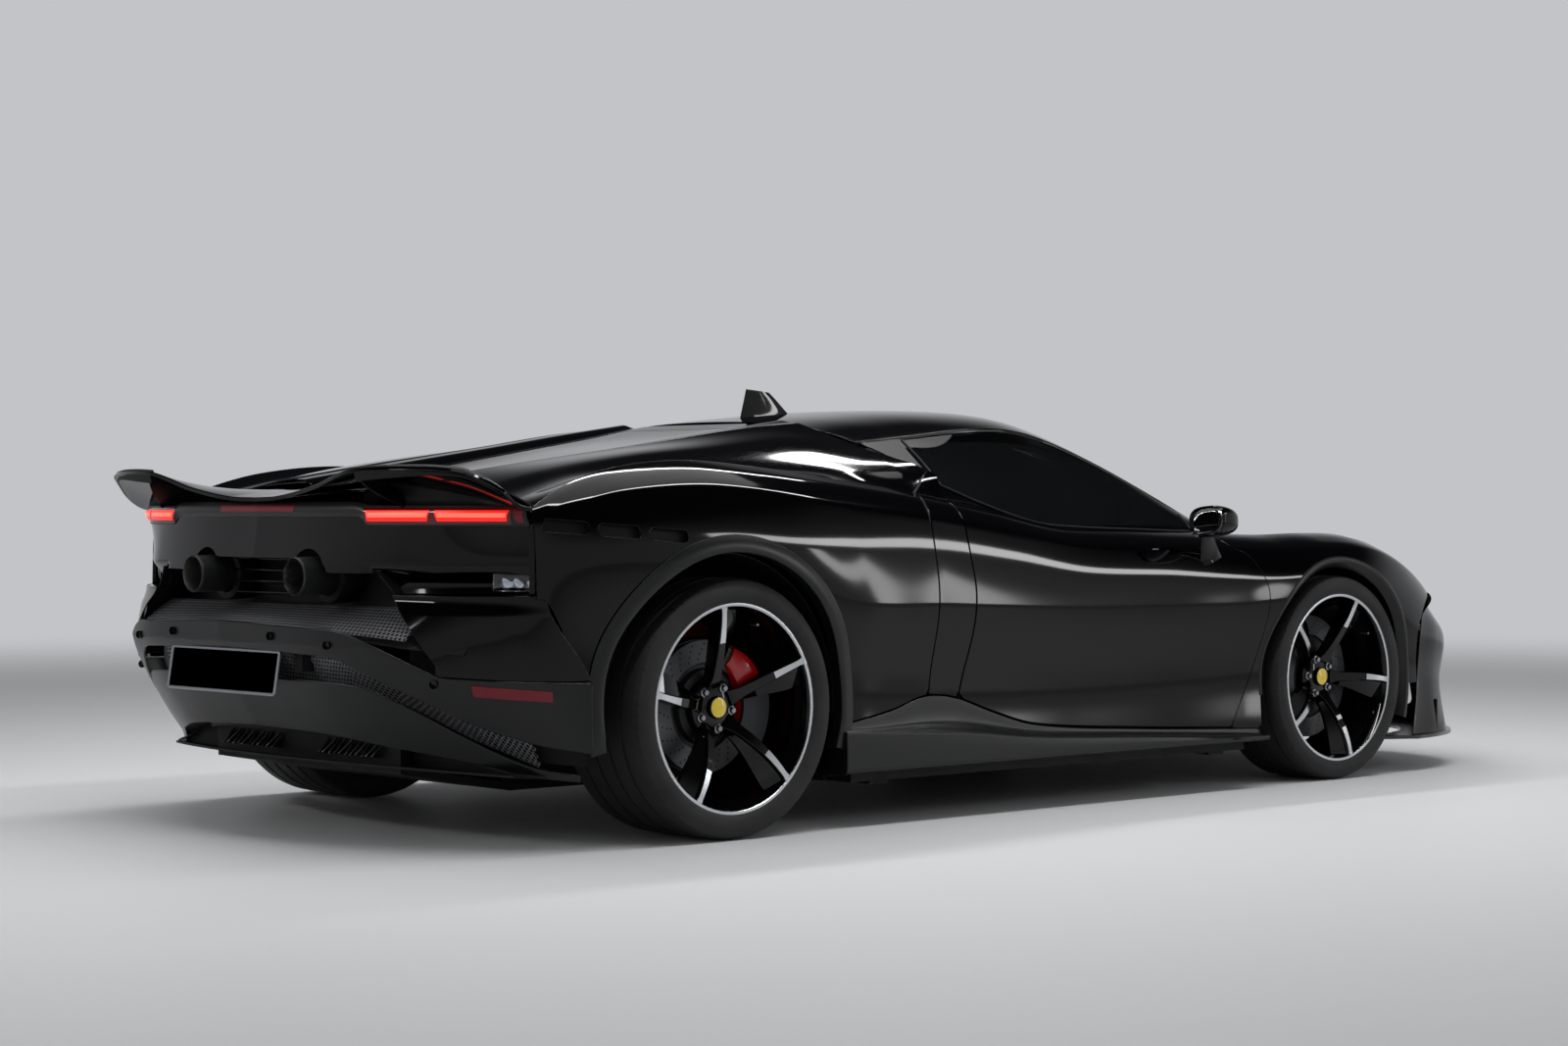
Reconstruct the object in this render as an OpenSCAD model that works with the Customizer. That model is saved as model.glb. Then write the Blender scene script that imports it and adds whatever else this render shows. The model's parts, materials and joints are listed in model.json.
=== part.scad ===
/* [Overall] */
// Distance between the front and rear axles
wheelbase = 2650; // [2500:5:2800]
// Front axle to the foremost point of the nose
front_overhang = 1080; // [1000:5:1150]
// Rear axle to the rearmost point of the tail
rear_overhang = 980; // [920:5:1050]
// Width over the rear haunches, without mirrors
body_w = 1972; // [1900:2:2040]
// Height of the roof above the ground
body_h = 1186; // [1150:2:1230]

/* [Panels] */
// Thickness of the outer body panels
panel_t = 12; // [8:1:16]
// Thickness of a whole door below its glass
door_t = 70; // [50:1:90]
// Thickness of the glass
glass_t = 5; // [4:0.5:8]
// Gap left round the doors and lids
shut_gap = 9; // [7:0.5:12]
// Thickness of the floor pan
floor_t = 20; // [15:1:30]

/* [Wheels] */
// Outer diameter of a front tyre
front_tyre_d = 661; // [640:1:680]
// Width of a front tyre
front_tyre_w = 255; // [235:1:275]
// Diameter over the lip of a front rim
front_rim_d = 540; // [500:1:560]
// Outer diameter of a rear tyre
rear_tyre_d = 696; // [670:1:710]
// Width of a rear tyre
rear_tyre_w = 325; // [300:1:335]
// Diameter over the lip of a rear rim
rear_rim_d = 560; // [530:1:580]
// How far the hub cap lies inside the rim's lip
rim_dish = 75; // [40:1:90]
// Diameter of a front brake disc
front_disc_d = 398; // [360:1:405]
// Diameter of a rear brake disc
rear_disc_d = 360; // [330:1:390]
// Thickness of a brake disc
disc_t = 36; // [30:1:40]
// Diameter of the stub axle that a wheel turns on
stub_d = 44; // [36:1:50]
// Radial clearance between a wheel's hub and its stub axle
hub_clearance = 0.05; // [0.02:0.01:0.1]
// Gap between a tyre's tread and the top of its arch
arch_gap = 52; // [45:1:70]

/* [Tail] */
// Diameter of an exhaust outlet
exhaust_d = 102; // [90:1:115]
// Width of the rear number plate
plate_w = 520; // [460:5:540]
// Height of the rear number plate
plate_h = 112; // [100:2:130]

/* [Mounts] */
// Side of a square jacking pad under the sill
jack_pad_w = 70; // [50:1:90]
// Bore of the rear towing-eye socket
tow_bore_d = 18; // [14:1:24]
// Depth of the towing-eye socket
tow_bore_l = 60; // [40:1:80]

/* [Hidden] */
$fn = 96;

// The body's lines are drawn for a car with these sizes, and are mapped onto the sizes above.
drawn_front_axle = 1275;
drawn_rear_axle = -1375;
drawn_w = 1972;
drawn_h = 1186;

length = wheelbase + front_overhang + rear_overhang;
front_axle = length / 2 - front_overhang;
rear_axle = front_axle - wheelbase;
drawn_nose = 2355;

function fx(x) =
    x >= drawn_front_axle
        ? front_axle + (x - drawn_front_axle) * front_overhang / (drawn_nose - drawn_front_axle)
    : x <= drawn_rear_axle
        ? rear_axle + (x - drawn_rear_axle) * rear_overhang / (drawn_nose + drawn_rear_axle)
    : rear_axle + (x - drawn_rear_axle) * wheelbase / (drawn_front_axle - drawn_rear_axle);
function fy(y) = y * body_w / drawn_w;
function fz(z) = z * body_h / drawn_h;
function fit(p) = [fx(p[0]), fy(p[1]), fz(p[2])];
function mix(a, b, t) = a + (b - a) * t;
function smooth(t) = let (c = min(1, max(0, t))) c * c * (3 - 2 * c);

// Smooth curve through a table of [position, value] rows, where a value is a number or a vector
function row_of(t, x, i = 0) = i >= len(t) - 2 || x < t[i + 1][0] ? i : row_of(t, x, i + 1);
function slope(t, i) =
    let (a = t[max(i - 1, 0)], b = t[min(i + 1, len(t) - 1)])
    (b[1] - a[1]) / (b[0] - a[0]);
function at(t, x) =
    let (i = row_of(t, x), b = t[i], c = t[i + 1], h = c[0] - b[0],
         u = min(1, max(0, (x - b[0]) / h)))
    b[1] * (2 * u ^ 3 - 3 * u ^ 2 + 1) + slope(t, i) * h * (u ^ 3 - 2 * u ^ 2 + u)
    + c[1] * (3 * u ^ 2 - 2 * u ^ 3) + slope(t, i + 1) * h * (u ^ 3 - u ^ 2);

// Lines of the left half of the body: [x, [y, z]]
crest = [[-2020, [895, 868]], [-1887, [858, 929]], [-1700, [828, 982]], [-1440, [815, 1007]],
    [-1182, [815, 993]], [-881, [818, 961]], [-565, [820, 923]], [-250, [812, 876]],
    [67, [806, 824]], [476, [802, 806]], [760, [790, 800]], [1037, [775, 793]],
    [1265, [778, 797]], [1485, [772, 790]], [1640, [760, 758]], [1800, [730, 700]],
    [1950, [690, 625]], [2090, [610, 548]], [2190, [470, 500]], [2245, [240, 474]],
    [2258, [0, 466]]];
waist = [[-2020, [915, 720]], [-1900, [948, 745]], [-1740, [975, 752]], [-1560, [984, 752]],
    [-1375, [986, 745]], [-1150, [984, 700]], [-900, [972, 640]], [-560, [950, 620]],
    [0, [932, 600]], [476, [932, 600]], [800, [945, 605]], [1100, [965, 635]],
    [1265, [970, 640]], [1450, [966, 620]], [1640, [942, 570]], [1800, [905, 520]],
    [1950, [850, 470]], [2090, [760, 440]], [2200, [620, 425]], [2290, [380, 410]],
    [2325, [0, 405]]];
tuck = [[-2020, [925, 520]], [-1000, [950, 420]], [-560, [920, 400]], [0, [903, 385]],
    [476, [905, 385]], [800, [918, 390]], [1265, [950, 400]], [1640, [935, 360]],
    [1800, [905, 330]], [1950, [845, 310]], [2090, [745, 295]], [2200, [600, 285]],
    [2280, [370, 280]], [2310, [0, 275]]];
// Lower edge of the side panels, above the skirts: [x, z]
side_edge = [[-1000, 282], [-760, 318], [-619, 350], [-488, 340], [-329, 292], [-150, 248],
    [300, 215], [900, 186]];
// Rear and front edge of a door: [z, x]
door_rear = [[280, -500], [344, -475], [482, -439], [633, -429], [768, -438], [877, -434],
    [950, -424]];
door_front = [[180, 735], [206, 750], [329, 824], [421, 866], [528, 892], [622, 896],
    [696, 868], [735, 835], [752, 790], [800, 762]];
// Lower edge of a wing: [x, z], and its front edge: [z, x]
wing_edge = [[700, 194], [900, 190], [1640, 296], [1760, 300]];
wing_front = [[300, 1708], [470, 1712], [530, 1760], [585, 1900], [612, 1972], [650, 1980]];
// Bottom edge of the side glass: [x, [y, z]]
belt = [[-430, [779, 949]], [-246, [780, 893]], [-60, [782, 845]],
    [67, [782, 826]], [476, [778, 811]], [739, [768, 804]], [880, [728, 803]]];
// Roof rail, from the windscreen's foot back to the engine lid: [x, [y, z]]
rail = [[-820, [560, 1068]], [-600, [590, 1070]], [-384, [606, 1090]], [-150, [610, 1114]],
    [60, [604, 1116]], [243, [582, 1090]], [460, [608, 1015]], [670, [655, 918]],
    [880, [722, 803]]];
roof_mid = [[-640, 1140], [-450, 1160], [-200, 1180], [20, 1186], [200, 1180], [340, 1160],
    [540, 1105], [760, 1020], [960, 918], [1175, 796]];
bonnet_edge = [[880, [640, 800]], [1190, [585, 786]], [1450, [560, 762]], [1700, [525, 708]],
    [1900, [480, 640]], [2080, [420, 560]]];
bonnet_mid = [[1100, 800], [1190, 788], [1400, 760], [1650, 704], [1880, 632], [2080, 556],
    [2245, 480]];
deck_edge = [[-2080, [330, 930]], [-1900, [350, 962]], [-1684, [375, 996]],
    [-1193, [405, 1062]], [-886, [425, 1106]], [-640, [440, 1130]]];
deck_mid = [[-2080, 905], [-1900, 930], [-1600, 968], [-1200, 1035], [-886, 1085],
    [-640, 1136]];
// Tail in plan: [y, x]
tail_plan = [[0, -2240], [300, -2228], [520, -2196], [700, -2140], [840, -2065], [915, -2000]];

// A panel is a grid of points on its outer face and one on its inner face, closed round the edge.
module panel(outer, inner) {
    m = len(outer);
    n = len(outer[0]);
    points = [for (g = [outer, inner]) for (r = g) for (p = r) p];
    function id(k, i, j) = k * m * n + i * n + j;
    quads = concat(
        [for (i = [0 : m - 2], j = [0 : n - 2])
            [id(0, i, j), id(0, i + 1, j), id(0, i + 1, j + 1), id(0, i, j + 1)]],
        [for (i = [0 : m - 2], j = [0 : n - 2])
            [id(1, i, j), id(1, i, j + 1), id(1, i + 1, j + 1), id(1, i + 1, j)]],
        [for (i = [0 : m - 2])
            [id(0, i, 0), id(1, i, 0), id(1, i + 1, 0), id(0, i + 1, 0)]],
        [for (i = [0 : m - 2])
            [id(0, i, n - 1), id(0, i + 1, n - 1), id(1, i + 1, n - 1), id(1, i, n - 1)]],
        [for (j = [0 : n - 2])
            [id(0, 0, j), id(0, 0, j + 1), id(1, 0, j + 1), id(1, 0, j)]],
        [for (j = [0 : n - 2])
            [id(0, m - 1, j), id(1, m - 1, j), id(1, m - 1, j + 1), id(0, m - 1, j + 1)]]);
    tris = [for (q = quads) each [[q[0], q[1], q[2]], [q[0], q[2], q[3]]]];
    polyhedron(points, [for (f = tris) [f[2], f[1], f[0]]], 4);
}
// Moves each point of a grid along its own normal
function unit(v) = v / max(norm(v), 1e-9);
function normal(g, i, j) =
    let (m = len(g) - 1, n = len(g[0]) - 1)
    unit(cross(g[min(i + 1, m)][j] - g[max(i - 1, 0)][j],
        g[i][min(j + 1, n)] - g[i][max(j - 1, 0)]));
function sink(g, t) =
    [for (i = [0 : len(g) - 1]) [for (j = [0 : len(g[0]) - 1]) g[i][j] - normal(g, i, j) * t]];

// Makes both sides of the car from the left one
module each_side() {
    children();
    mirror([0, 1, 0]) children();
}
module one_side(side) {
    if (side > 0) children();
    else mirror([0, 1, 0]) children();
}
// A plain box between drawn stations
module block(x, y, z) {
    a = fit([x[0], y[0], z[0]]);
    b = fit([x[1], y[1], z[1]]);
    translate(a) cube(b - a);
}

// Places of the wheels
front_r = front_tyre_d / 2;
rear_r = rear_tyre_d / 2;
front_arch_r = front_r + arch_gap;
rear_arch_r = rear_r + arch_gap + 15;
front_wheel_y = fy(946) - front_tyre_w / 2;
rear_wheel_y = fy(978) - rear_tyre_w / 2;
front_arch_x = front_axle - 10;
rear_arch_x = rear_axle - 17;
wing_t = panel_t;

// Heights of the ends of a door's rear and front edges
door_rear_z = [905, 346];
door_front_z = [800, 190];
wing_front_z = [612, 300];

// Side of the body: distance from the middle at station x and height z
function side_y(x, z) =
    let (c = at(crest, x), w = at(waist, x), k = at(tuck, x),
         rows = [[k[1] - 230, k[0] + 8], [k[1], k[0]], [w[1], w[0]],
             [mix(w[1], c[1], 0.72), mix(w[0], c[0], 0.3)],
             [mix(w[1], c[1], 0.93), mix(w[0], c[0], 0.68)], [c[1], c[0]]])
    at(rows, z);
function side_point(x, z) = fit([x, side_y(x, z), z]);

// Opening of a wheel arch, through the side of the body
module arch_opening(x, r, wheel_r) {
    translate([x, 0, wheel_r]) {
        rotate([-90, 0, 0]) cylinder(h = body_w, r = r);
        translate([-r, 0, -wheel_r]) cube([2 * r, body_w, wheel_r]);
    }
}

// Joins or cuts faceted pieces as one mesh
module mesh() resize([0, 0, 0]) children();

// Lines of the nose, from the wing's front edge (0) to the middle (1): [u, [x, y, z]]
function wing_seam(z) =
    let (x = at(wing_front, z) + 12)
    [x, side_y(x, z), z];
nose_lines = [
    [[0, [1990, 672, 603]], [0.2, [2018, 592, 578]], [0.4, [2064, 500, 556]],
        [0.55, [2088, 425, 560]], [0.8, [2092, 200, 557]], [1, [2092, 0, 556]]],
    [[0, wing_seam(590)], [0.3, [2078, 622, 548]], [0.6, [2175, 498, 506]],
        [0.85, [2238, 270, 477]], [1, [2256, 0, 466]]],
    [[0, wing_seam(520)], [0.2, [1900, 868, 492]], [0.4, [2060, 780, 452]],
        [0.6, [2190, 636, 426]], [0.8, [2288, 390, 410]], [1, [2326, 0, 405]]],
    [[0, wing_seam(310)], [0.2, [1890, 868, 290]], [0.4, [2050, 776, 284]],
        [0.6, [2185, 630, 280]], [0.8, [2278, 380, 278]], [1, [2312, 0, 275]]],
    [[0, [1712, 912, 122]], [0.2, [1885, 880, 121]], [0.4, [2060, 798, 120]],
        [0.6, [2212, 650, 119]], [0.8, [2310, 400, 119]], [1, [2340, 0, 119]]]];
function nose_point(u, v) =
    let (rows = [for (k = [0 : 4]) [k, at(nose_lines[k], 1 - abs(u))]], p = at(rows, v),
         seam = at(wing_front, p[2]) + 12, w = max(0, abs(u) * 10 - 9))
    fit([p[0] + max(0, seam - p[0]) * w, p[1] * sign(u), p[2]]);

// Rear bumper, from the middle (0) to the rear arch (1): [u, [x, y]], and its edges [u, z]
bumper_plan = [[0, [-2355, 0]], [0.3, [-2340, 350]], [0.48, [-2303, 510]],
    [0.62, [-2232, 660]], [0.75, [-2155, 780]], [0.88, [-2035, 892]], [1, [-1862, 960]]];
bumper_top = [[0, 578], [0.3, 566], [0.48, 554], [0.68, 452], [0.77, 441], [0.93, 432], [1, 430]];
bumper_foot = [[0, 268], [0.4, 254], [0.7, 222], [1, 196]];
// The bumper tucks under below the height where it is widest, but not at the arch
bumper_waist = 527;
function bumper_point(u, v) =
    let (p = at(bumper_plan, abs(u)), z = mix(at(bumper_top, abs(u)), at(bumper_foot, abs(u)), v),
         k = max(0, bumper_waist - z) * (1 - abs(u) ^ 8))
    fit([p[0] + 0.3 * k + 0.0009 * k ^ 2, p[1] * sign(u) * (1 - 0.0002 * k), z]);

// Roof and windscreen: u from the engine lid (0) to the windscreen's foot (1), v across
header_u = 0.62;
pillar_v = 0.87;
seal = 0.3;
function canopy_point(u, v) =
    let (xa = mix(-575, 880, u), a = at(rail, xa), xm = mix(-640, 1175, u),
         zm = at(roof_mid, xm), w = abs(v))
    fit([mix(xm, xa, w ^ 2), a[0] * v, mix(zm, a[1], 0.35 * w ^ 2 + 0.65 * w ^ 4)]);
function canopy(u0, u1, v0, v1, m, n) =
    [for (i = [0 : m]) [for (j = [0 : n]) canopy_point(mix(u0, u1, i / m), mix(v0, v1, j / n))]];

// Side glass between the roof rail (w = 0) and the belt (w = 1)
function side_glass_point(x, w) =
    let (r = at(rail, x), b = at(belt, x))
    fit([x, mix(r[0], b[0], w) + 30 * w * (1 - w), mix(r[1], b[1], w)]);
function side_glass(x0, x1, m, n) =
    [for (i = [0 : m]) [for (j = [0 : n])
        let (x = mix(x0, x1, i / m), drop = norm(at(rail, x) - at(belt, x)))
        side_glass_point(x, mix(11 / drop, 1 - 3 / drop, j / n))]];

// Floor tub: pan, sills, rails, bulkheads and jacking pads
floor_z = 118;
// The pan rises behind the rear axle
diffuser_rise = 64; // [40:2:80]
function pan_rise(x) = diffuser_rise * max(0, -1720 - x) / 360;
module floor() color("#2b2b2d") {
    pan_top = floor_z + floor_t * drawn_h / body_h;
    union() {
        translate([0, fy(440), 0]) rotate([90, 0, 0]) linear_extrude(fy(880))
            polygon([for (p = [[2150, 0], [2150, 1], [-1720, 1], [-2080, 1], [-2080, 0],
                [-1720, 0]]) [fx(p[0]), fz(mix(floor_z, pan_top, p[1]) + pan_rise(p[0]))]]);
        each_side() {
            block([-900, 850], [438, 800], [floor_z, pan_top]);
            block([-880, 840], [798, 892], [floor_z, 176]);
            block([925, 1640], [380, 440], [pan_top - 2, 470]);
            block([-1740, -640], [370, 430], [pan_top - 2, 300]);
            for (x = [-1540, -1270]) block([x, x + 60], [370, 430], [298, 500]);
            for (x = [-760, 720])
                translate([fx(x) - jack_pad_w / 2, fy(843) - jack_pad_w / 2, fz(floor_z) - 10])
                    cube([jack_pad_w, jack_pad_w, 12]);
        }
        block([-620, -580], [-740, 740], [pan_top - 2, 880]);
        block([862, 890], [-560, 560], [pan_top - 2, 690]);
        block([1638, 1665], [-440, 440], [pan_top - 2, 480]);
        block([-2080, -2050], [-440, 440], [pan_top + pan_rise(-2050) - 2, 520]);
        // Crash boxes that carry the rear bumper
        each_side() translate([crash_x, fy(285), fz(455)])
            cube([fx(-2070) - crash_x, fy(30), fz(50)]);
        block([-560, 700], [-105, 105], [pan_top - 2, 330]);
    }
    tow_boss();
    // Lock plates that the bonnet and the engine lid rest on
    lock_post(2040, at(bonnet_mid, 2040) - 18.5);
    lock_post(-1850, at(deck_mid, -1850) - 14);
}
crash_gap = 2.1;
crash_x = bumper_point(0.27, 0.37)[0] + panel_t + crash_gap;
module lock_post(x, top)
    block([x - 12, x + 12], [-40, 40], [floor_z + pan_rise(x) + 8, top]);
tow_y = 380;
tow_z = 330;
module tow_boss() {
    translate([fx(-2080) - tow_bore_l, fy(tow_y), fz(tow_z)]) rotate([0, 90, 0])
        difference() {
            cylinder(h = tow_bore_l, d = tow_bore_d + 22);
            translate([0, 0, -1]) cylinder(h = tow_bore_l - 6, d = tow_bore_d);
        }
}

module front_bumper() color("#0b0b0c") mesh() difference() {
    g = [for (i = [0 : 24]) [for (j = [0 : 10]) nose_point(i / 12 - 1, j * 0.4)]];
    panel(g, sink(g, panel_t));
    block([1900, 2500], [-560, 560], [176, 345]);
    each_side() block([1900, 2500], [600, 760], [176, 330]);
    each_side() headlamp_solid(lamp_opening, 30, 60);
}

module splitter() color("#151516") {
    translate([0, 0, fz(104)]) linear_extrude(14) polygon([for (k = [0 : 24])
        let (u = 1 - k / 12, p = at(nose_lines[4], 1 - abs(u)))
        [fx(p[0]) + 12, fy(p[1]) * sign(u) * 1.01]]);
}

// Slim headlamp let into the nose, and its opening
lamp_opening = [0.6, 0.96, 0.08, 0.94];
lamp_cover = [0.625, 0.85, 0.42, 0.86];
module headlamp_solid(e, rise, depth) {
    g = [for (i = [0 : 5]) [for (j = [0 : 4])
        nose_point(mix(e[0], e[1], i / 5), mix(e[2], e[3], j / 4))]];
    panel(sink(g, -rise), sink(g, depth));
}
module headlamps() color("#d9dde2") each_side() headlamp_solid(lamp_cover, 0, 24);

module bonnet() color("#0b0b0c") {
    g = [for (i = [0 : 10]) [for (j = [0 : 8])
        let (x = mix(1190, 2080, i / 10), v = j / 4 - 1, e = at(bonnet_edge, x),
             y = e[0] - shut_gap)
        fit([x, y * v, mix(at(bonnet_mid, x), e[1], v ^ 2) + 10 * (v ^ 2 - v ^ 4)])]];
    panel(g, sink(g, panel_t));
}

module cowl() color("#131314") {
    g = [for (i = [0 : 2]) [for (j = [0 : 10])
        let (v = j / 5 - 1, foot = canopy_point(1, v * 0.955), x = 1190 - shut_gap,
             front = fit([x, 585 * v, mix(at(bonnet_mid, x), 786, v ^ 2)]))
        mix(foot + [6, 0, -6], front, i / 2)]];
    panel(g, sink(g, panel_t));
}

function wing_point(u, k) =
    let (t = (k - 3) / 7)
    k < 3 ? let (x = mix([1190, 905, 880][k], [2075, 2034, 1986][k], u),
                 e = at(bonnet_edge, x), c = at(crest, x), w = [0, 0.45, 0.93][k])
        fit([x, mix(e[0] + 1, c[0], w), mix(e[1], c[1], w) - 22 * sin(180 * w)])
    : let (z0 = mix(door_front_z[0], door_front_z[1], t),
             zf = mix(wing_front_z[0], wing_front_z[1], t), xf = at(wing_front, zf),
             x = mix(at(door_front, z0) + shut_gap / 2, xf, u),
             z = mix(at(crest, x)[1], at(wing_edge, x), t)
                 + (zf - mix(at(crest, xf)[1], at(wing_edge, xf), t)) * u ^ 4)
        side_point(x, z);
// The wing's rear edge is bevelled where the door's front edge swings past it
hinge_bevel = 11;
module fender(side) color("#0b0b0c") one_side(side) mesh() difference() {
    g = [for (i = [0 : 16]) [for (k = [0 : 10]) wing_point(i / 16, k)]];
    back = sink(g, wing_t);
    panel(g, [for (i = [0 : 16]) [for (k = [0 : 10])
        back[i][k] + (i == 0 && k > 2 ? [hinge_bevel, 0, 0] : [0, 0, 0])]]);
    arch_opening(front_arch_x, front_arch_r, front_r);
}
module fender_left() fender(1);
module fender_right() fender(-1);

module windscreen() color("#1a1d20") {
    g = canopy(header_u, 1, -pillar_v + 0.001, pillar_v - 0.001, 12, 12);
    panel(g, sink(g, glass_t));
}

module roof() color("#0b0b0c") mesh() union() {
    top = canopy(0, header_u - 0.001, -1, 1, 12, 16);
    panel(top, sink(top, panel_t * 2));
    each_side() {
        pillar = concat(canopy(header_u - 0.02, header_u - 0.01, pillar_v, 1, 1, 2),
            canopy(header_u, 1, pillar_v, 1, 12, 2));
        panel(pillar, sink(pillar, panel_t * 2));
    }
    roof_fin();
}
module roof_fin() {
    translate([fx(-388), 0, fz(1150)]) rotate([90, 0, 0]) translate([0, 0, -9])
        linear_extrude(18) polygon([[-95, -10], [125, 10], [10, 95], [-90, 90]]);
}

door_axis_x = 820;
door_axis_y = 935;
function door_point(u, j, n) =
    let (t = max(0, (j - 1) / (n - 1)),
         x = mix(at(door_rear, mix(door_rear_z[0], door_rear_z[1], t)) + shut_gap / 2,
             at(door_front, mix(door_front_z[0], door_front_z[1], t)) - shut_gap / 2, u),
         foot = at(side_edge, x) + 4)
    j == 0 ? fit([x, at(belt, x)[0], at(belt, x)[1] - 1])
    : side_point(x, mix(at(crest, x)[1] - 2, foot, t));
module door(side) color("#0b0b0c") one_side(side) {
    n = 9;
    g = [for (i = [0 : 12]) [for (j = [0 : n]) door_point(i / 12, j, n)]];
    inner = [for (i = [0 : 12]) [for (j = [0 : n])
        let (p = g[i][j], t = (i == 12 ? 0.5 : 1) * door_t)
        [p[0] - (i == 12 ? 22 : 0) + (i == 0 ? 12 : 0), p[1] - t, p[2] - (j == 0 ? 4 : 0)]]];
    panel(g, inner);
}
module door_left() door(1);
module door_right() door(-1);

glass_rear = -405;
glass_front = 735;
module door_glass(side) color("#22282c") one_side(side) {
    g = side_glass(glass_rear, glass_front, 16, 6);
    panel(g, sink(g, glass_t));
}
module door_glass_left() door_glass(1);
module door_glass_right() door_glass(-1);

module quarter_glass() color("#16191b") each_side() {
    g = [for (i = [0 : 5]) [for (j = [0 : 4])
        side_glass_point(mix(-560, glass_rear - shut_gap, i / 5),
            0.012 + mix(0.08, 0.9, i / 5) * j / 4)]];
    panel(g, sink(g, glass_t));
}

module door_mirror(side) color("#0b0b0c") one_side(side) mesh() union() {
    hull() {
        for (p = [[576, 932, 806], [574, 1024, 818], [572, 932, 866], [570, 1014, 868]])
            translate(fit(p)) sphere(r = 24, $fn = 12);
        for (p = [[640, 944, 836], [632, 998, 842]])
            translate(fit(p)) sphere(r = 36, $fn = 12);
    }
    hull() {
        for (p = [[690, 910.6, 742], [630, 910.6, 738], [624, 946, 806], [590, 946, 806]])
            translate(fit(p)) sphere(r = 12, $fn = 12);
    }
}
// Fixed corner panel between the side glass and the windscreen pillar
module sail() {
    g = [for (i = [0 : 3]) [for (j = [0 : 2])
        let (x = mix(glass_front + 1, 858, i / 3), drop = norm(at(rail, x) - at(belt, x)))
        side_glass_point(x, mix(8 / drop, 0.97, j / 2))]];
    panel(g, sink(g, glass_t));
}
module mirror_left() {
    door_mirror(1);
    color("#0b0b0c") sail();
}
module mirror_right() {
    door_mirror(-1);
    color("#0b0b0c") mirror([0, 1, 0]) sail();
}

// Upper lines of the rear quarter: [x, [y, z]]
flank = [[-2000, [560, 912]], [-1700, [545, 982]], [-1370, [560, 1028]], [-1100, [572, 1050]],
    [-800, [590, 1066]], [-560, [610, 1060]]];
valley = [[-2000, [750, 888]], [-1700, [715, 958]], [-1370, [725, 982]], [-1100, [738, 984]],
    [-800, [748, 986]], [-560, [765, 985]]];
quarter_edge = [[-2010, 640], [-1975, 640], [-1860, 436], [-1830, 420], [-940, 300]];
function quarter_top(x, k) = k == 0 ? at(deck_edge, x) : k == 1 ? at(flank, x)
    : k == 2 ? at(valley, x) : at(crest, x);
function quarter_point(u, k) =
    let (t = (k - 3) / 7)
    k < 4 ? let (x = mix([-1900, -1930, -1965, -2004][k], [-650, -592, -450, -443][k], u),
                 p = quarter_top(x, k))
        fit([x, p[0], p[1]])
    : let (z0 = mix(door_rear_z[0], door_rear_z[1], t),
             x = mix(-2004, at(door_rear, z0) - shut_gap / 2, u),
           z = mix(at(crest, x)[1], x > -960 ? at(side_edge, x) + 4 : at(quarter_edge, x), t))
        side_point(x, z);
module quarter(side) color("#0b0b0c") one_side(side) mesh() difference() {
    g = [for (i = [0 : 18]) [for (k = [0 : 10]) quarter_point(i / 18, k)]];
    panel(g, sink(g, wing_t));
    arch_opening(rear_arch_x, rear_arch_r, rear_r);
}
module quarter_left() quarter(1);
module quarter_right() quarter(-1);

module deck(x0, x1, t) {
    g = [for (i = [0 : 14]) [for (j = [0 : 12])
        let (x = mix(x0, x1, i / 14), v = j / 6 - 1, e = at(deck_edge, x))
        fit([x, (e[0] - shut_gap - 4) * v, mix(at(deck_mid, x), e[1], abs(v) ^ 3)])]];
    panel(g, sink(g, t));
}
lid_front = -662;
lid_rear = -1890;
module lid_window(gap) translate([0, 0, fz(800)]) linear_extrude(500) offset(delta = -gap)
    polygon([for (p = [[-1560, 150], [-1500, 200], [-800, 265], [-740, 230], [-740, -230],
        [-800, -265], [-1500, -200], [-1560, -150]]) [fx(p[0]), fy(p[1])]]);
module engine_lid() color("#0b0b0c") mesh() difference() {
    deck(lid_rear, lid_front, panel_t);
    lid_window(0);
}
module engine_lid_glass() color("#1a1d20") mesh() intersection() {
    deck(lid_rear, lid_front, glass_t);
    lid_window(0.6);
}

// Trailing edge of the ducktail: its height [y, z] and its plan [y, x]
duck_edge = [[0, 908], [120, 912], [300, 938], [430, 970], [506, 982], [700, 984],
    [835, 974], [880, 950], [910, 922], [945, 886]];
duck_plan = [[0, -2244], [300, -2256], [506, -2263], [700, -2228], [835, -2172], [880, -2130],
    [912, -2090], [945, -2060]];
function duck_point(y, t) =
    let (w = abs(y), x0 = -1918 - 110 * (w / 945) ^ 3, x1 = at(duck_plan, w),
         z0 = mix(at(deck_mid, -1900), 872, (w / 945) ^ 2), z1 = at(duck_edge, w))
    fit([mix(x0, x1, t), y, mix(z0 + 6, z1, t ^ 2)]);
module spoiler() color("#0b0b0c") {
    g = [for (i = [0 : 5]) [for (j = [0 : 28]) duck_point(mix(-908, 908, j / 28), 1 - i / 5)]];
    low = [for (i = [0 : 5]) [for (j = [0 : 28])
        let (p = g[i][j], chord = norm(g[0][j] - g[5][j]), s = (5 - i) * min(3, chord / 55))
        p - [-s, 0, 10 + s]]];
    panel(g, low);
}

// How far the tail leans, in the middle and at its corners: [z, x]
tail_lean = [[590, -46], [700, -18], [800, 0], [900, 10]];
corner_lean = [[590, -6], [650, 2], [690, 18], [760, 26], [868, 2]];
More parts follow.
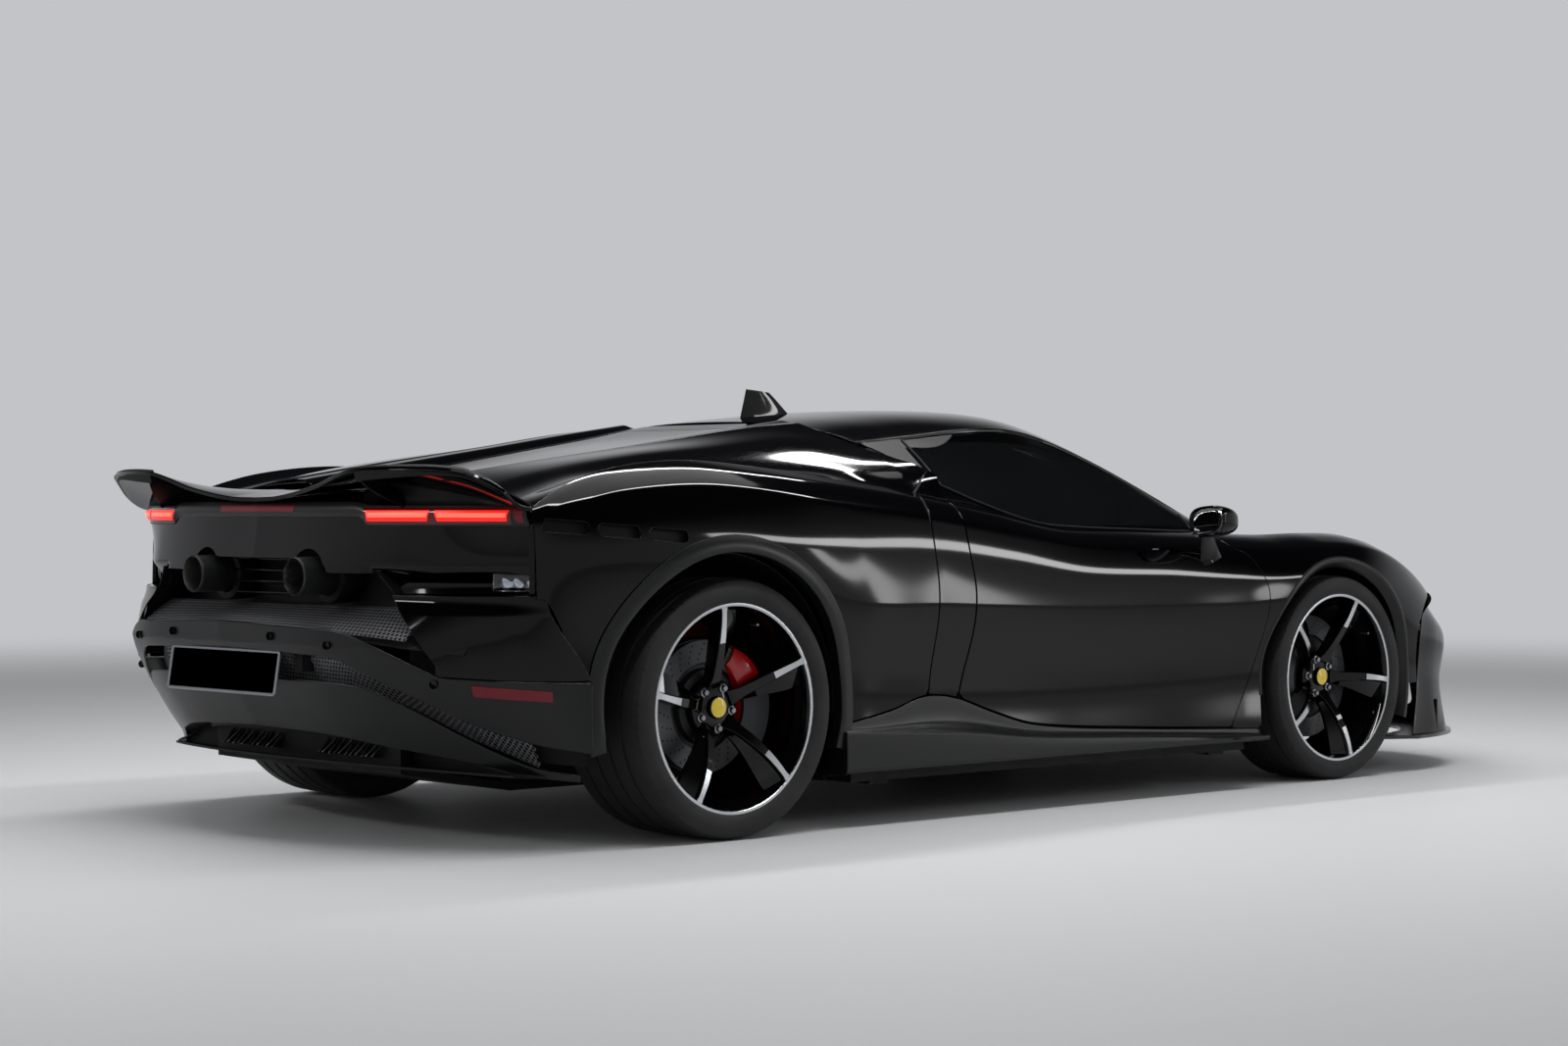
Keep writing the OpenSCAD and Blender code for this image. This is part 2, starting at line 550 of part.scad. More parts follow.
// Shallow pocket of the reversing lamps
pocket_d = 44; // [30:2:56]
function tail_half(z) = 900 - 30 * max(0, (z - 780) / 88) ^ 2;
function pocket(w, z) = z < 661 ? 0 :
    pocket_d * smooth((738 - z) / 62) * smooth((w - 470) / 40) * smooth((930 - w) / 26);
function tail_point(y, z) =
    let (w = abs(y), lean = mix(at(tail_lean, z), at(corner_lean, z), smooth((w - 560) / 300)))
    fit([at(tail_plan, w) + lean + pocket(w, z), y, z]);
exhaust_y = 247;
exhaust_z = 700;
// Dark recess between the tail panel and the bumper
function recess_point(u, v) =
    mix(tail_point(900 * u, 597) + [6, 0, 0],
        bumper_point(0.985 * u, 0) + [panel_t + 1.6 + 16 * max(0, 1 - (6 * (abs(u) - 0.62)) ^ 2),
            -44 * u ^ 5, -6], v)
    + [mix(60, -14, smooth((abs(u) - 0.58) / 0.14)) * sin(180 * v), 0, 0];
duck_foot = duck_point(0, 0.945);
tail_rows = [868, 800, 740, 706, 674, 662, 655, 592];
module tail_panel() color("#0b0b0c") mesh() difference() {
    g = [for (i = [0 : 24]) [for (j = [0 : 7])
        let (z = tail_rows[j]) tail_point(tail_half(z) * (i / 12 - 1), z)]];
    union() {
        panel(g, sink(g, panel_t));
        recess = [for (i = [0 : 24]) [for (j = [0 : 4]) recess_point(i / 12 - 1, j / 4)]];
        panel(recess, sink(recess, panel_t));
        // Bracket that the ducktail rests on
        translate([duck_foot[0], -20, fz(856)]) cube([14, 40, duck_foot[2] - 27.7 - fz(856)]);
    }
    for (y = [-1, 1]) translate([fx(-2400), y * fy(exhaust_y), fz(exhaust_z)]) rotate([0, 90, 0])
        cylinder(h = 400, d = exhaust_d + 0.7, $fn = 48);
}
module tail_lamps() color("#c01818") each_side() {
    g = [for (i = [0 : 10]) [for (j = [0 : 1])
        tail_point(mix(330, 862, i / 10), mix(864, 838, j)) - [11.2, 0, 0]]];
    back = [for (r = g) [for (p = r) p + [9, 0, 0]]];
    panel(g, back);
}

module exhaust() color("#3a3a3c") {
    for (y = [-1, 1]) translate([fx(-2290), y * fy(exhaust_y), fz(exhaust_z)])
        rotate([0, 90, 0]) difference() {
            cylinder(h = fx(-2130) - fx(-2290), d = exhaust_d);
            translate([0, 0, -1]) cylinder(h = fx(-2140) - fx(-2290), d = exhaust_d - 8);
        }
    block([-2130, -1950], [-340, 340], [625, 775]);
}

module diffuser() color("#1c1c1e") {
    mesh() difference() {
        g = [for (i = [0 : 24]) [for (j = [0 : 5]) bumper_point(i / 12 - 1, j / 5)]];
        panel(g, sink(g, panel_t));
        translate([fx(-2500), fy(tow_y), fz(tow_z)]) rotate([0, 90, 0])
            cylinder(h = 500, d = tow_bore_d + 20, $fn = 32);
    }
    mesh() union() {
        tray = [for (i = [0 : 3]) [for (j = [0 : 6])
            let (t = i / 3, w = abs(j - 3) / 3)
            fit([mix(-2136 + 26 * w ^ 3, -2080, t) - seal, mix(-400, 400, j / 6),
                mix(212, floor_z + diffuser_rise + 12, t)])]];
        panel(tray, sink(tray, 10));
    }
}

module plate() color("#0a0a0a") {
    foot = fz(450) - plate_h / 2;
    v = (fz(at(bumper_top, 0)) - foot - plate_h) / fz(at(bumper_top, 0) - at(bumper_foot, 0));
    translate([bumper_point(0, v)[0] - 7 - seal, -plate_w / 2, foot]) cube([7, plate_w, plate_h]);
}

module side_skirts() color("#131314") each_side() {
    g = [for (i = [0 : 14]) let (x = mix(-962, 868, i / 14), e = at(side_edge, x) - 6)
        [side_point(x, e), fit([x, mix(side_y(x, e), 968, 0.6), mix(e, 168, 0.7)]),
         fit([x, 969, 172]), fit([x, 966, 158]), fit([x, 893, 140])]];
    back = [for (r = g) [r[0] + [0, -14, 0], r[1] + [0, -22, 0], r[2] + [0, -30, 0],
        r[3] + [0, -50, 6], r[4] + [0, 0, 10]]];
    panel(g, back);
}

module engine() color("#6a2020") {
    block([-1180, -660], [-330, 330], [200, 800]);
    block([-1760, -1180.3], [-190, 190], [200, 520]);
}

module seats() color("#1d1d1f") each_side()
    translate([0, fy(590), fz(0)]) rotate([90, 0, 0]) linear_extrude(fy(460))
        polygon([for (p = [[-330, 138.3], [130, 138.3], [170, 300], [120, 320], [-190, 262],
            [-290, 300], [-440, 820], [-470, 960], [-550, 960], [-530, 760], [-430, 320]])
            [fx(p[0]), fz(p[1])]]);

module dashboard() color("#1a1a1b")
    translate([0, fy(640), 0]) rotate([90, 0, 0]) linear_extrude(fy(1280))
        polygon([for (p = [[575, 640], [612, 742], [700, 785], [862, 790], [862, 700], [861.7, 560],
            [660, 540], [600, 560]]) [fx(p[0]), fz(p[1])]]);

module steering_wheel() color("#151516")
    translate(fit([430, 360, 700])) rotate([0, -66, 0]) {
        rotate_extrude() translate([172, 0]) circle(r = 15, $fn = 24);
        difference() {
            translate([-40, -165, -9]) cube([60, 330, 16]);
            translate([0, 0, -20]) cylinder(h = 40, r = 34);
        }
        translate([0, 0, -154]) cylinder(h = 162, r = 34.5);
    }

module liner(x, r, wheel_r, y0, y1)
    translate([x, fy(y0), wheel_r]) rotate([-90, 0, 0]) difference() {
        cylinder(h = fy(y1) - fy(y0), r = r - seal);
        translate([0, 0, -1]) cylinder(h = fy(y1), r = r - seal - 4);
        translate([-r, 30, -1]) cube([2 * r, 2 * r, fy(y1)]);
    }
module wheel_liners() color("#171717") each_side() {
    liner(front_arch_x, front_arch_r, front_r, 560, 915);
    liner(rear_arch_x, rear_arch_r, rear_r, 600, 925);
}

// Wheel parts lie on Z, outward up, with the rim's lip at z = 0
module lay(x, y, z, side) one_side(side)
    translate([x, y, z]) rotate([-90, 0, 0]) children();
lip_inset = 6;
module tyre(d, w, rim_d) {
    bead = rim_d / 2 - 16;
    rotate_extrude() polygon([[bead, -w + 14], [bead, -14], [bead + 14, -8], [bead + 22, -2],
        [mix(bead, d / 2, 0.55), 0], [d / 2 - 20, -6], [d / 2 - 6, -18], [d / 2, -34],
        [d / 2, -w + 34], [d / 2 - 6, -w + 18], [d / 2 - 20, -w + 6],
        [mix(bead, d / 2, 0.55), -w], [bead + 22, -w + 2], [bead + 14, -w + 8]]);
}
spoke_count = 5;
hub_r = 84;
module rim(w, rim_d, disc_d, disc_in, turn) {
    bead = rim_d / 2 - 16 - seal;
    barrel = bead - 9;
    hub_z = -lip_inset - rim_dish;
    rotate_extrude() polygon([[bead, -w + 14], [bead, -14], [bead + 12, -lip_inset],
        [bead + 6, -lip_inset], [barrel - 6, -lip_inset - 14], [barrel, -40], [barrel, -w + 14]]);
    intersection() {
        rotate_extrude() polygon([[28, hub_z - 24], [28, hub_z], [70, hub_z], [barrel + 2, -lip_inset - 14],
            [barrel + 2, -lip_inset - 42], [78, hub_z - 24]]);
        union() {
            translate([0, 0, hub_z - 40]) cylinder(h = 60, r = 72);
            for (k = [0 : spoke_count - 1]) rotate(turn + k * 360 / spoke_count)
                translate([0, 0, hub_z - 40]) linear_extrude(200)
                    polygon([[20, -40], [barrel + 4, -46], [barrel + 4, 46], [20, 40]]);
        }
    }
    difference() {
        union() {
            translate([0, 0, hub_z - 30]) cylinder(h = 30, r = 62);
            translate([0, 0, disc_in]) cylinder(h = hub_z - 22 - disc_in, r = hub_r);
            translate([0, 0, disc_in]) cylinder(h = disc_t, r = disc_d / 2);
        }
        translate([0, 0, disc_in - 1]) cylinder(h = hub_z - 6 - disc_in + 1, r = stub_d / 2 + hub_clearance);
    }
}
// Depths below the lip: disc's inner face and the end of the stub axle
disc_drop = 150;
upright_drop = disc_drop + 8;
function front_lip_y() = front_wheel_y + front_tyre_w / 2;
function rear_lip_y() = rear_wheel_y + rear_tyre_w / 2;

// Upright with its stub axle and brake caliper, the caliper towards +X
module upright(disc_d) {
    hub_z = -lip_inset - rim_dish;
    translate([0, 0, -upright_drop - 34]) cylinder(h = 34, r = 62);
    translate([0, 0, -upright_drop - 1]) cylinder(h = upright_drop + hub_z - 8, r = stub_d / 2);
    translate([-24, -122, -upright_drop - 34]) cube([48, 244, 26]);
    translate([40, -40, -upright_drop - 30]) cube([disc_d / 2 - 62, 80, 20]);
    rotate(-27) rotate_extrude(angle = 62) polygon([
        [disc_d / 2 - 74, -upright_drop - 30], [disc_d / 2 + 18, -upright_drop - 30],
        [disc_d / 2 + 18, -disc_drop + disc_t + 17], [disc_d / 2 - 74, -disc_drop + disc_t + 17],
        [disc_d / 2 - 74, -disc_drop + disc_t + 6], [disc_d / 2 + 6, -disc_drop + disc_t + 6],
        [disc_d / 2 + 6, -disc_drop - 6], [disc_d / 2 - 74, -disc_drop - 6]]);
}
// A pair of wishbones from the rails out to an upright
module wishbones(x, y0, y1, z, spread) {
    for (h = z) translate([x, 0, h]) linear_extrude(22) polygon([[-spread, y0 + seal],
        [-spread + 40, y0 + seal], [0, y1 - 62], [spread - 40, y0 + seal], [spread, y0 + seal],
        [24, y1], [-24, y1]]);
}
front_ball_y = front_lip_y() - upright_drop - 21;
rear_ball_y = rear_lip_y() - upright_drop - 21;
module front_suspension() color("#4a4a4e") each_side()
    wishbones(front_axle, fy(440), front_ball_y + 10, [front_r - 122 - 22 - seal, front_r + 122 + seal], 150);
module rear_suspension() color("#4a4a4e") each_side() {
    wishbones(rear_axle, fy(430), rear_ball_y + 10, [rear_r - 122 - 22 - seal, rear_r + 122 + seal], 160);
    lay(rear_axle, rear_lip_y(), rear_r, 1) upright(rear_disc_d);
    translate([rear_axle, fy(190) + seal, rear_r]) rotate([-90, 0, 0])
        cylinder(h = rear_lip_y() - upright_drop - 34 - fy(190) - seal, r = 17);
}
module knuckle(side) color("#9b1c1c")
    lay(front_axle, front_lip_y(), front_r, side) mirror([1, 0, 0]) upright(front_disc_d);
module knuckle_left() knuckle(1);
module knuckle_right() knuckle(-1);

front_spoke_turn = -3.5;
rear_spoke_turn = 26;
module tyre_front(side) color("#141414")
    lay(front_axle, front_lip_y(), front_r, side) tyre(front_tyre_d, front_tyre_w, front_rim_d);
module tyre_rear(side) color("#141414")
    lay(rear_axle, rear_lip_y(), rear_r, side) tyre(rear_tyre_d, rear_tyre_w, rear_rim_d);
module rim_front(side) color("#2a2a2c")
    lay(front_axle, front_lip_y(), front_r, side)
        rim(front_tyre_w, front_rim_d, front_disc_d, -disc_drop, front_spoke_turn);
module rim_rear(side) color("#2a2a2c")
    lay(rear_axle, rear_lip_y(), rear_r, side)
        rim(rear_tyre_w, rear_rim_d, rear_disc_d, -disc_drop, rear_spoke_turn);
module tyre_front_left() tyre_front(1);
module tyre_front_right() tyre_front(-1);
module tyre_rear_left() tyre_rear(1);
module tyre_rear_right() tyre_rear(-1);
module rim_front_left() rim_front(1);
module rim_front_right() rim_front(-1);
module rim_rear_left() rim_rear(1);
module rim_rear_right() rim_rear(-1);

floor();
front_bumper();
splitter();
headlamps();
bonnet();
cowl();
fender_left();
fender_right();
windscreen();
roof();
door_left();
door_right();
door_glass_left();
door_glass_right();
mirror_left();
mirror_right();
quarter_left();
quarter_right();
quarter_glass();
engine_lid();
engine_lid_glass();
spoiler();
tail_panel();
tail_lamps();
exhaust();
diffuser();
plate();
side_skirts();
engine();
seats();
dashboard();
steering_wheel();
wheel_liners();
front_suspension();
rear_suspension();
knuckle_left();
knuckle_right();
tyre_front_left();
tyre_front_right();
tyre_rear_left();
tyre_rear_right();
rim_front_left();
rim_front_right();
rim_rear_left();
rim_rear_right();
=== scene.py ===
"""Black mid-engine two-door supercar: the look of the part, built round its CAD frame."""

from __future__ import annotations

import json
import logging
import math
from collections.abc import Callable, Iterable, Sequence
from dataclasses import dataclass, field
from enum import Enum

import bpy
import numpy as np
from mathutils import Matrix, Vector

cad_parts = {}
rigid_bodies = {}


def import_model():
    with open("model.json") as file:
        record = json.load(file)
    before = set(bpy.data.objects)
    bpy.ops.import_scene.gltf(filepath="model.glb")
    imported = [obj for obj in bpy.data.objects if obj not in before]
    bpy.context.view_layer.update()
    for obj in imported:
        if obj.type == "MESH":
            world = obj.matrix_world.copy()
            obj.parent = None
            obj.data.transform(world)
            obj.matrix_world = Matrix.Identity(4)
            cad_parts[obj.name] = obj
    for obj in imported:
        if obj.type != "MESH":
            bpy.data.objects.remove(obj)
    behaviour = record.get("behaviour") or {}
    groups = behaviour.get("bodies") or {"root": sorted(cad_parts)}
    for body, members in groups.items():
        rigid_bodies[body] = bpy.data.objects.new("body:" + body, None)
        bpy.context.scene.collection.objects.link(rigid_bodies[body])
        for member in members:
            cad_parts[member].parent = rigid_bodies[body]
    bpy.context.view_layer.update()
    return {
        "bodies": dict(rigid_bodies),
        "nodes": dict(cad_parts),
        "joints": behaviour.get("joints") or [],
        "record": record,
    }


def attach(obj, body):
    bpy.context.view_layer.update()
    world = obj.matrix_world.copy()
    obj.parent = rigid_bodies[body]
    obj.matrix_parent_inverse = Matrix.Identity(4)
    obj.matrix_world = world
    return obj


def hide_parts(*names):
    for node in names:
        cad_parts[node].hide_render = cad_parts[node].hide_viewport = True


LOG = logging.getLogger("supercar")
MM = 0.001

Array = np.ndarray
Point = tuple[float, float, float]
Surface = Callable[[Array, Array], Array]
Trim = Callable[[Array], Array]


# ---------------------------------------------------------------- curves


class Curve:
    """Smooth curve through rows of (position, value), held level beyond its ends."""

    def __init__(self, rows: Sequence[tuple]) -> None:
        """Stores the rows.

        Args:
            rows: (position, value) pairs with rising positions; a value is a number or a tuple.
        """
        self.x = np.array([r[0] for r in rows], float)
        self.y = np.array([np.atleast_1d(r[1]) for r in rows], float)
        self.scalar = np.ndim(rows[0][1]) == 0
        lo = np.maximum(np.arange(len(rows)) - 1, 0)
        hi = np.minimum(np.arange(len(rows)) + 1, len(rows) - 1)
        self.slope = (self.y[hi] - self.y[lo]) / (self.x[hi] - self.x[lo])[:, None]

    def __call__(self, x: Array | float) -> Array:
        """Values at the given positions.

        Args:
            x: One position or an array of them.

        Returns:
            An array of the same shape, with one more axis where the values are tuples.
        """
        x = np.asarray(x, float)
        i = np.clip(np.searchsorted(self.x, x, side="right") - 1, 0, len(self.x) - 2)
        h = self.x[i + 1] - self.x[i]
        u = np.clip((x - self.x[i]) / h, 0, 1)[..., None]
        h = h[..., None]
        out = (self.y[i] * (2 * u**3 - 3 * u**2 + 1) + self.slope[i] * h * (u**3 - 2 * u**2 + u)
               + self.y[i + 1] * (3 * u**2 - 2 * u**3) + self.slope[i + 1] * h * (u**3 - u**2))
        return out[..., 0] if self.scalar else out


def rows_at(pos: Array, val: Array, x: Array) -> Array:
    """Smooth curve whose rows differ from point to point.

    Args:
        pos: Row positions, rows first.
        val: Row values, rows first.
        x: Position asked for at each point.

    Returns:
        One value for each point.
    """
    n = len(pos)
    lo = np.maximum(np.arange(n) - 1, 0)
    hi = np.minimum(np.arange(n) + 1, n - 1)
    slope = (val[hi] - val[lo]) / (pos[hi] - pos[lo])
    i = np.clip((pos <= x).sum(0) - 1, 0, n - 2)[None]
    take = lambda a, k: np.take_along_axis(a, k, 0)[0]
    p0, p1 = take(pos, i), take(pos, i + 1)
    h = p1 - p0
    u = np.clip((x - p0) / h, 0, 1)
    return (take(val, i) * (2 * u**3 - 3 * u**2 + 1) + take(slope, i) * h * (u**3 - 2 * u**2 + u)
            + take(val, i + 1) * (3 * u**2 - 2 * u**3) + take(slope, i + 1) * h * (u**3 - u**2))


def mix(a: Array | float, b: Array | float, t: Array | float) -> Array | float:
    """Value that lies the share t of the way from a to b."""
    return a + (b - a) * t


def stack(x: Array, y: Array, z: Array) -> Array:
    """Points from their three coordinates."""
    return np.stack(np.broadcast_arrays(x, y, z), -1).astype(float)


def unit(v: Array) -> Array:
    """Vectors scaled to length 1."""
    return v / np.maximum(np.linalg.norm(v, axis=-1, keepdims=True), 1e-12)


def smooth(t: Array | float) -> Array | float:
    """Eased step from 0 to 1."""
    t = np.clip(t, 0, 1)
    return t * t * (3 - 2 * t)


def ridge(x: Array | float, centre: float, width: float) -> Array:
    """Soft bump of height 1 about a centre."""
    return np.exp(-((np.asarray(x, float) - centre) / width) ** 2)


def squarish(c: Array, power: float) -> Array:
    """Signed power of a sine or cosine, which turns a circle into a soft square."""
    return np.sign(c) * np.abs(c) ** power


def full_turn(count: int) -> Array:
    """Angles of equal steps once round."""
    return np.linspace(0, 2 * math.pi, count, endpoint=False)


def polar(radius: float, angle: float, y: float) -> Point:
    """Point at a radius and an angle about the Y axis."""
    return (radius * math.cos(angle), y, radius * math.sin(angle))


def box_gap(dx: Array, dz: Array) -> Array:
    """Distance outside a rectangle, from the distances beyond its sides; negative inside."""
    return np.hypot(np.maximum(dx, 0), np.maximum(dz, 0)) + np.minimum(np.maximum(dx, dz), 0)


def drawn(points: Sequence[tuple[float, float]]) -> tuple[Curve, float]:
    """Smooth curve through points by the share of the way run, and the whole way's length."""
    rows = np.array(points, float)
    run = np.append(0, np.cumsum(np.linalg.norm(np.diff(rows, axis=0), axis=1)))
    return Curve([(r, tuple(p)) for r, p in zip(run / run[-1], rows)]), run[-1]


def pose(at: Point, *turns: tuple[float, str]) -> Matrix:
    """Move to a point after turns of so many degrees about the axes named.

    Args:
        at: The point.
        *turns: Pairs of degrees and an axis letter; the last one is made first.

    Returns:
        The matrix.
    """
    matrix = Matrix.Translation(at)
    for degrees, axis in turns:
        matrix = matrix @ Matrix.Rotation(math.radians(degrees), 4, axis)
    return matrix


# ---------------------------------------------------------------- meshes


class Mesh:
    """Vertices, faces, shading normals and materials of a piece under construction, in mm."""

    def __init__(self) -> None:
        """Starts empty."""
        self.points: list[Array] = []
        self.normals: list[Array] = []
        self.faces: list[tuple[int, ...]] = []
        self.slots: list[int] = []
        self.count = 0

    def add(self, points: Array, faces: Iterable[Sequence[int]], normals: Array | None = None,
            slot: int = 0) -> None:
        """Adds one part.

        Args:
            points: Its points.
            faces: Faces as indices into those points.
            normals: Shading normals, or None to leave them to Blender.
            slot: Index of its material.
        """
        points = np.asarray(points, float).reshape(-1, 3)
        self.points.append(points)
        self.normals.append(np.zeros_like(points) if normals is None else normals)
        before = len(self.faces)
        self.faces += [tuple(int(k) + self.count for k in f) for f in faces]
        self.slots += [slot] * (len(self.faces) - before)
        self.count += len(points)

    def join(self, other: Mesh, slot: int | None = None) -> Mesh:
        """Adds another mesh and returns this one.

        Args:
            other: The mesh to add.
            slot: Material index for all of it, or None to keep its own.

        Returns:
            This mesh.
        """
        self.points += other.points
        self.normals += other.normals
        self.faces += [tuple(k + self.count for k in f) for f in other.faces]
        self.slots += other.slots if slot is None else [slot] * len(other.faces)
        self.count += other.count
        return self

    def arrays(self) -> tuple[Array, Array]:
        """All points and all normals."""
        return np.concatenate(self.points), np.concatenate(self.normals)

    def mapped(self, move: Callable[[Array], Array], turn: Callable[[Array], Array] | None = None,
               flip: bool = False) -> Mesh:
        """A changed copy.

        Args:
            move: Maps the points.
            turn: Maps the normals, or None to leave them as they are.
            flip: True where the map is a reflection.

        Returns:
            The new mesh.
        """
        new = Mesh()
        p, n = self.arrays()
        new.points, new.normals = [move(p)], [n if turn is None else turn(n)]
        new.faces = [f[::-1] for f in self.faces] if flip else list(self.faces)
        new.slots, new.count = list(self.slots), self.count
        return new

    def mirrored(self) -> Mesh:
        """The same on the other side of the car."""
        swap = np.array([1.0, -1.0, 1.0])
        return self.mapped(lambda p: p * swap, lambda n: n * swap, flip=True)

    def placed(self, matrix: Matrix) -> Mesh:
        """The same after a rigid move given in mm."""
        m = np.array(matrix)
        return self.mapped(lambda p: p @ m[:3, :3].T + m[:3, 3], lambda n: n @ m[:3, :3].T)

    def both(self) -> Mesh:
        """This mesh and its mirror image, as one."""
        twin = self.mirrored()
        return Mesh().join(self).join(twin)

    def to_object(self, name: str, finishes: Sequence[bpy.types.Material],
                  sharp_deg: float | None = None) -> bpy.types.Object:
        """Makes the Blender object, in metres.

        Args:
            name: Its name.
            finishes: Materials in slot order.
            sharp_deg: Angle above which an edge shades sharp, or None to use the normals given.

        Returns:
            The linked object.
        """
        p, n = self.arrays()
        data = bpy.data.meshes.new(name)
        data.from_pydata((p * MM).tolist(), [], self.faces)
        for material in finishes:
            data.materials.append(material)
        data.polygons.foreach_set("material_index", self.slots)
        data.validate(clean_customdata=False)
        data.polygons.foreach_set("use_smooth", [True] * len(data.polygons))
        if sharp_deg is not None:
            data.set_sharp_from_angle(angle=math.radians(sharp_deg))
        elif np.abs(n).sum() > 0 and len(data.vertices) == len(n):
            data.normals_split_custom_set_from_vertices(n.tolist())
        data.update()
        obj = bpy.data.objects.new(name, data)
        bpy.context.scene.collection.objects.link(obj)
        return obj


# A grid with more cells than LARGE_GRID is thinned out to DENSITY of its steps each way
LARGE_GRID = 500
DENSITY = 0.63
# Distance that stands for no trim near by, in mm
FAR = 1e3
# Step in u and v over which a surface's normal is measured
NORMAL_STEP = 1.5e-3
# A grid point nearer to a trim than this share of its cell moves onto the trim
SNAP = 0.35
# Least share of its length that a corner of the hem keeps
MIN_CORNER = 0.5


@dataclass
class Skin:
    """Sheet of material on a surface: trimmed, hemmed round its edge and closed at the back.

    Sizes are in mm. The surface maps u and v, each from 0 to 1, to points. Trims cut by the
    points and windows by u and v. The back lies towards the point inside, and lift raises the
    sheet off its surface.
    """

    surface: Surface
    nu: int
    nv: int
    thick: float = 3.0
    hem: float = 1.6
    trims: Sequence[Trim] = ()
    windows: Sequence[Trim] = ()
    inside: Point = (0.0, 0.0, 500.0)
    lift: float = 0.0
    steps: int = 4
    uv: list = field(default_factory=list, init=False)
    sign: float = field(default=0.0, init=False)

    def __post_init__(self) -> None:
        """Thins out a large grid to what its curves need."""
        if self.nu * self.nv > LARGE_GRID:
            self.nu, self.nv = round(self.nu * DENSITY), round(self.nv * DENSITY)

    def mesh(self) -> Mesh:
        """Builds the closed sheet."""
        uv, keep = self._grid()
        faces = self._clip(uv, keep) if self.trims or self.windows else self._cells()
        used = sorted({k for f in faces for k in f})
        if not used:
            raise ValueError("a skin has nothing left after its trims")
        place = {k: i for i, k in enumerate(used)}
        pts = np.array([self.uv[k] for k in used])
        p, n = self._evaluate(pts[:, 0], pts[:, 1])
        p = p + n * self.lift
        faces = [tuple(place[k] for k in f) for f in faces]
        if self.sign < 0:
            faces = [f[::-1] for f in faces]
        return self._close(p, n, faces)

    def _evaluate(self, u: Array, v: Array) -> tuple[Array, Array]:
        """Points and outward normals at parameters."""
        e, face = NORMAL_STEP, self.surface
        p = face(u, v)
        du = face(np.minimum(u + e, 1), v) - face(np.maximum(u - e, 0), v)
        dv = face(u, np.minimum(v + e, 1)) - face(u, np.maximum(v - e, 0))
        n = unit(np.cross(unit(du), unit(dv)))
        if not self.sign:
            self.sign = 1.0 if (n * (p - np.array(self.inside))).sum() >= 0 else -1.0
        return p, n * self.sign

    def _grid(self) -> tuple[Array, Array]:
        """Parameters of the grid and how far inside the trims each of its points lies."""
        u, v = np.meshgrid(np.linspace(0, 1, self.nu + 1), np.linspace(0, 1, self.nv + 1),
                           indexing="ij")
        self.uv = list(np.stack([u.ravel(), v.ravel()], -1))
        p, _ = self._evaluate(u.ravel(), v.ravel())
        keep = np.full(len(p), FAR)
        for trim in self.trims:
            keep = np.minimum(keep, trim(p))
        for window in self.windows:
            keep = np.minimum(keep, window(np.array(self.uv)))
        return np.array(self.uv), keep

    def _cells(self) -> list[tuple[int, ...]]:
        """Every cell of the grid."""
        w = self.nv + 1
        return [(i * w + j, (i + 1) * w + j, (i + 1) * w + j + 1, i * w + j + 1)
                for i in range(self.nu) for j in range(self.nv)]

    def _clip(self, uv: Array, keep: Array) -> list[tuple[int, ...]]:
        """Cells cut along the trims; points close to a trim first move onto it."""
        w = self.nv + 1
        ids = np.arange(len(uv)).reshape(self.nu + 1, w)
        pairs = np.concatenate([np.stack([ids[:-1].ravel(), ids[1:].ravel()], -1),
                                np.stack([ids[:, :-1].ravel(), ids[:, 1:].ravel()], -1)])
        fa, fb = keep[pairs[:, 0]], keep[pairs[:, 1]]
        cross = pairs[(fa > 0) != (fb > 0)]
        moves = []
        for a, b in cross:
            t = keep[a] / (keep[a] - keep[b])
            if t < SNAP:
                moves.append((t, a, b, t))
            elif t > 1 - SNAP:
                moves.append((1 - t, b, a, 1 - t))
        uv, keep = uv.copy(), keep.copy()
        done: set[int] = set()
        for _, k, other, t in sorted(moves, key=lambda m: m[0]):
            if k not in done and other not in done:
                uv[k] = mix(uv[k], uv[other], t)
                keep[k] = 0.0
                done.add(k)
        self.uv = [tuple(q) for q in uv]
        cuts: dict[tuple[int, int], int] = {}

        def cut(a: int, b: int) -> int:
            """Point where the trim crosses an edge of a cell."""
            key = (min(a, b), max(a, b))
            if key not in cuts:
                t = keep[key[0]] / (keep[key[0]] - keep[key[1]])
                cuts[key] = len(self.uv)
                self.uv.append(tuple(mix(uv[key[0]], uv[key[1]], t)))
            return cuts[key]

        faces = []
        for cell in self._cells():
            f = keep[list(cell)]
            if (f <= 0).all():
                continue
            if (f >= 0).all():
                faces.append(cell)
                continue
            poly = []
            for k in range(4):
                a, b = cell[k], cell[(k + 1) % 4]
                if keep[a] >= 0:
                    poly.append(a)
                if keep[a] * keep[b] < 0:
                    poly.append(cut(a, b))
            if len(poly) > 2:
                faces.append(tuple(poly))
        return faces

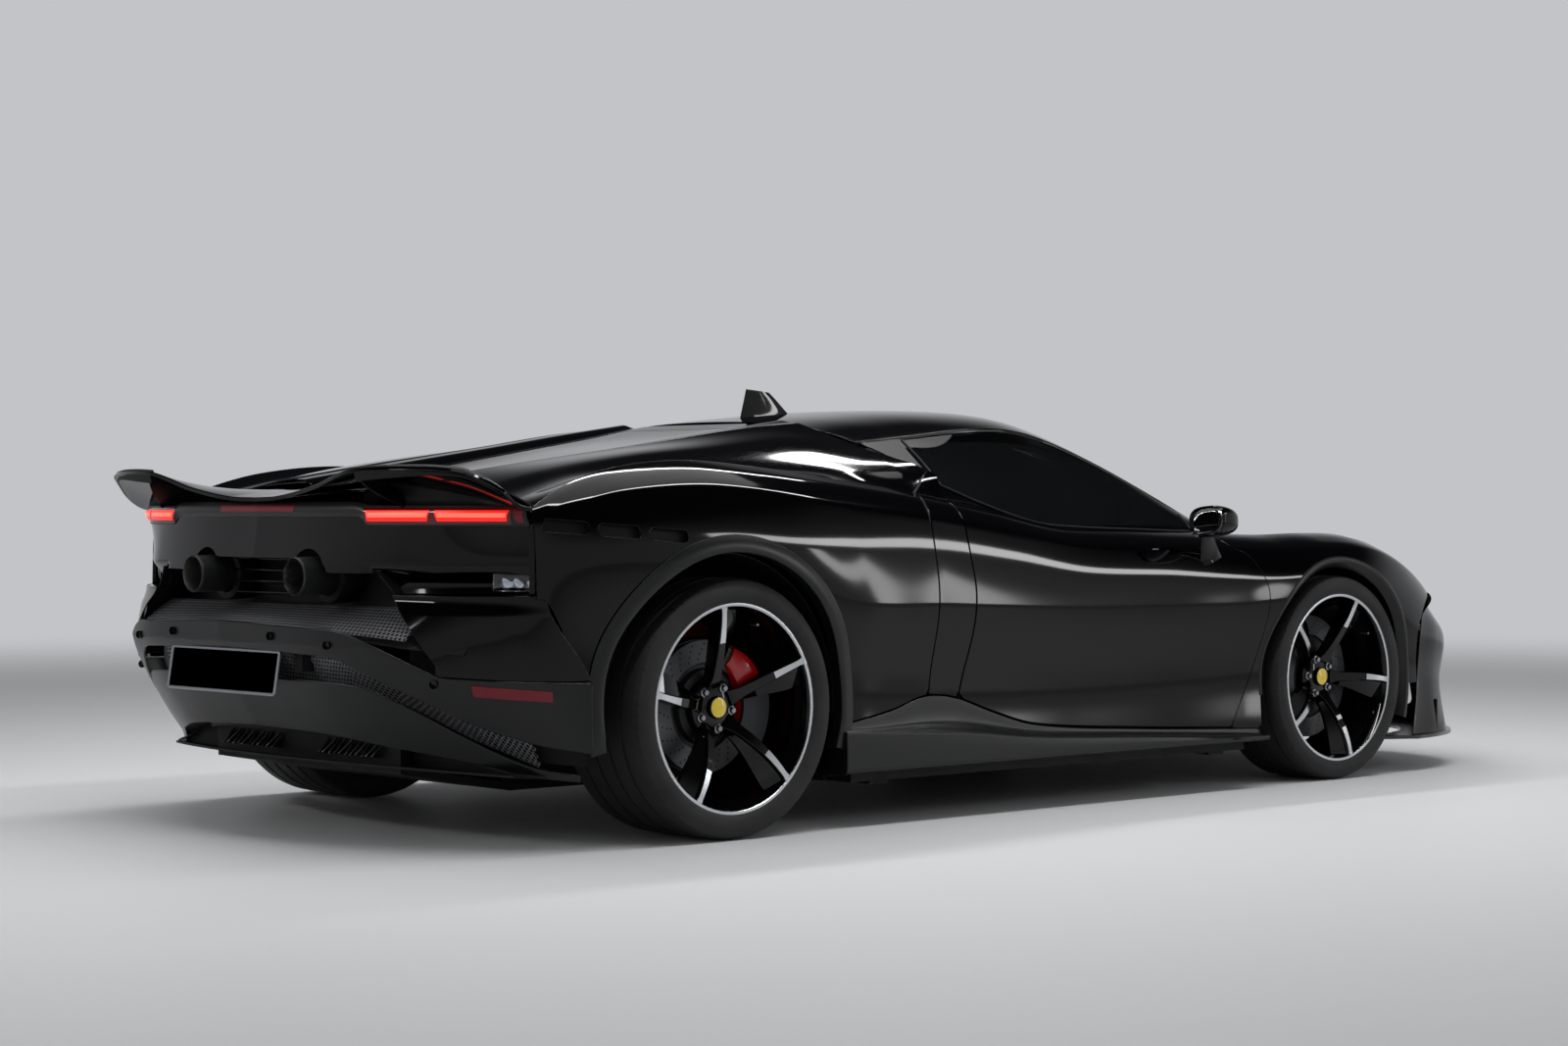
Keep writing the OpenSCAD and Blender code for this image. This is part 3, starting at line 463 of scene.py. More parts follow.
    def _close(self, p: Array, n: Array, faces: list[tuple[int, ...]]) -> Mesh:
        """Adds the rounded hem and the back."""
        edges = {(f[k], f[(k + 1) % len(f)]) for f in faces for k in range(len(f))}
        rim = [(a, b) for a, b in edges if (b, a) not in edges]
        out = np.zeros_like(p)
        last: dict[int, Array] = {}
        for a, b in rim:
            side = unit(np.cross(p[b] - p[a], n[a] + n[b]))
            for k in (a, b):
                if k in last:
                    both = last[k] + side
                    out[k] = both / max(1 + float(last[k] @ side), MIN_CORNER)
                else:
                    last[k] = side
                    out[k] = side
        ring = sorted({k for e in rim for k in e})
        place = {k: i for i, k in enumerate(ring)}
        rp, rn, ro = p[ring], n[ring], out[ring]
        mesh = Mesh()
        m, size = len(p), len(ring)
        points, normals = [p, p - n * self.thick], [n, -n]
        angles = [math.pi / 2 * (k + 1) / self.steps for k in range(self.steps)]
        for a in angles:
            points.append(rp + ro * self.hem * math.sin(a) - rn * self.hem * (1 - math.cos(a)))
            normals.append(unit(rn * math.cos(a) + ro * math.sin(a)))
        points.append(rp + ro * self.hem - rn * self.thick)
        normals.append(unit(ro))
        all_faces = list(faces) + [tuple(k + m for k in f[::-1]) for f in faces]
        levels = self.steps + 1

        def at(level: int, k: int) -> int:
            """Index of a rim point on one level of the hem."""
            return k if level < 0 else k + m if level == levels else 2 * m + level * size + place[k]

        for a, b in rim:
            for level in range(-1, levels):
                all_faces.append((at(level, b), at(level, a), at(level + 1, a), at(level + 1, b)))
        mesh.add(np.concatenate(points), all_faces, np.concatenate(normals))
        return mesh


def quads(shape: tuple[int, int], steps: tuple[int, int]) -> list[tuple[int, ...]]:
    """Four-sided faces over a grid of points that may close on itself.

    Args:
        shape: Rows and columns of the grid.
        steps: Rows and columns of faces; as many as the points close the grid.

    Returns:
        The faces.
    """
    rows, cols = shape
    return [(i * cols + j, i * cols + (j + 1) % cols, (i + 1) % rows * cols + (j + 1) % cols,
             (i + 1) % rows * cols + j) for i in range(steps[0]) for j in range(steps[1])]


def lathe(profile: Sequence[tuple[float, float]], count: int, close: bool = True) -> Mesh:
    """Turned piece about the Y axis.

    Args:
        profile: (radius, y) points in order.
        count: Number of steps round.
        close: True to join the last profile point to the first.

    Returns:
        Its mesh.
    """
    prof = np.array(profile, float)
    radius, along, a = prof[:, 0], prof[:, 1], full_turn(count)[:, None]
    m = len(prof)
    mesh = Mesh()
    mesh.add(stack(radius * np.cos(a), along, radius * np.sin(a)),
             quads((count, m), (count, m if close else m - 1)))
    return mesh


def loft(rings: Array, caps: bool = True) -> Mesh:
    """Skin over closed rings of points.

    Args:
        rings: Array of shape (rings, points, 3).
        caps: True to close both ends.

    Returns:
        Its mesh.
    """
    count, m = rings.shape[:2]
    faces = quads((count, m), (count - 1, m))
    if caps:
        faces += [tuple(range(m))[::-1], tuple((count - 1) * m + j for j in range(m))]
    mesh = Mesh()
    mesh.add(rings, faces)
    return mesh


def sweep(path: Array, section: Array, up: Point = (0, 0, 1), scale: Array | None = None) -> Mesh:
    """Section carried along a path.

    Args:
        path: Points of the path.
        section: (side, up) points of the closed section.
        up: Direction the section's second axis leans towards.
        scale: Size of the section at each point of the path.

    Returns:
        Its mesh.
    """
    path = np.asarray(path, float)
    section = np.asarray(section, float)
    t = unit(np.gradient(path, axis=0))
    side = unit(np.cross(t, np.array(up, float)))
    top = np.cross(side, t)
    size = np.ones(len(path)) if scale is None else scale
    rings = (path[:, None] + side[:, None] * section[None, :, :1] * size[:, None, None]
             + top[:, None] * section[None, :, 1:] * size[:, None, None])
    return loft(rings)


def circle(radius: float, count: int = 16) -> Array:
    """Round section."""
    a = full_turn(count)
    return np.stack([np.cos(a), np.sin(a)], -1) * radius


def rounded(width: float, height: float, radius: float, steps: int = 4) -> Array:
    """Oblong section with rounded corners, about its middle."""
    pts = []
    for cx, cy, a0 in ((1, 1, 0), (-1, 1, 90), (-1, -1, 180), (1, -1, 270)):
        for k in range(steps + 1):
            a = math.radians(a0 + 90 * k / steps)
            pts.append((cx * (width / 2 - radius) + radius * math.cos(a),
                        cy * (height / 2 - radius) + radius * math.sin(a)))
    return np.array(pts)


def prism(outline: Array, depth: float, edge: float = 1.0, axis: str = "y") -> Mesh:
    """Flat plate with softened edges.

    Args:
        outline: Its outline in the plane across the axis.
        depth: Its thickness, from 0 along the axis.
        edge: Size of the softened edge.
        axis: "x", "y" or "z".

    Returns:
        Its mesh.
    """
    outline = np.asarray(outline, float)
    d = np.roll(outline, -1, 0) - np.roll(outline, 1, 0)
    area = 0.5 * np.sum(outline[:, 0] * np.roll(outline[:, 1], -1)
                        - np.roll(outline[:, 0], -1) * outline[:, 1])
    n = unit(np.stack([d[:, 1], -d[:, 0]], -1)) * (1 if area > 0 else -1)
    rings = []
    for inset, level in ((edge, 0), (0, edge), (0, depth - edge), (edge, depth)):
        q = outline - n * inset
        w = np.full(len(q), level)
        order = {"x": (w, q[:, 0], q[:, 1]), "y": (q[:, 0], w, q[:, 1]), "z": (q[:, 0], q[:, 1], w)}
        rings.append(stack(*order[axis]))
    return loft(np.array(rings))


# ---------------------------------------------------------------- finishes


def linear(hex_code: str) -> tuple[float, float, float, float]:
    """Linear colour of an sRGB hex value such as "1a1b1c"."""
    parts = (int(hex_code[k:k + 2], 16) / 255 for k in (0, 2, 4))
    rgb = [c / 12.92 if c <= 0.04045 else ((c + 0.055) / 1.055) ** 2.4 for c in parts]
    return (rgb[0], rgb[1], rgb[2], 1.0)


def add_node(tree: bpy.types.NodeTree, kind: str, inputs: dict | None = None,
             **settings: object) -> bpy.types.Node:
    """Adds a node with its settings and links.

    Args:
        tree: The node tree.
        kind: Node type, such as "ShaderNodeTexNoise".
        inputs: Socket name or number to a value, or to an output socket to link.
        **settings: Properties of the node.

    Returns:
        The node.
    """
    node = tree.nodes.new(kind)
    for key, value in settings.items():
        setattr(node, key, value)
    for key, value in (inputs or {}).items():
        if isinstance(value, bpy.types.NodeSocket):
            tree.links.new(value, node.inputs[key])
        else:
            node.inputs[key].default_value = value
    return node


def empty_tree(owner: bpy.types.Material | bpy.types.World) -> bpy.types.NodeTree:
    """Node tree of a material or world, cleared."""
    owner.use_nodes = True
    owner.node_tree.nodes.clear()
    return owner.node_tree


# How much longer brush marks are than they are wide
BRUSH_STRETCH = 14.0
# The wave texture counts in radians, about this many to a band
WAVE_TURN = 6.28
# Patches of uneven finish, so many to the metre
PATCHES = 9.0
# Share of the relief's height that shading shows
RELIEF = 0.5


class Grain(Enum):
    """Surface structure a finish may have."""

    NONE = "none"
    MOULDED = "moulded"
    BRUSHED = "brushed"
    CAST = "cast"
    HIDE = "hide"
    WEAVE = "weave"
    CERAMIC = "ceramic"
    RUBBER = "rubber"


@dataclass(frozen=True)
class Finish:
    """A real material and how its surface was made. Pattern sizes are in millimetres."""

    name: str
    colour: str
    rough: float = 0.4
    metal: float = 0.0
    ior: float = 1.5
    coat: float = 0.0
    coat_rough: float = 0.03
    grain: Grain = Grain.NONE
    size_mm: float = 1.0
    depth: float = 0.1
    vary: float = 0.0
    clear: float = 0.0
    glow: str = ""
    power: float = 0.0
    sheen: float = 0.0
    opacity: float = 1.0
    specular: float = 0.5
    coat_ior: float = 1.5

    def material(self) -> bpy.types.Material:
        """The Blender material, made once."""
        found = bpy.data.materials.get(self.name)
        if found:
            return found
        mat = bpy.data.materials.new(self.name)
        tree = empty_tree(mat)
        out = add_node(tree, "ShaderNodeOutputMaterial")
        rgb = linear(self.colour)
        shader = add_node(tree, "ShaderNodeBsdfPrincipled", {
            "Base Color": rgb, "Roughness": self.rough, "Metallic": self.metal,
            "IOR": self.ior, "Coat Weight": self.coat, "Coat Roughness": self.coat_rough,
            "Transmission Weight": self.clear, "Sheen Weight": self.sheen,
            "Alpha": self.opacity, "Specular IOR Level": self.specular,
            "Coat IOR": self.coat_ior})
        if self.glow:
            shader.inputs["Emission Color"].default_value = linear(self.glow)
            shader.inputs["Emission Strength"].default_value = self.power
        if self.grain is not Grain.NONE:
            self._structure(tree, shader, rgb)
        tree.links.new(shader.outputs[0], out.inputs[0])
        mat.diffuse_color = rgb
        return mat

    def _structure(self, tree: bpy.types.NodeTree, shader: bpy.types.Node,
                   rgb: tuple[float, float, float, float]) -> None:
        """Adds the surface structure in colour, roughness and relief.

        Args:
            tree: The material's nodes.
            shader: Its surface shader.
            rgb: Its linear base colour.
        """
        place = add_node(tree, "ShaderNodeTexCoord").outputs["Object"]
        per_metre = 1.0 / (self.size_mm * MM)
        stretch = (1.0, 1.0, BRUSH_STRETCH if self.grain is Grain.BRUSHED else 1.0)
        spot = add_node(tree, "ShaderNodeMapping", {"Vector": place, "Scale": stretch}).outputs[0]
        if self.grain in (Grain.HIDE, Grain.CERAMIC):
            fine = add_node(tree, "ShaderNodeTexVoronoi", {"Vector": spot, "Scale": per_metre})
            level = fine.outputs["Distance"]
        elif self.grain is Grain.WEAVE:
            waves = {"Vector": spot, "Scale": per_metre / WAVE_TURN}
            bands = [add_node(tree, "ShaderNodeTexWave", waves, wave_type="BANDS",
                              bands_direction=axis) for axis in ("X", "Z")]
            level = add_node(tree, "ShaderNodeMath", {
                0: bands[0].outputs[1], 1: bands[1].outputs[1]}, operation="MAXIMUM").outputs[0]
        else:
            fine = add_node(tree, "ShaderNodeTexNoise", {
                "Vector": spot, "Scale": per_metre, "Detail": 3.0, "Roughness": 0.55})
            level = fine.outputs[0]
        wide = add_node(tree, "ShaderNodeTexNoise", {
            "Vector": place, "Scale": PATCHES, "Detail": 4.0}).outputs[0]
        shade = add_node(tree, "ShaderNodeMapRange", {
            "Value": wide, "From Min": 0.3, "From Max": 0.7,
            "To Min": 1 - self.vary, "To Max": 1 + self.vary}).outputs[0]
        if self.vary:
            colour = add_node(tree, "ShaderNodeVectorMath", {
                0: rgb[:3], "Scale": shade}, operation="SCALE").outputs[0]
            tree.links.new(colour, shader.inputs["Base Color"])
            rough = add_node(tree, "ShaderNodeMath", {0: shade, 1: self.rough},
                             operation="MULTIPLY").outputs[0]
            tree.links.new(rough, shader.inputs["Roughness"])
        relief = add_node(tree, "ShaderNodeBump", {
            "Strength": RELIEF, "Distance": self.depth * MM, "Height": level}).outputs[0]
        tree.links.new(relief, shader.inputs["Normal"])


# Black solid-colour car paint under clear lacquer, flatted and polished: a deep mirror
PAINT = Finish("black_car_paint_lacquered", "010102", rough=0.3, coat=0.9, coat_rough=0.06,
               specular=0.0, coat_ior=1.34)
# Glass-filled polypropylene, moulded in satin black: a soft sheen with no mirror
SATIN = Finish("satin_black_moulded_polypropylene", "0c0d0e", rough=0.34, ior=1.45,
               grain=Grain.MOULDED, size_mm=1.2, depth=0.02, vary=0.06, specular=0.4)
# Same plastic with a coarse mould grain, for ducts and liners that should stay dark
DULL = Finish("dull_black_grained_polypropylene", "080809", rough=0.62, ior=1.49,
              grain=Grain.MOULDED, size_mm=1.6, depth=0.05, vary=0.1, specular=0.25)
# Perforated steel sheet, powder coated: greyer than the plastic as a painted highlight of its lit
# edges
PERFORATED_PAINTED_HIGHLIGHT = Finish("perforated_steel_painted_edge_highlight", "747578", rough=0.34, metal=0.2)
# Gloss black ABS, injection moulded and polished
PIANO = Finish("piano_black_polished_abs", "030304", rough=0.06, ior=1.45, specular=0.35)
# Carbon-fibre twill under satin lacquer; its 2 mm tow is drawn 4 mm wide to show
CARBON = Finish("carbon_fibre_twill_satin_lacquer", "0f1011", rough=0.32, coat=0.5,
                coat_rough=0.12, grain=Grain.WEAVE, size_mm=4.0, depth=0.03, vary=0.1)
# Tyre rubber, vulcanised in a steel mould: matt with a faint bloom
RUBBER = Finish("tyre_rubber_vulcanised", "101011", rough=0.72, ior=1.52, grain=Grain.RUBBER,
                size_mm=1.5, depth=0.05, vary=0.12)
# Forged aluminium wheel in gloss black enamel
WHEEL = Finish("forged_aluminium_gloss_black_enamel", "040405", rough=0.3, coat=0.9,
               coat_rough=0.04, specular=0.0, coat_ior=1.4)
# Diamond-turned aluminium under lacquer: bright, with fine turning marks
TURNED = Finish("diamond_turned_aluminium_lacquered", "c9cbcd", rough=0.26, metal=1.0,
                grain=Grain.BRUSHED, size_mm=0.8, depth=0.01, vary=0.05)
# Caliper casting in red heat-cured enamel
CALIPER = Finish("cast_aluminium_red_enamel", "c4090b", rough=0.24, coat=0.7, coat_rough=0.06,
                 grain=Grain.CAST, size_mm=2.5, depth=0.02, vary=0.04)
# Carbon-ceramic brake disc: dark grey with a speckled cut face
CERAMIC = Finish("carbon_ceramic_disc", "4a4b4d", rough=0.46, metal=0.25, ior=1.6,
                 grain=Grain.CERAMIC, size_mm=3.0, depth=0.04, vary=0.2)
# Zinc-plated steel, machined
STEEL = Finish("machined_steel_zinc_plated", "8f9194", rough=0.32, metal=1.0,
               grain=Grain.BRUSHED, size_mm=0.8, depth=0.01, vary=0.08)
# Forged steel arms in dark powder coat
ARM = Finish("forged_steel_dark_powder_coat", "232426", rough=0.5, metal=0.3, grain=Grain.CAST,
             size_mm=2.0, depth=0.05, vary=0.1)
# Ceramic-coated stainless exhaust tube: matt black outside
COATED = Finish("stainless_tube_matt_black_ceramic", "1b1c1d", rough=0.5, grain=Grain.CAST,
                size_mm=1.5, depth=0.03, vary=0.08)
# Bare stainless steel, rolled, seen inside the exhaust tips
STAINLESS = Finish("stainless_steel_rolled", "9c9a98", rough=0.28, metal=1.0,
                   grain=Grain.BRUSHED, depth=0.02, vary=0.15)
# Anodised aluminium trim
TRIM = Finish("anodised_aluminium_dark", "55575a", rough=0.28, metal=1.0)
# Chromed ABS reflectors in the lamps
CHROME = Finish("chromed_abs", "dfe1e4", rough=0.16, metal=1.0)
# Enamelled wheel-cap disc in plain yellow
YELLOW = Finish("yellow_vitreous_enamel", "e8c81e", rough=0.2, coat=0.8)
# Laminated windscreen, and tempered glass of doors and engine window: both lightly tinted
SCREEN = Finish("laminated_glass_tinted", "5d6264", rough=0.0, ior=1.45, clear=1.0)
SIDE = Finish("tempered_glass_tinted", "4d5254", rough=0.0, ior=1.45, clear=1.0)
# Privacy glass in the quarters, dark enough to hide the trim behind it
PRIVACY = Finish("privacy_glass_dark", "1d1f21", rough=0.0, ior=1.45, clear=1.0)
# Polycarbonate lamp covers, hard coated
COVER = Finish("polycarbonate_clear_cover", "e6eaee", rough=0.02, ior=1.45, clear=1.0)
# Opal acrylic light guide, unlit
OPAL = Finish("opal_acrylic_light_guide", "c9cdd0", rough=0.25, ior=1.49)
# Red acrylic of the unlit lamp lens, and darker acrylic with prisms for reflectors
RED_COVER = Finish("acrylic_red_lens", "5a0306", rough=0.08, ior=1.49, coat=0.4, coat_rough=0.02,
                   specular=0.3)
DARK_RED = Finish("acrylic_dark_red_reflex", "6a0a18", rough=0.3, ior=1.49, coat=0.3,
                  coat_rough=0.05, grain=Grain.HIDE, size_mm=3.0, depth=0.2, specular=0.2)
# Lit light guides in the tail lamps: red, with a paler core where the diodes sit
LIT_RED = Finish("lit_red_light_guide", "c80c08", rough=0.3, glow="f01008", power=1.3)
LIT_CORE = Finish("lit_red_light_guide_core", "ff6048", rough=0.3, glow="ff4a38", power=1.9)
# Blank number plate: matt black acrylic face
PLATE = Finish("black_acrylic_plate", "000001", rough=0.5, ior=1.49, specular=0.0)
# Cabin trims: aniline-dyed hide, suede of microfibre, and carpet of cut pile
HIDE = Finish("aniline_hide_black", "131314", rough=0.48, ior=1.45, grain=Grain.HIDE,
              size_mm=2.2, depth=0.12, vary=0.1, sheen=0.1)
SUEDE = Finish("microfibre_suede_charcoal", "1b1b1d", rough=0.85, ior=1.45, grain=Grain.MOULDED,
               depth=0.05, vary=0.12, sheen=0.4)
CARPET = Finish("cut_pile_carpet_black", "121213", rough=0.95, ior=1.45, grain=Grain.RUBBER,
                size_mm=3.0, depth=0.8, vary=0.15, sheen=0.3)
# Display glass with nothing on it
SCREENFACE = Finish("display_glass_off", "030305", rough=0.06, ior=1.52, coat=0.8,
                    coat_rough=0.02)
# Engine: red crackle-finish plenum and bare alloy
CRACKLE = Finish("crackle_paint_red", "8e1410", rough=0.55, grain=Grain.HIDE, size_mm=3.5,
                 depth=0.5, vary=0.08)
ALLOY = Finish("sand_cast_aluminium", "8b8d8f", rough=0.5, metal=1.0, grain=Grain.CAST,
               size_mm=2.0, depth=0.15, vary=0.12)
# Mirror glass, silvered behind
MIRROR = Finish("silvered_mirror_glass", "d8dadc", rough=0.01, metal=1.0)


# ---------------------------------------------------------------- lines of the body


@dataclass(frozen=True)
class BodyLines:
    """The body's main lines for its left half, in mm, and the surfaces they carry.

    X runs forward from mid-length, Y to the left and Z up from the ground.
    """

    crest: Curve = Curve((
        (-2020, (895, 868)), (-1887, (858, 929)), (-1700, (828, 982)), (-1440, (815, 1007)),
        (-1182, (815, 993)), (-881, (818, 961)), (-565, (820, 923)), (-250, (812, 876)),
        (67, (806, 824)), (476, (802, 806)), (760, (790, 800)), (1037, (775, 793)),
        (1265, (778, 797)), (1485, (772, 790)), (1640, (760, 758)), (1800, (730, 700)),
        (1950, (690, 625)), (2090, (610, 548)), (2190, (470, 500)), (2245, (240, 474)),
        (2258, (0, 466))))
    waist: Curve = Curve((
        (-2020, (915, 720)), (-1900, (948, 745)), (-1740, (975, 752)), (-1560, (984, 752)),
        (-1375, (986, 745)), (-1150, (984, 700)), (-900, (972, 640)), (-560, (950, 620)),
        (0, (932, 600)), (476, (932, 600)), (800, (945, 605)), (1100, (965, 635)),
        (1265, (970, 640)), (1450, (966, 620)), (1640, (942, 570)), (1800, (905, 520)),
        (1950, (850, 470)), (2090, (760, 440)), (2200, (620, 425)), (2290, (380, 410)),
        (2325, (0, 405))))
    tuck: Curve = Curve((
        (-2020, (925, 520)), (-1000, (950, 420)), (-560, (920, 400)), (0, (903, 385)),
        (476, (905, 385)), (800, (918, 390)), (1265, (950, 400)), (1640, (935, 360)),
        (1800, (905, 330)), (1950, (845, 310)), (2090, (745, 295)), (2200, (600, 285)),
        (2280, (370, 280)), (2310, (0, 275))))
    side_edge: Curve = Curve((
        (-1000, 282), (-760, 318), (-619, 350), (-488, 340), (-329, 292), (-150, 248),
        (300, 215), (900, 186)))
    door_rear: Curve = Curve((
        (280, -500), (344, -475), (482, -439), (633, -429), (768, -438), (877, -434),
        (950, -424)))
    door_front: Curve = Curve((
        (180, 735), (206, 750), (329, 824), (421, 866), (528, 892), (622, 896), (696, 868),
        (735, 835), (752, 790), (800, 762)))
    post_front: Curve = Curve((
        (280, -617), (350, -606), (482, -594), (633, -590), (768, -590), (860, -583),
        (914, -566), (950, -556)))
    wing_edge: Curve = Curve(((700, 194), (900, 190), (1640, 296), (1760, 300)))
    wing_front: Curve = Curve((
        (300, 1708), (470, 1712), (530, 1760), (585, 1900), (612, 1972), (650, 1980)))
    belt: Curve = Curve((
        (-430, (779, 949)), (-246, (780, 893)), (-60, (782, 845)), (67, (782, 826)),
        (476, (778, 811)), (739, (768, 804)), (880, (728, 803))))
    rail: Curve = Curve((
        (-820, (560, 1068)), (-600, (590, 1070)), (-384, (606, 1090)), (-150, (610, 1114)),
        (60, (604, 1116)), (243, (582, 1090)), (460, (608, 1015)), (670, (655, 918)),
        (880, (722, 803))))
    roof_mid: Curve = Curve((
        (-640, 1140), (-450, 1160), (-200, 1180), (20, 1186), (200, 1180), (340, 1160),
        (540, 1105), (760, 1020), (960, 918), (1175, 796)))
    bonnet_edge: Curve = Curve((
        (880, (640, 800)), (1190, (585, 786)), (1450, (560, 762)), (1700, (525, 708)),
        (1900, (480, 640)), (2080, (420, 560))))
    bonnet_mid: Curve = Curve((
        (1100, 800), (1190, 788), (1400, 760), (1650, 704), (1880, 632), (2080, 556),
        (2245, 480)))
    deck_edge: Curve = Curve((
        (-2080, (330, 930)), (-1900, (350, 962)), (-1684, (375, 996)), (-1193, (405, 1062)),
        (-886, (425, 1106)), (-640, (440, 1130))))
    deck_mid: Curve = Curve((
        (-2080, 905), (-1900, 930), (-1600, 968), (-1200, 1035), (-886, 1085), (-640, 1136)))
    flank: Curve = Curve((
        (-2000, (560, 912)), (-1700, (545, 982)), (-1370, (560, 1028)), (-1100, (572, 1050)),
        (-800, (590, 1066)), (-560, (610, 1060))))
    valley: Curve = Curve((
        (-2000, (750, 888)), (-1700, (715, 958)), (-1370, (725, 982)), (-1100, (738, 984)),
        (-800, (748, 986)), (-560, (765, 985))))
    tail_plan: Curve = Curve((
        (0, -2240), (300, -2228), (520, -2196), (700, -2140), (840, -2065), (915, -2000)))
    tail_lean: Curve = Curve(((590, -46), (700, -18), (800, 0), (900, 10)))
    corner_lean: Curve = Curve(((590, -6), (650, 2), (690, 18), (760, 26), (868, 2)))
    pocket_d: float = 44.0
    duck_edge: Curve = Curve((
        (0, 908), (120, 912), (300, 938), (430, 970), (506, 982), (700, 984), (835, 974),
        (880, 950), (910, 922), (945, 886)))
    duck_plan: Curve = Curve((
        (0, -2244), (300, -2256), (506, -2263), (700, -2228), (835, -2172), (880, -2130),
        (912, -2090), (945, -2060)))
    bumper_plan: Curve = Curve((
        (0, (-2355, 0)), (0.3, (-2340, 350)), (0.48, (-2303, 510)), (0.62, (-2232, 660)),
        (0.75, (-2155, 780)), (0.88, (-2035, 892)), (1, (-1862, 960))))
    bumper_top: Curve = Curve((
        (0, 578), (0.3, 566), (0.48, 554), (0.68, 452), (0.77, 441), (0.93, 432), (1, 430)))
    bumper_foot: Curve = Curve(((0, 268), (0.4, 254), (0.7, 222), (1, 196)))
    bumper_waist: float = 527.0
    front_arch: Point = (1265.0, 0.0, 330.5)
    rear_arch: Point = (-1392.0, 0.0, 348.0)
    front_arch_r: float = 382.5
    rear_arch_r: float = 415.0

    def side_y(self, x: Array, z: Array) -> Array:
        """Distance of the body's side from the middle at a station and height."""
        x, z = np.broadcast_arrays(np.asarray(x, float), np.asarray(z, float))
        c, w, k = self.crest(x), self.waist(x), self.tuck(x)
        pos = np.stack([k[..., 1] - 230, k[..., 1], w[..., 1], mix(w[..., 1], c[..., 1], 0.72),
                        mix(w[..., 1], c[..., 1], 0.93), c[..., 1]])
        val = np.stack([k[..., 0] + 8, k[..., 0], w[..., 0], mix(w[..., 0], c[..., 0], 0.3),
                        mix(w[..., 0], c[..., 0], 0.68), c[..., 0]])
        return rows_at(pos, val, z)

    def side(self, x: Array, z: Array) -> Array:
        """Point of the body's side at a station and height."""
        return stack(x, self.side_y(x, z), z)

    def canopy(self, u: Array, v: Array) -> Array:
        """Roof and windscreen.

        Args:
            u: 0 at the engine lid, 1 at the windscreen's foot.
            v: -1 to 1 across the car.

        Returns:
            The points.
        """
        xa, xm, w = mix(-575, 880, u), mix(-640, 1175, u), np.abs(v)
        a, zm = self.rail(xa), self.roof_mid(xm)
        return stack(mix(xm, xa, w**2), a[..., 0] * v,
                     mix(zm, a[..., 1], 0.35 * w**2 + 0.65 * w**4))

    def side_glass(self, x: Array, w: Array) -> Array:
        """Side glass from the roof rail (w = 0) to the belt (w = 1)."""
        r, b = self.rail(x), self.belt(x)
        return stack(x, mix(r[..., 0], b[..., 0], w) + 30 * w * (1 - w),
                     mix(r[..., 1], b[..., 1], w))

    def tail(self, y: Array, z: Array) -> Array:
        """Rear face of the tail at a distance from the middle and a height."""
        w = np.abs(y)
        lean = mix(self.tail_lean(z), self.corner_lean(z), smooth((w - 560) / 300))
        return stack(self.tail_plan(w) + lean, y, z)

    def bumper_at(self, u: Array, z: Array) -> Array:
        """Face of the rear bumper at a station and a height; it tucks under below its waist."""
        w = np.abs(u)
        p = self.bumper_plan(w)
        k = np.maximum(0, self.bumper_waist - z) * (1 - w**8)
        return stack(p[..., 0] + 0.3 * k + 0.0009 * k**2,
                     p[..., 1] * np.sign(u) * (1 - 0.0002 * k), z)

    def duck(self, y: Array, t: Array) -> Array:
        """Ducktail from its root (t = 0) to its trailing edge (t = 1)."""
        w = np.abs(y)
        x0, x1 = -1916 - 110 * (w / 945) ** 3, self.duck_plan(w)
        z0 = mix(self.deck_mid(-1900.0), 872, (w / 945) ** 2)
        return stack(mix(x0, x1, t), y, mix(z0 + 6, self.duck_edge(w), t**2))

    def deck(self, x: Array, v: Array) -> Array:
        """Engine lid between the edges of the rear deck."""
        e = self.deck_edge(x)
        return stack(x, (e[..., 0] - 6) * v,
                     mix(self.deck_mid(x), e[..., 1], np.abs(v) ** 3))


LINES = BodyLines()
# Half the distance over which a seam's slope is measured, in mm
LEAN_STEP = 2.0


def circle_trim(centre: Point, radius: float) -> Trim:
    """Keeps what lies outside a wheel arch, and nothing below it."""
    def trim(p: Array) -> Array:
        """Distance outside the opening."""
        dx, dz = p[:, 0] - centre[0], p[:, 2] - centre[2]
        up = np.hypot(dx, np.maximum(dz, 0))
        return up - radius
    return trim


def above(curve: Curve, gap: float) -> Trim:
    """Keeps what lies above a line drawn along the car."""
    return lambda p: p[:, 2] - curve(p[:, 0]) - gap


def beyond(curve: Curve, along: int, across: int, sign: float, gap: float = 0.0) -> Trim:
    """Keeps one side of a drawn seam.

    Args:
        curve: Seam as position along one axis to position along another.
        along: Axis the curve is looked up by.
        across: Axis its value lies on.
        sign: 1 to keep larger values, -1 to keep smaller ones.
        gap: Distance kept from the seam.

    Returns:
        The trim.
    """
    def trim(p: Array) -> Array:
        """Distance inside the seam."""
        at, e = p[:, along], LEAN_STEP
        s = curve(at)
        lean = (curve(at + e) - curve(at - e)) / (2 * e)
        return ((p[:, across] - s) * sign) / np.sqrt(1 + lean**2) - gap
    return trim


# ---------------------------------------------------------------- putting pieces in place


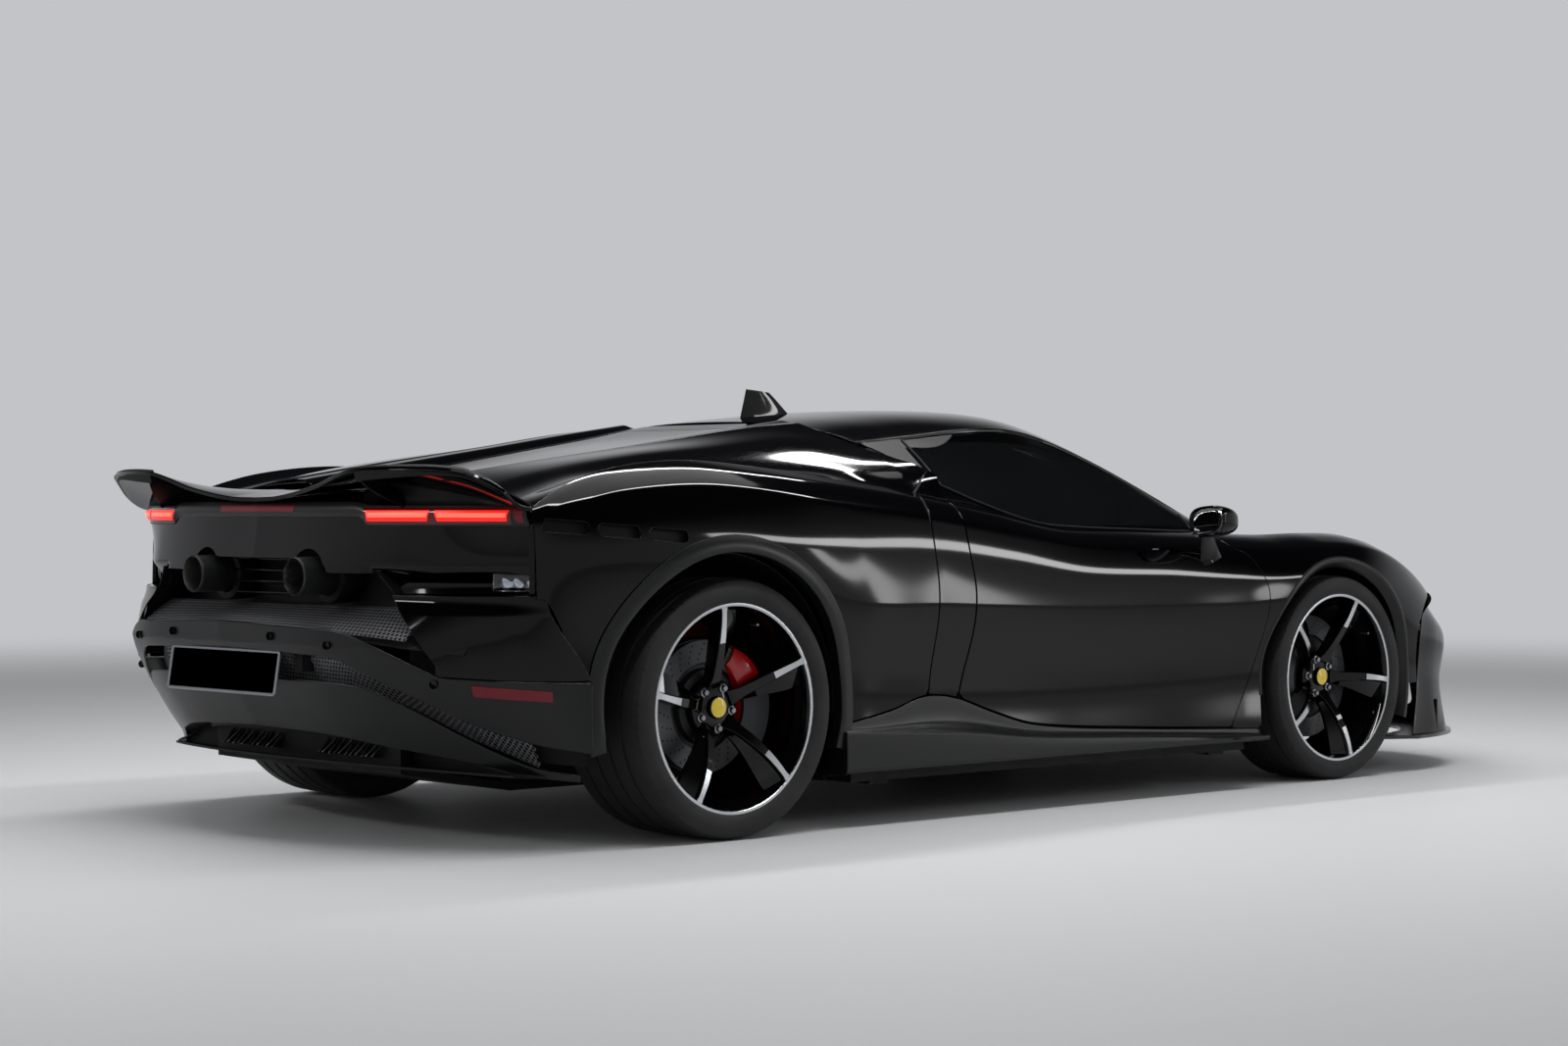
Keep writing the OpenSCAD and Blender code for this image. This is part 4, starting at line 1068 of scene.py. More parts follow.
def place(mesh: Mesh, name: str, body: str, finishes: Sequence[Finish], slot: str = "",
          replaces: Sequence[str] = (), sharp: float | None = None) -> bpy.types.Object:
    """Makes a piece and lets it ride on its body.

    Args:
        mesh: The piece in mm.
        name: Its name.
        body: Body it rides on.
        finishes: Finishes in slot order.
        slot: Material slot of the record that it takes; not used.
        replaces: CAD nodes it stands for.
        sharp: Angle above which its edges shade sharp.

    Returns:
        The object.
    """
    obj = mesh.to_object(name, [f.material() for f in finishes], sharp)
    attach(obj, body)
    if replaces:
        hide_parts(*replaces)
    LOG.info("%s: %d faces on %s", name, len(mesh.faces), body)
    return obj


class Side(Enum):
    """Side of the car."""

    LEFT = "left"
    RIGHT = "right"

    @property
    def sign(self) -> int:
        """1 on the left, -1 on the right."""
        return 1 if self is Side.LEFT else -1

    def of(self, mesh: Mesh) -> Mesh:
        """A mesh built for the left, on this side."""
        return mesh if self is Side.LEFT else mesh.mirrored()


@dataclass
class Pair:
    """A piece built for the left side and repeated on the right, with what place() needs.

    Its name, a body other than the root and a replaced node end in the side's name.
    """

    mesh: Mesh
    name: str
    body: str
    finishes: Sequence[Finish]
    slot: str
    node: str = ""
    sharp: float | None = None

    def place(self, side: Side) -> None:
        """Places it on one side."""
        end = f"_{side.value}"
        place(side.of(self.mesh), self.name + end,
              self.body if self.body == "body" else self.body + end, self.finishes, self.slot,
              [self.node + end] if self.node else (), self.sharp)


def place_pairs(*pairs: Pair) -> None:
    """Places every pair, first all on the left, then all on the right."""
    for side in Side:
        for pair in pairs:
            pair.place(side)


# ---------------------------------------------------------------- outer body


@dataclass
class RearQuarters:
    """Haunches from the B-post to the tail, with their arch flares and shoulder vents."""

    x_tail: float = -2003.0
    x_front: float = -555.0
    gap: float = 2.2
    flare_w: float = 47.0
    vent_x: tuple[float, float] = (-1985.0, -1530.0)
    lower: Curve = Curve(((-2010, 650), (-1975, 645), (-1860, 446), (-1830, 430), (-1500, 400)))
    top_front: Curve = Curve(((400, -662), (440, -656), (590, -598), (700, -502), (756, -452),
                              (790, -505), (822, -566)))
    top_rear: Curve = Curve(((330, -1896), (560, -1926), (750, -1962), (900, -2003)))

    def upper(self, x: Array, t: Array) -> Array:
        """Upper surface from the engine lid (t = 0) over the valley to the crest (t = 1)."""
        d, f, v, c = LINES.deck_edge(x), LINES.flank(x), LINES.valley(x), LINES.crest(x)
        pos = np.stack([np.full(np.shape(x), k) for k in (0.0, 0.36, 0.8, 1.0)])
        y = rows_at(pos, np.stack([q[..., 0] for q in (d, f, v, c)]), t)
        z = rows_at(pos, np.stack([q[..., 1] for q in (d, f, v, c)]), t)
        return stack(x, y, z)

    def vent_z(self, x: Array) -> Array:
        """Height of the middle of the shoulder vents."""
        return np.interp(x, (-2005, -1525), (838, 802))

    def vent(self, p: Array) -> Array:
        """Distance outside the shoulder vents."""
        best = np.full(len(p), FAR)
        dz = np.abs(p[:, 2] - self.vent_z(p[:, 0])) - 15
        for k in range(3):
            dx = np.abs(p[:, 0] - (self.vent_x[0] + 152 * k + 66)) - 62
            best = np.minimum(best, box_gap(dx, dz) - 3)
        return best

    def side_mesh(self) -> Mesh:
        """Side of the haunch."""
        def face(u: Array, v: Array) -> Array:
            """Side surface, crest to sill."""
            x = mix(self.x_tail, self.x_front, u)
            return LINES.side(x, mix(LINES.crest(x)[..., 1], 270, v))
        lower = lambda p: np.where(p[:, 0] < -1600, p[:, 2] - self.lower(p[:, 0]),
                                   p[:, 2] - LINES.side_edge(p[:, 0]) - 3)
        return Skin(face, 150, 74, trims=(
            circle_trim(LINES.rear_arch, LINES.rear_arch_r + 3), lower,
            beyond(LINES.post_front, 2, 0, -1, self.gap), self.vent)).mesh()

    def top_mesh(self) -> Mesh:
        """Upper surface of the haunch and buttress."""
        def face(u: Array, v: Array) -> Array:
            """Upper surface, tail to roof."""
            return self.upper(mix(-2006, -440, u), v)
        return Skin(face, 130, 40, hem=1.2, trims=(
            beyond(self.top_front, 1, 0, -1, self.gap), beyond(self.top_rear, 1, 0, 1, 1))).mesh()

    def flare_mesh(self) -> Mesh:
        """Satin flare round the arch, proud of the side."""
        cx, _, cz = LINES.rear_arch
        r0, r1 = LINES.rear_arch_r, LINES.rear_arch_r + self.flare_w
        a0, a1 = math.radians(-17), math.radians(193)

        def face(u: Array, v: Array) -> Array:
            """Flare from its outer edge over the crown to the lip inside the arch."""
            a = mix(a0, a1, u)
            s = np.clip(v * 1.35, 0, 1)
            turn = np.clip((v - 0.74) / 0.26, 0, 1)
            fade = smooth((a - a0) / 0.25) * smooth((a1 - a) / 0.12)
            r = mix(r1, r0, s)
            x, z = cx + r * np.cos(a), cz + r * np.sin(a)
            rise = (4 + 8 * np.sin(np.clip(s, 0, 1) * 2.2)) * (0.45 + 0.55 * fade)
            y = LINES.side_y(x, np.maximum(z, 300)) + rise - 34 * turn**1.4
            return stack(x, y, z)
        return Skin(face, 120, 18, thick=3, hem=1.0,
                    inside=(cx, 700.0, cz)).mesh()

    def vents_mesh(self) -> Mesh:
        """Dark tray behind the shoulder vents."""
        def face(u: Array, v: Array) -> Array:
            """Back of the tray."""
            x = mix(self.vent_x[0] - 8, self.vent_x[1] + 8, u)
            z = self.vent_z(x) + mix(26, -26, v)
            return LINES.side(x, z) - np.array([0, 16, 0])
        return Skin(face, 30, 4, thick=2, hem=0.5).mesh()

    def build(self) -> None:
        """Makes both quarters."""
        place_pairs(
            Pair(self.side_mesh().join(self.top_mesh()), "quarter_panel", "body", [PAINT],
                 "paint", "quarter"),
            Pair(self.flare_mesh(), "rear_arch_flare", "body", [SATIN], "carbon"),
            Pair(self.vents_mesh(), "shoulder_vent_tray", "body", [DULL], "black_plastic"))


@dataclass
class DoorPosts:
    """Narrow stepped panels between each door and its quarter."""

    step: float = 3.0
    gap: float = 2.2
    seam: float = 8.0

    def mesh(self) -> Mesh:
        """Panel for the left side."""
        def face(u: Array, v: Array) -> Array:
            """Side surface, sunk by the step."""
            x = mix(-622, -422, u)
            p = LINES.side(x, mix(LINES.crest(x)[..., 1] - 1, 300, v))
            return p - np.array([0, 1, 0]) * self.step * smooth(v * 6)[..., None]
        rear = beyond(LINES.post_front, 2, 0, 1, self.seam)
        front = beyond(LINES.door_rear, 2, 0, -1, self.gap)
        low = Skin(face, 26, 70, trims=(rear, front, above(LINES.side_edge, 3))).mesh()

        def cap(u: Array, v: Array) -> Array:
            """Shoulder on top of the post."""
            return RearQuarters().upper(mix(-580, -428, u), mix(0.8, 1.0, v))
        edge = beyond(RearQuarters().top_front, 1, 0, 1, self.gap)
        return low.join(Skin(cap, 24, 10, hem=1.0, trims=(edge,)).mesh())

    def build(self) -> None:
        """Makes both posts."""
        place_pairs(Pair(self.mesh(), "door_post_panel", "body", [PAINT], "paint"))


@dataclass
class Wings:
    """Front wings with their arch lips."""

    gap: float = 2.2
    rear_line: Curve = Curve(((560, 1200), (640, 1010), (690, 905), (745, 800), (800, 766)))
    sag: float = 22.0

    def upper(self, x: Array, w: Array) -> Array:
        """Upper surface from the bonnet (w = 0) to the crest (w = 1)."""
        e, c = LINES.bonnet_edge(x), LINES.crest(x)
        return stack(x, mix(e[..., 0] + 2, c[..., 0], w),
                     mix(e[..., 1], c[..., 1], w) - self.sag * np.sin(math.pi * w))

    def mesh(self) -> Mesh:
        """Wing for the left side."""
        def face(u: Array, v: Array) -> Array:
            """Side surface, crest to sill."""
            x = mix(730, 1985, u)
            return LINES.side(x, mix(LINES.crest(x)[..., 1], 184, v))
        rear = beyond(LINES.door_front, 2, 0, 1, self.gap)
        front = beyond(LINES.wing_front, 2, 0, -1, 1.5)
        arch = circle_trim(LINES.front_arch, LINES.front_arch_r + 1)
        side = Skin(face, 150, 74, trims=(
            rear, front, above(LINES.wing_edge, 1), arch)).mesh()

        def top(u: Array, v: Array) -> Array:
            """Upper surface, windscreen to nose."""
            return self.upper(mix(768, mix(2074, 1985, v), u), v)
        back = beyond(self.rear_line, 1, 0, 1, 1.0)
        return side.join(Skin(top, 120, 30, hem=1.2, trims=(back,)).mesh())

    def lip_mesh(self) -> Mesh:
        """Rolled lip of the arch with the satin band inside it."""
        cx, _, cz = LINES.front_arch
        r0, r1 = LINES.front_arch_r - 26, LINES.front_arch_r + 10
        a0, a1 = math.radians(-22), math.radians(186)

        def face(u: Array, v: Array) -> Array:
            """Lip from the panel to inside the arch."""
            a = mix(a0, a1, u)
            r = mix(r1, r0, v)
            x, z = cx + r * np.cos(a), cz + r * np.sin(a)
            edge = LINES.front_arch_r
            y = LINES.side_y(cx + edge * np.cos(a), np.maximum(cz + edge * np.sin(a), 200))
            y = y + 4 * np.sin(math.pi * np.clip(v * 1.6, 0, 1))
            return stack(x, y - 20 * np.clip((v - 0.45) / 0.55, 0, 1) ** 1.3 - 1.5, z)
        return Skin(face, 110, 14, thick=2.5, hem=0.8, inside=(cx, 700.0, cz)).mesh()

    def build(self) -> None:
        """Makes both wings."""
        place_pairs(Pair(self.mesh(), "front_wing", "body", [PAINT], "paint", "fender"),
                    Pair(self.lip_mesh(), "front_arch_lip", "body", [SATIN], "carbon"))


@dataclass
class Doors:
    """Door skins, shut faces, cards and belt seals."""

    gap: float = 2.2
    thick: float = 58.0

    def skin(self) -> Mesh:
        """Outer skin with the shelf below the glass."""
        def face(u: Array, v: Array) -> Array:
            """Side surface, crest to sill."""
            x = mix(-515, 905, u)
            return LINES.side(x, mix(LINES.crest(x)[..., 1], 178, v))
        rear = beyond(LINES.door_rear, 2, 0, 1, self.gap)
        front = beyond(LINES.door_front, 2, 0, -1, self.gap)
        side = Skin(face, 150, 80, trims=(rear, front, above(LINES.side_edge, 4))).mesh()

        def shelf(u: Array, v: Array) -> Array:
            """Shelf from the belt to the crest."""
            x = mix(-422, 766, u)
            b, c = LINES.belt(x), LINES.crest(x)
            return stack(x, mix(b[..., 0] + 3, c[..., 0], v),
                         mix(b[..., 1] - 2, c[..., 1], v) - 5 * np.sin(math.pi * v))
        return side.join(Skin(shelf, 110, 12, hem=1.0).mesh())

    def inner(self) -> Mesh:
        """Shut faces and the inner shell, a little inside the skin."""
        def wall(u: Array, v: Array) -> Array:
            """Inner shell."""
            z = mix(770, 235, v)
            x = mix(LINES.door_rear(z) + 24, LINES.door_front(z) - 44, u)
            return stack(x, LINES.side_y(x, z) - self.thick, z)
        card = Skin(wall, 50, 26, thick=4, hem=3.0, inside=(0.0, 5000.0, 500.0)).mesh()

        def edge(line: Curve, inset: float, shift: float) -> Mesh:
            """Shut face along one edge of the door."""
            def face(u: Array, v: Array) -> Array:
                """From just under the skin to the shell."""
                z = mix(805, 240, u)
                x = line(z) + inset
                y = LINES.side_y(x, z) - 5
                return stack(x + shift * v, y - (self.thick - 8) * v, z)
            return Skin(face, 40, 6, thick=2, hem=0.6, inside=(200.0, 880.0, 500.0)).mesh()
        return card.join(edge(LINES.door_rear, 7, 16)).join(edge(LINES.door_front, -7, -34))

    def seal(self) -> Mesh:
        """Rubber seal where the glass drops into the door."""
        x = np.linspace(-418, 740, 60)
        b = LINES.belt(x)
        return sweep(stack(x, b[:, 0] + 3, b[:, 1] + 1), rounded(9, 7, 3, 3))

    def build(self) -> None:
        """Makes both doors."""
        place_pairs(
            Pair(self.skin(), "door_skin", "door", [PAINT], "paint", "door"),
            Pair(self.inner(), "door_shell", "door", [DULL], "black_plastic"),
            Pair(self.seal(), "door_belt_seal", "door", [DULL], "black_plastic", sharp=40))


@dataclass
class Nose:
    """Front bumper with its lamp openings, bonnet, cowl and splitter."""

    gap: float = 2.0

    def __post_init__(self) -> None:
        """Sets up the lines across the nose, from the wing's edge (0) to the middle (1)."""
        def seam(z: float) -> Point:
            """Point of the seam with the wing."""
            x = float(LINES.wing_front(z)) + 5
            return (x, float(LINES.side_y(x, z)), z)
        self.rows = [Curve(r) for r in (
            ((0, (1990, 672, 603)), (0.2, (2018, 592, 578)), (0.4, (2064, 500, 556)),
             (0.55, (2088, 425, 560)), (0.8, (2092, 200, 557)), (1, (2092, 0, 556))),
            ((0, seam(590)), (0.3, (2078, 622, 548)), (0.6, (2175, 498, 506)),
             (0.85, (2238, 270, 477)), (1, (2256, 0, 466))),
            ((0, seam(520)), (0.2, (1900, 868, 492)), (0.4, (2060, 780, 452)),
             (0.6, (2190, 636, 426)), (0.8, (2288, 390, 410)), (1, (2326, 0, 405))),
            ((0, seam(310)), (0.2, (1890, 868, 290)), (0.4, (2050, 776, 284)),
             (0.6, (2185, 630, 280)), (0.8, (2278, 380, 278)), (1, (2312, 0, 275))),
            ((0, (1712, 912, 122)), (0.2, (1885, 880, 121)), (0.4, (2060, 798, 120)),
             (0.6, (2212, 650, 119)), (0.8, (2310, 400, 119)), (1, (2340, 0, 119))))]

    def face(self, u: Array, v: Array) -> Array:
        """Nose surface.

        Args:
            u: -1 at the right wing, 1 at the left one.
            v: 0 at the bonnet to 4 at the splitter.

        Returns:
            The points.
        """
        w = 1 - np.abs(u)
        pts = [r(w) for r in self.rows]
        pos = np.stack([np.full(np.shape(w), float(k)) for k in range(5)])
        x, y, z = (rows_at(pos, np.stack([p[..., k] for p in pts]), v) for k in range(3))
        edge = LINES.wing_front(z) + 5
        x = x + np.maximum(0, edge - x) * np.clip(np.abs(u) * 10 - 9, 0, 1)
        return stack(x, y * np.sign(u), z)

    def opening(self, uv: Array) -> Array:
        """Distance outside the headlamp openings, from the grid's own parameters."""
        u, v = np.abs(uv[:, 0] * 2 - 1), uv[:, 1] * 4
        top, low = mix(0.16, 0.1, (u - 0.6) / 0.35), mix(0.6, 1.02, (u - 0.6) / 0.35)
        return np.maximum(np.maximum(0.6 - u, u - 0.955) * 700,
                          np.maximum(top - v, v - low) * 62)

    def intakes(self, p: Array) -> Array:
        """Distance outside the air intakes."""
        y, z = np.abs(p[:, 1]), p[:, 2]
        best, corner = np.full(len(p), FAR), 30
        for cy, cz, hy, hz in ((0, 258, 520, 78), (690, 252, 78, 74)):
            gap = box_gap(np.abs(y - cy) - hy + corner, np.abs(z - cz) - hz + corner)
            best = np.minimum(best, gap - corner)
        return best

    def cover(self) -> Mesh:
        """Bumper cover."""
        return Skin(lambda u, v: self.face(u * 2 - 1, v * 4), 200, 90, thick=3, hem=2.0,
                    trims=(self.intakes,), windows=(self.opening,)).mesh()

    def well(self) -> Mesh:
        """Moulded liner under the bonnet, with a luggage tub let into it."""
        def face(u: Array, v: Array) -> Array:
            """From the rim at the wings (v = 0) over the tub's edge to its floor."""
            a = 2 * math.pi * u
            c, s = np.cos(a), np.sin(a)
            square = np.maximum(np.abs(c), np.abs(s))
            x = 1640 + 425 * c / square
            w = s / square * (1 - 26 / LINES.bonnet_edge(x)[..., 0])
            e = LINES.bonnet_edge(x)
            rim = stack(x, e[..., 0] * w, mix(LINES.bonnet_mid(x), e[..., 1], w**2) - 40)
            soft = (np.abs(c) ** 6 + np.abs(s) ** 6) ** (-1 / 6)
            deep = np.interp(v, (0, 0.36, 0.42, 0.74, 0.8, 1), (0, 0, 14, 340, 352, 352))
            near = np.interp(v, (0, 0.36, 0.42, 0.74, 0.8, 1), (1, 1, 0.97, 0.9, 0.86, 0.02))
            x = 1425 + 205 * c * soft * near
            tub = stack(x, 350 * s * soft * near, LINES.bonnet_mid(np.full_like(x, 1425)) - 52 - deep)
            return mix(rim, tub, smooth(v / 0.36)[..., None])
        return Skin(face, 150, 60, thick=3, hem=1.0, inside=(1425.0, 0.0, -9000.0)).mesh()

    def bonnet(self) -> Mesh:
        """Bonnet with its two long creases."""
        def face(u: Array, v: Array) -> Array:
            """Bonnet surface."""
            x, w = mix(1188, 2084, u), v * 2 - 1
            e = LINES.bonnet_edge(x)
            z = mix(LINES.bonnet_mid(x), e[..., 1], w**2) + 10 * (w**2 - w**4)
            z = z + 7 * ridge(np.abs(w), 0.62, 0.16) * smooth(u * 4)
            return stack(x, (e[..., 0] - 2.2) * w, z)
        return Skin(face, 60, 80, thick=4, hem=1.6).mesh()

    def cowl(self) -> Mesh:
        """Cowl between the windscreen and the bonnet."""
        def face(u: Array, v: Array) -> Array:
            """Cowl surface."""
            w = v * 2 - 1
            foot = LINES.canopy(np.ones_like(w), w * 0.955) + np.array([3.0, 0, -6.0])
            x = np.full(np.shape(w), 1184.0)
            front = stack(x, 585 * w, mix(LINES.bonnet_mid(x), 786, w**2) - 2)
            return mix(foot, front, u[..., None])
        return Skin(face, 10, 60, thick=3, hem=1.0).mesh()

    def splitter(self) -> Mesh:
        """Splitter blade with upturned ends."""
        def face(u: Array, v: Array) -> Array:
            """Top of the blade."""
            w = u * 2 - 1
            p = self.rows[4](1 - np.abs(w))
            front = stack(p[..., 0] + 8.5, p[..., 1] * np.sign(w) * 1.012, 120)
            back = stack(p[..., 0] - 150, p[..., 1] * np.sign(w) * 0.9, 120)
            return mix(front, back, v[..., None])
        return Skin(face, 100, 8, thick=12, hem=3.0, inside=(2000.0, 0.0, -4000.0)).mesh()

    def fin(self) -> Mesh:
        """Upright guide fin at the splitter's end."""
        pts = np.array([(0, 0), (96, 4), (150, 26), (176, 62), (150, 70), (112, 84), (60, 108),
                        (20, 120), (0, 118)], float)
        return prism(pts, 8, 2.5).placed(pose((1900, 868, 112), (-33, "Z")))

    def grilles(self) -> Mesh:
        """Dark grilles inside the intakes."""
        mesh = Mesh()
        for k in range(9):
            z = 186 + k * 18
            y = np.linspace(-515, 515, 60)
            x = np.interp(np.abs(y), (0, 380, 530), (2272, 2240, 2180))
            mesh.join(sweep(stack(x, y, z), rounded(3, 7, 1.2, 2)))
        back = Skin(lambda u, v: stack(np.interp(np.abs(u * 2 - 1), (0, 0.7, 1), (2225, 2190, 2120)),
                                       (u * 2 - 1) * 545, mix(350, 170, v)),
                    30, 4, thick=2, hem=0.5).mesh()
        return mesh.join(back)

    def build(self) -> None:
        """Makes the front."""
        place(self.cover(), "front_bumper_cover", "body", [PAINT], "paint", ["front_bumper"])
        place(self.bonnet(), "bonnet_skin", "bonnet", [PAINT], "paint", ["bonnet"])
        place(self.cowl(), "windscreen_cowl", "body", [DULL], "black_plastic", ["cowl"])
        place(self.well(), "bonnet_liner_and_luggage_tub", "body", [DULL], "black_plastic")
        place(self.splitter(), "splitter_blade", "body", [CARBON], "carbon", ["splitter"])
        place(self.fin().both(), "splitter_fins", "body", [CARBON], "carbon", sharp=35)
        place(self.grilles(), "front_grilles", "body", [DULL], "black_plastic", sharp=40)


@dataclass
class Roof:
    """Roof skin, windscreen pillars, aerial fin and all the fixed glass."""

    header: float = 0.62
    pillar: float = 0.87

    def skin(self) -> Mesh:
        """Roof panel with its rolled rail."""
        def face(u: Array, v: Array) -> Array:
            """Canopy surface over the roof."""
            return LINES.canopy(u * self.header, v * 2 - 1)
        roof = Skin(face, 70, 100, thick=4, hem=1.5, inside=(0.0, 0.0, 300.0)).mesh()

        def post(u: Array, v: Array) -> Array:
            """Windscreen pillar."""
            return LINES.canopy(mix(self.header - 0.004, 1.0, u), mix(self.pillar, 1.0, v))
        pillar = Skin(post, 50, 10, thick=10, hem=2.0, inside=(0.0, 0.0, 300.0)).mesh()

        def rail(u: Array, v: Array) -> Array:
            """Rolled edge below the roof, above the side glass."""
            x = mix(-570, 862, u)
            p = LINES.rail(x)
            a = math.pi * 0.5 * v
            return stack(x, p[..., 0] + 5 * np.sin(a) * np.cos(a) - 1,
                         p[..., 1] - 16 * v + 1)
        edge = Skin(rail, 80, 5, thick=5, hem=1.5, inside=(0.0, 0.0, 900.0)).mesh()
        return roof.join(pillar.both()).join(edge.both())

    def fin(self) -> Mesh:
        """Aerial fin, swept and hollow-sided."""
        rings = []
        for t in np.linspace(0, 1, 12):
            z = mix(1148, 1244.5, t)
            front, rear = mix(-262, -376, t**0.85), mix(-492, -468, t)
            half = mix(17, 5.5, t**0.6)
            k = np.linspace(0, 1, 14)
            shape = np.sin(math.pi * np.clip(k * 0.92 + 0.04, 0, 1)) ** 0.55
            x = mix(front, rear, k)
            height = z - 8 * (1 - k) * t**4
            rings.append(np.concatenate([stack(x, half * shape, height),
                                         stack(x, -half * shape, height)[::-1]]))
        return loft(np.array(rings))

    def screen(self, inner: bool = False) -> Mesh:
        """Windscreen, or the dark frit band round its edge."""
        h, p = self.header + 0.004, self.pillar - 0.006

        def face(u: Array, v: Array) -> Array:
            """Canopy surface between header and cowl."""
            return LINES.canopy(mix(h, 0.998, u), mix(-p, p, v))
        if not inner:
            return Skin(face, 50, 80, thick=5, hem=0.6, inside=(0.0, 0.0, 300.0)).mesh()
        band = lambda uv: np.maximum(np.abs(uv[:, 1] - 0.5) - 0.475,
                                     np.maximum(0.05 - uv[:, 0], uv[:, 0] - 0.93) * 0.8) * 1200
        return Skin(face, 60, 90, thick=0.6, hem=0.2, lift=-5.6, windows=(band,),
                    inside=(0.0, 0.0, 300.0)).mesh()

    def side_glass(self) -> Mesh:
        """Door glass, following the belt and the rail."""
        def face(u: Array, v: Array) -> Array:
            """Glass surface."""
            x = mix(-404, 734, u)
            drop = np.linalg.norm(LINES.rail(x) - LINES.belt(x), axis=-1)
            return LINES.side_glass(x, mix(15 / drop, 1 - 1 / drop, v))
        return Skin(face, 80, 20, thick=4.5, hem=0.6, inside=(0.0, 0.0, 700.0)).mesh()

    def quarter_glass(self) -> Mesh:
        """Small fixed triangle behind the door glass."""
        def face(u: Array, v: Array) -> Array:
            """Glass surface."""
            x = mix(-558, -413, u)
            return LINES.side_glass(x, mix(0.03, 0.045 + mix(0.03, 0.93, u), v))
        return Skin(face, 24, 16, thick=4.5, hem=0.6, inside=(0.0, 0.0, 700.0)).mesh()

    def sail(self) -> Mesh:
        """Black corner panel ahead of the door glass."""
        def face(u: Array, v: Array) -> Array:
            """Continues the glass surface."""
            x = mix(739, 856, u)
            drop = np.linalg.norm(LINES.rail(x) - LINES.belt(x), axis=-1)
            return LINES.side_glass(x, mix(np.minimum(10 / drop, 0.5), 0.97, v))
        return Skin(face, 20, 8, thick=4.5, hem=0.8, inside=(0.0, 0.0, 700.0)).mesh()

    def pillar_strip(self) -> Mesh:
        """Upright rubber strips at the ends of the door glass."""
        mesh = Mesh()
        for x in (-409.0, 736.5):
            w = np.linspace(0.06 if x < 0 else 0.3, 0.985, 14)
            path = LINES.side_glass(np.full(14, x), w) + np.array([0, 1.5, 0])
            mesh.join(sweep(path, rounded(7, 5, 2, 3), up=(0, 1, 0)))
        return mesh

    def build(self) -> None:
        """Makes the roof and the glass."""
        place(self.skin(), "roof_skin", "body", [PAINT], "paint", ["roof"])
        place(self.fin(), "aerial_fin", "body", [PIANO], "paint", sharp=38)
        place(self.screen(), "windscreen_glass", "body", [SCREEN], "screen_glass",
              ["windscreen"])
        place(self.screen(True), "windscreen_border", "body", [DULL], "black_plastic")
        place_pairs(
            Pair(self.side_glass(), "door_window", "door", [SIDE], "side_glass", "door_glass"),
            Pair(self.sail(), "door_sail", "door", [PIANO], "paint"),
            Pair(self.pillar_strip(), "door_glass_strips", "door", [DULL], "black_plastic",
                 sharp=40))
        place(self.quarter_glass().both(), "quarter_windows", "body", [PRIVACY], "dark_glass",
              ["quarter_glass"])


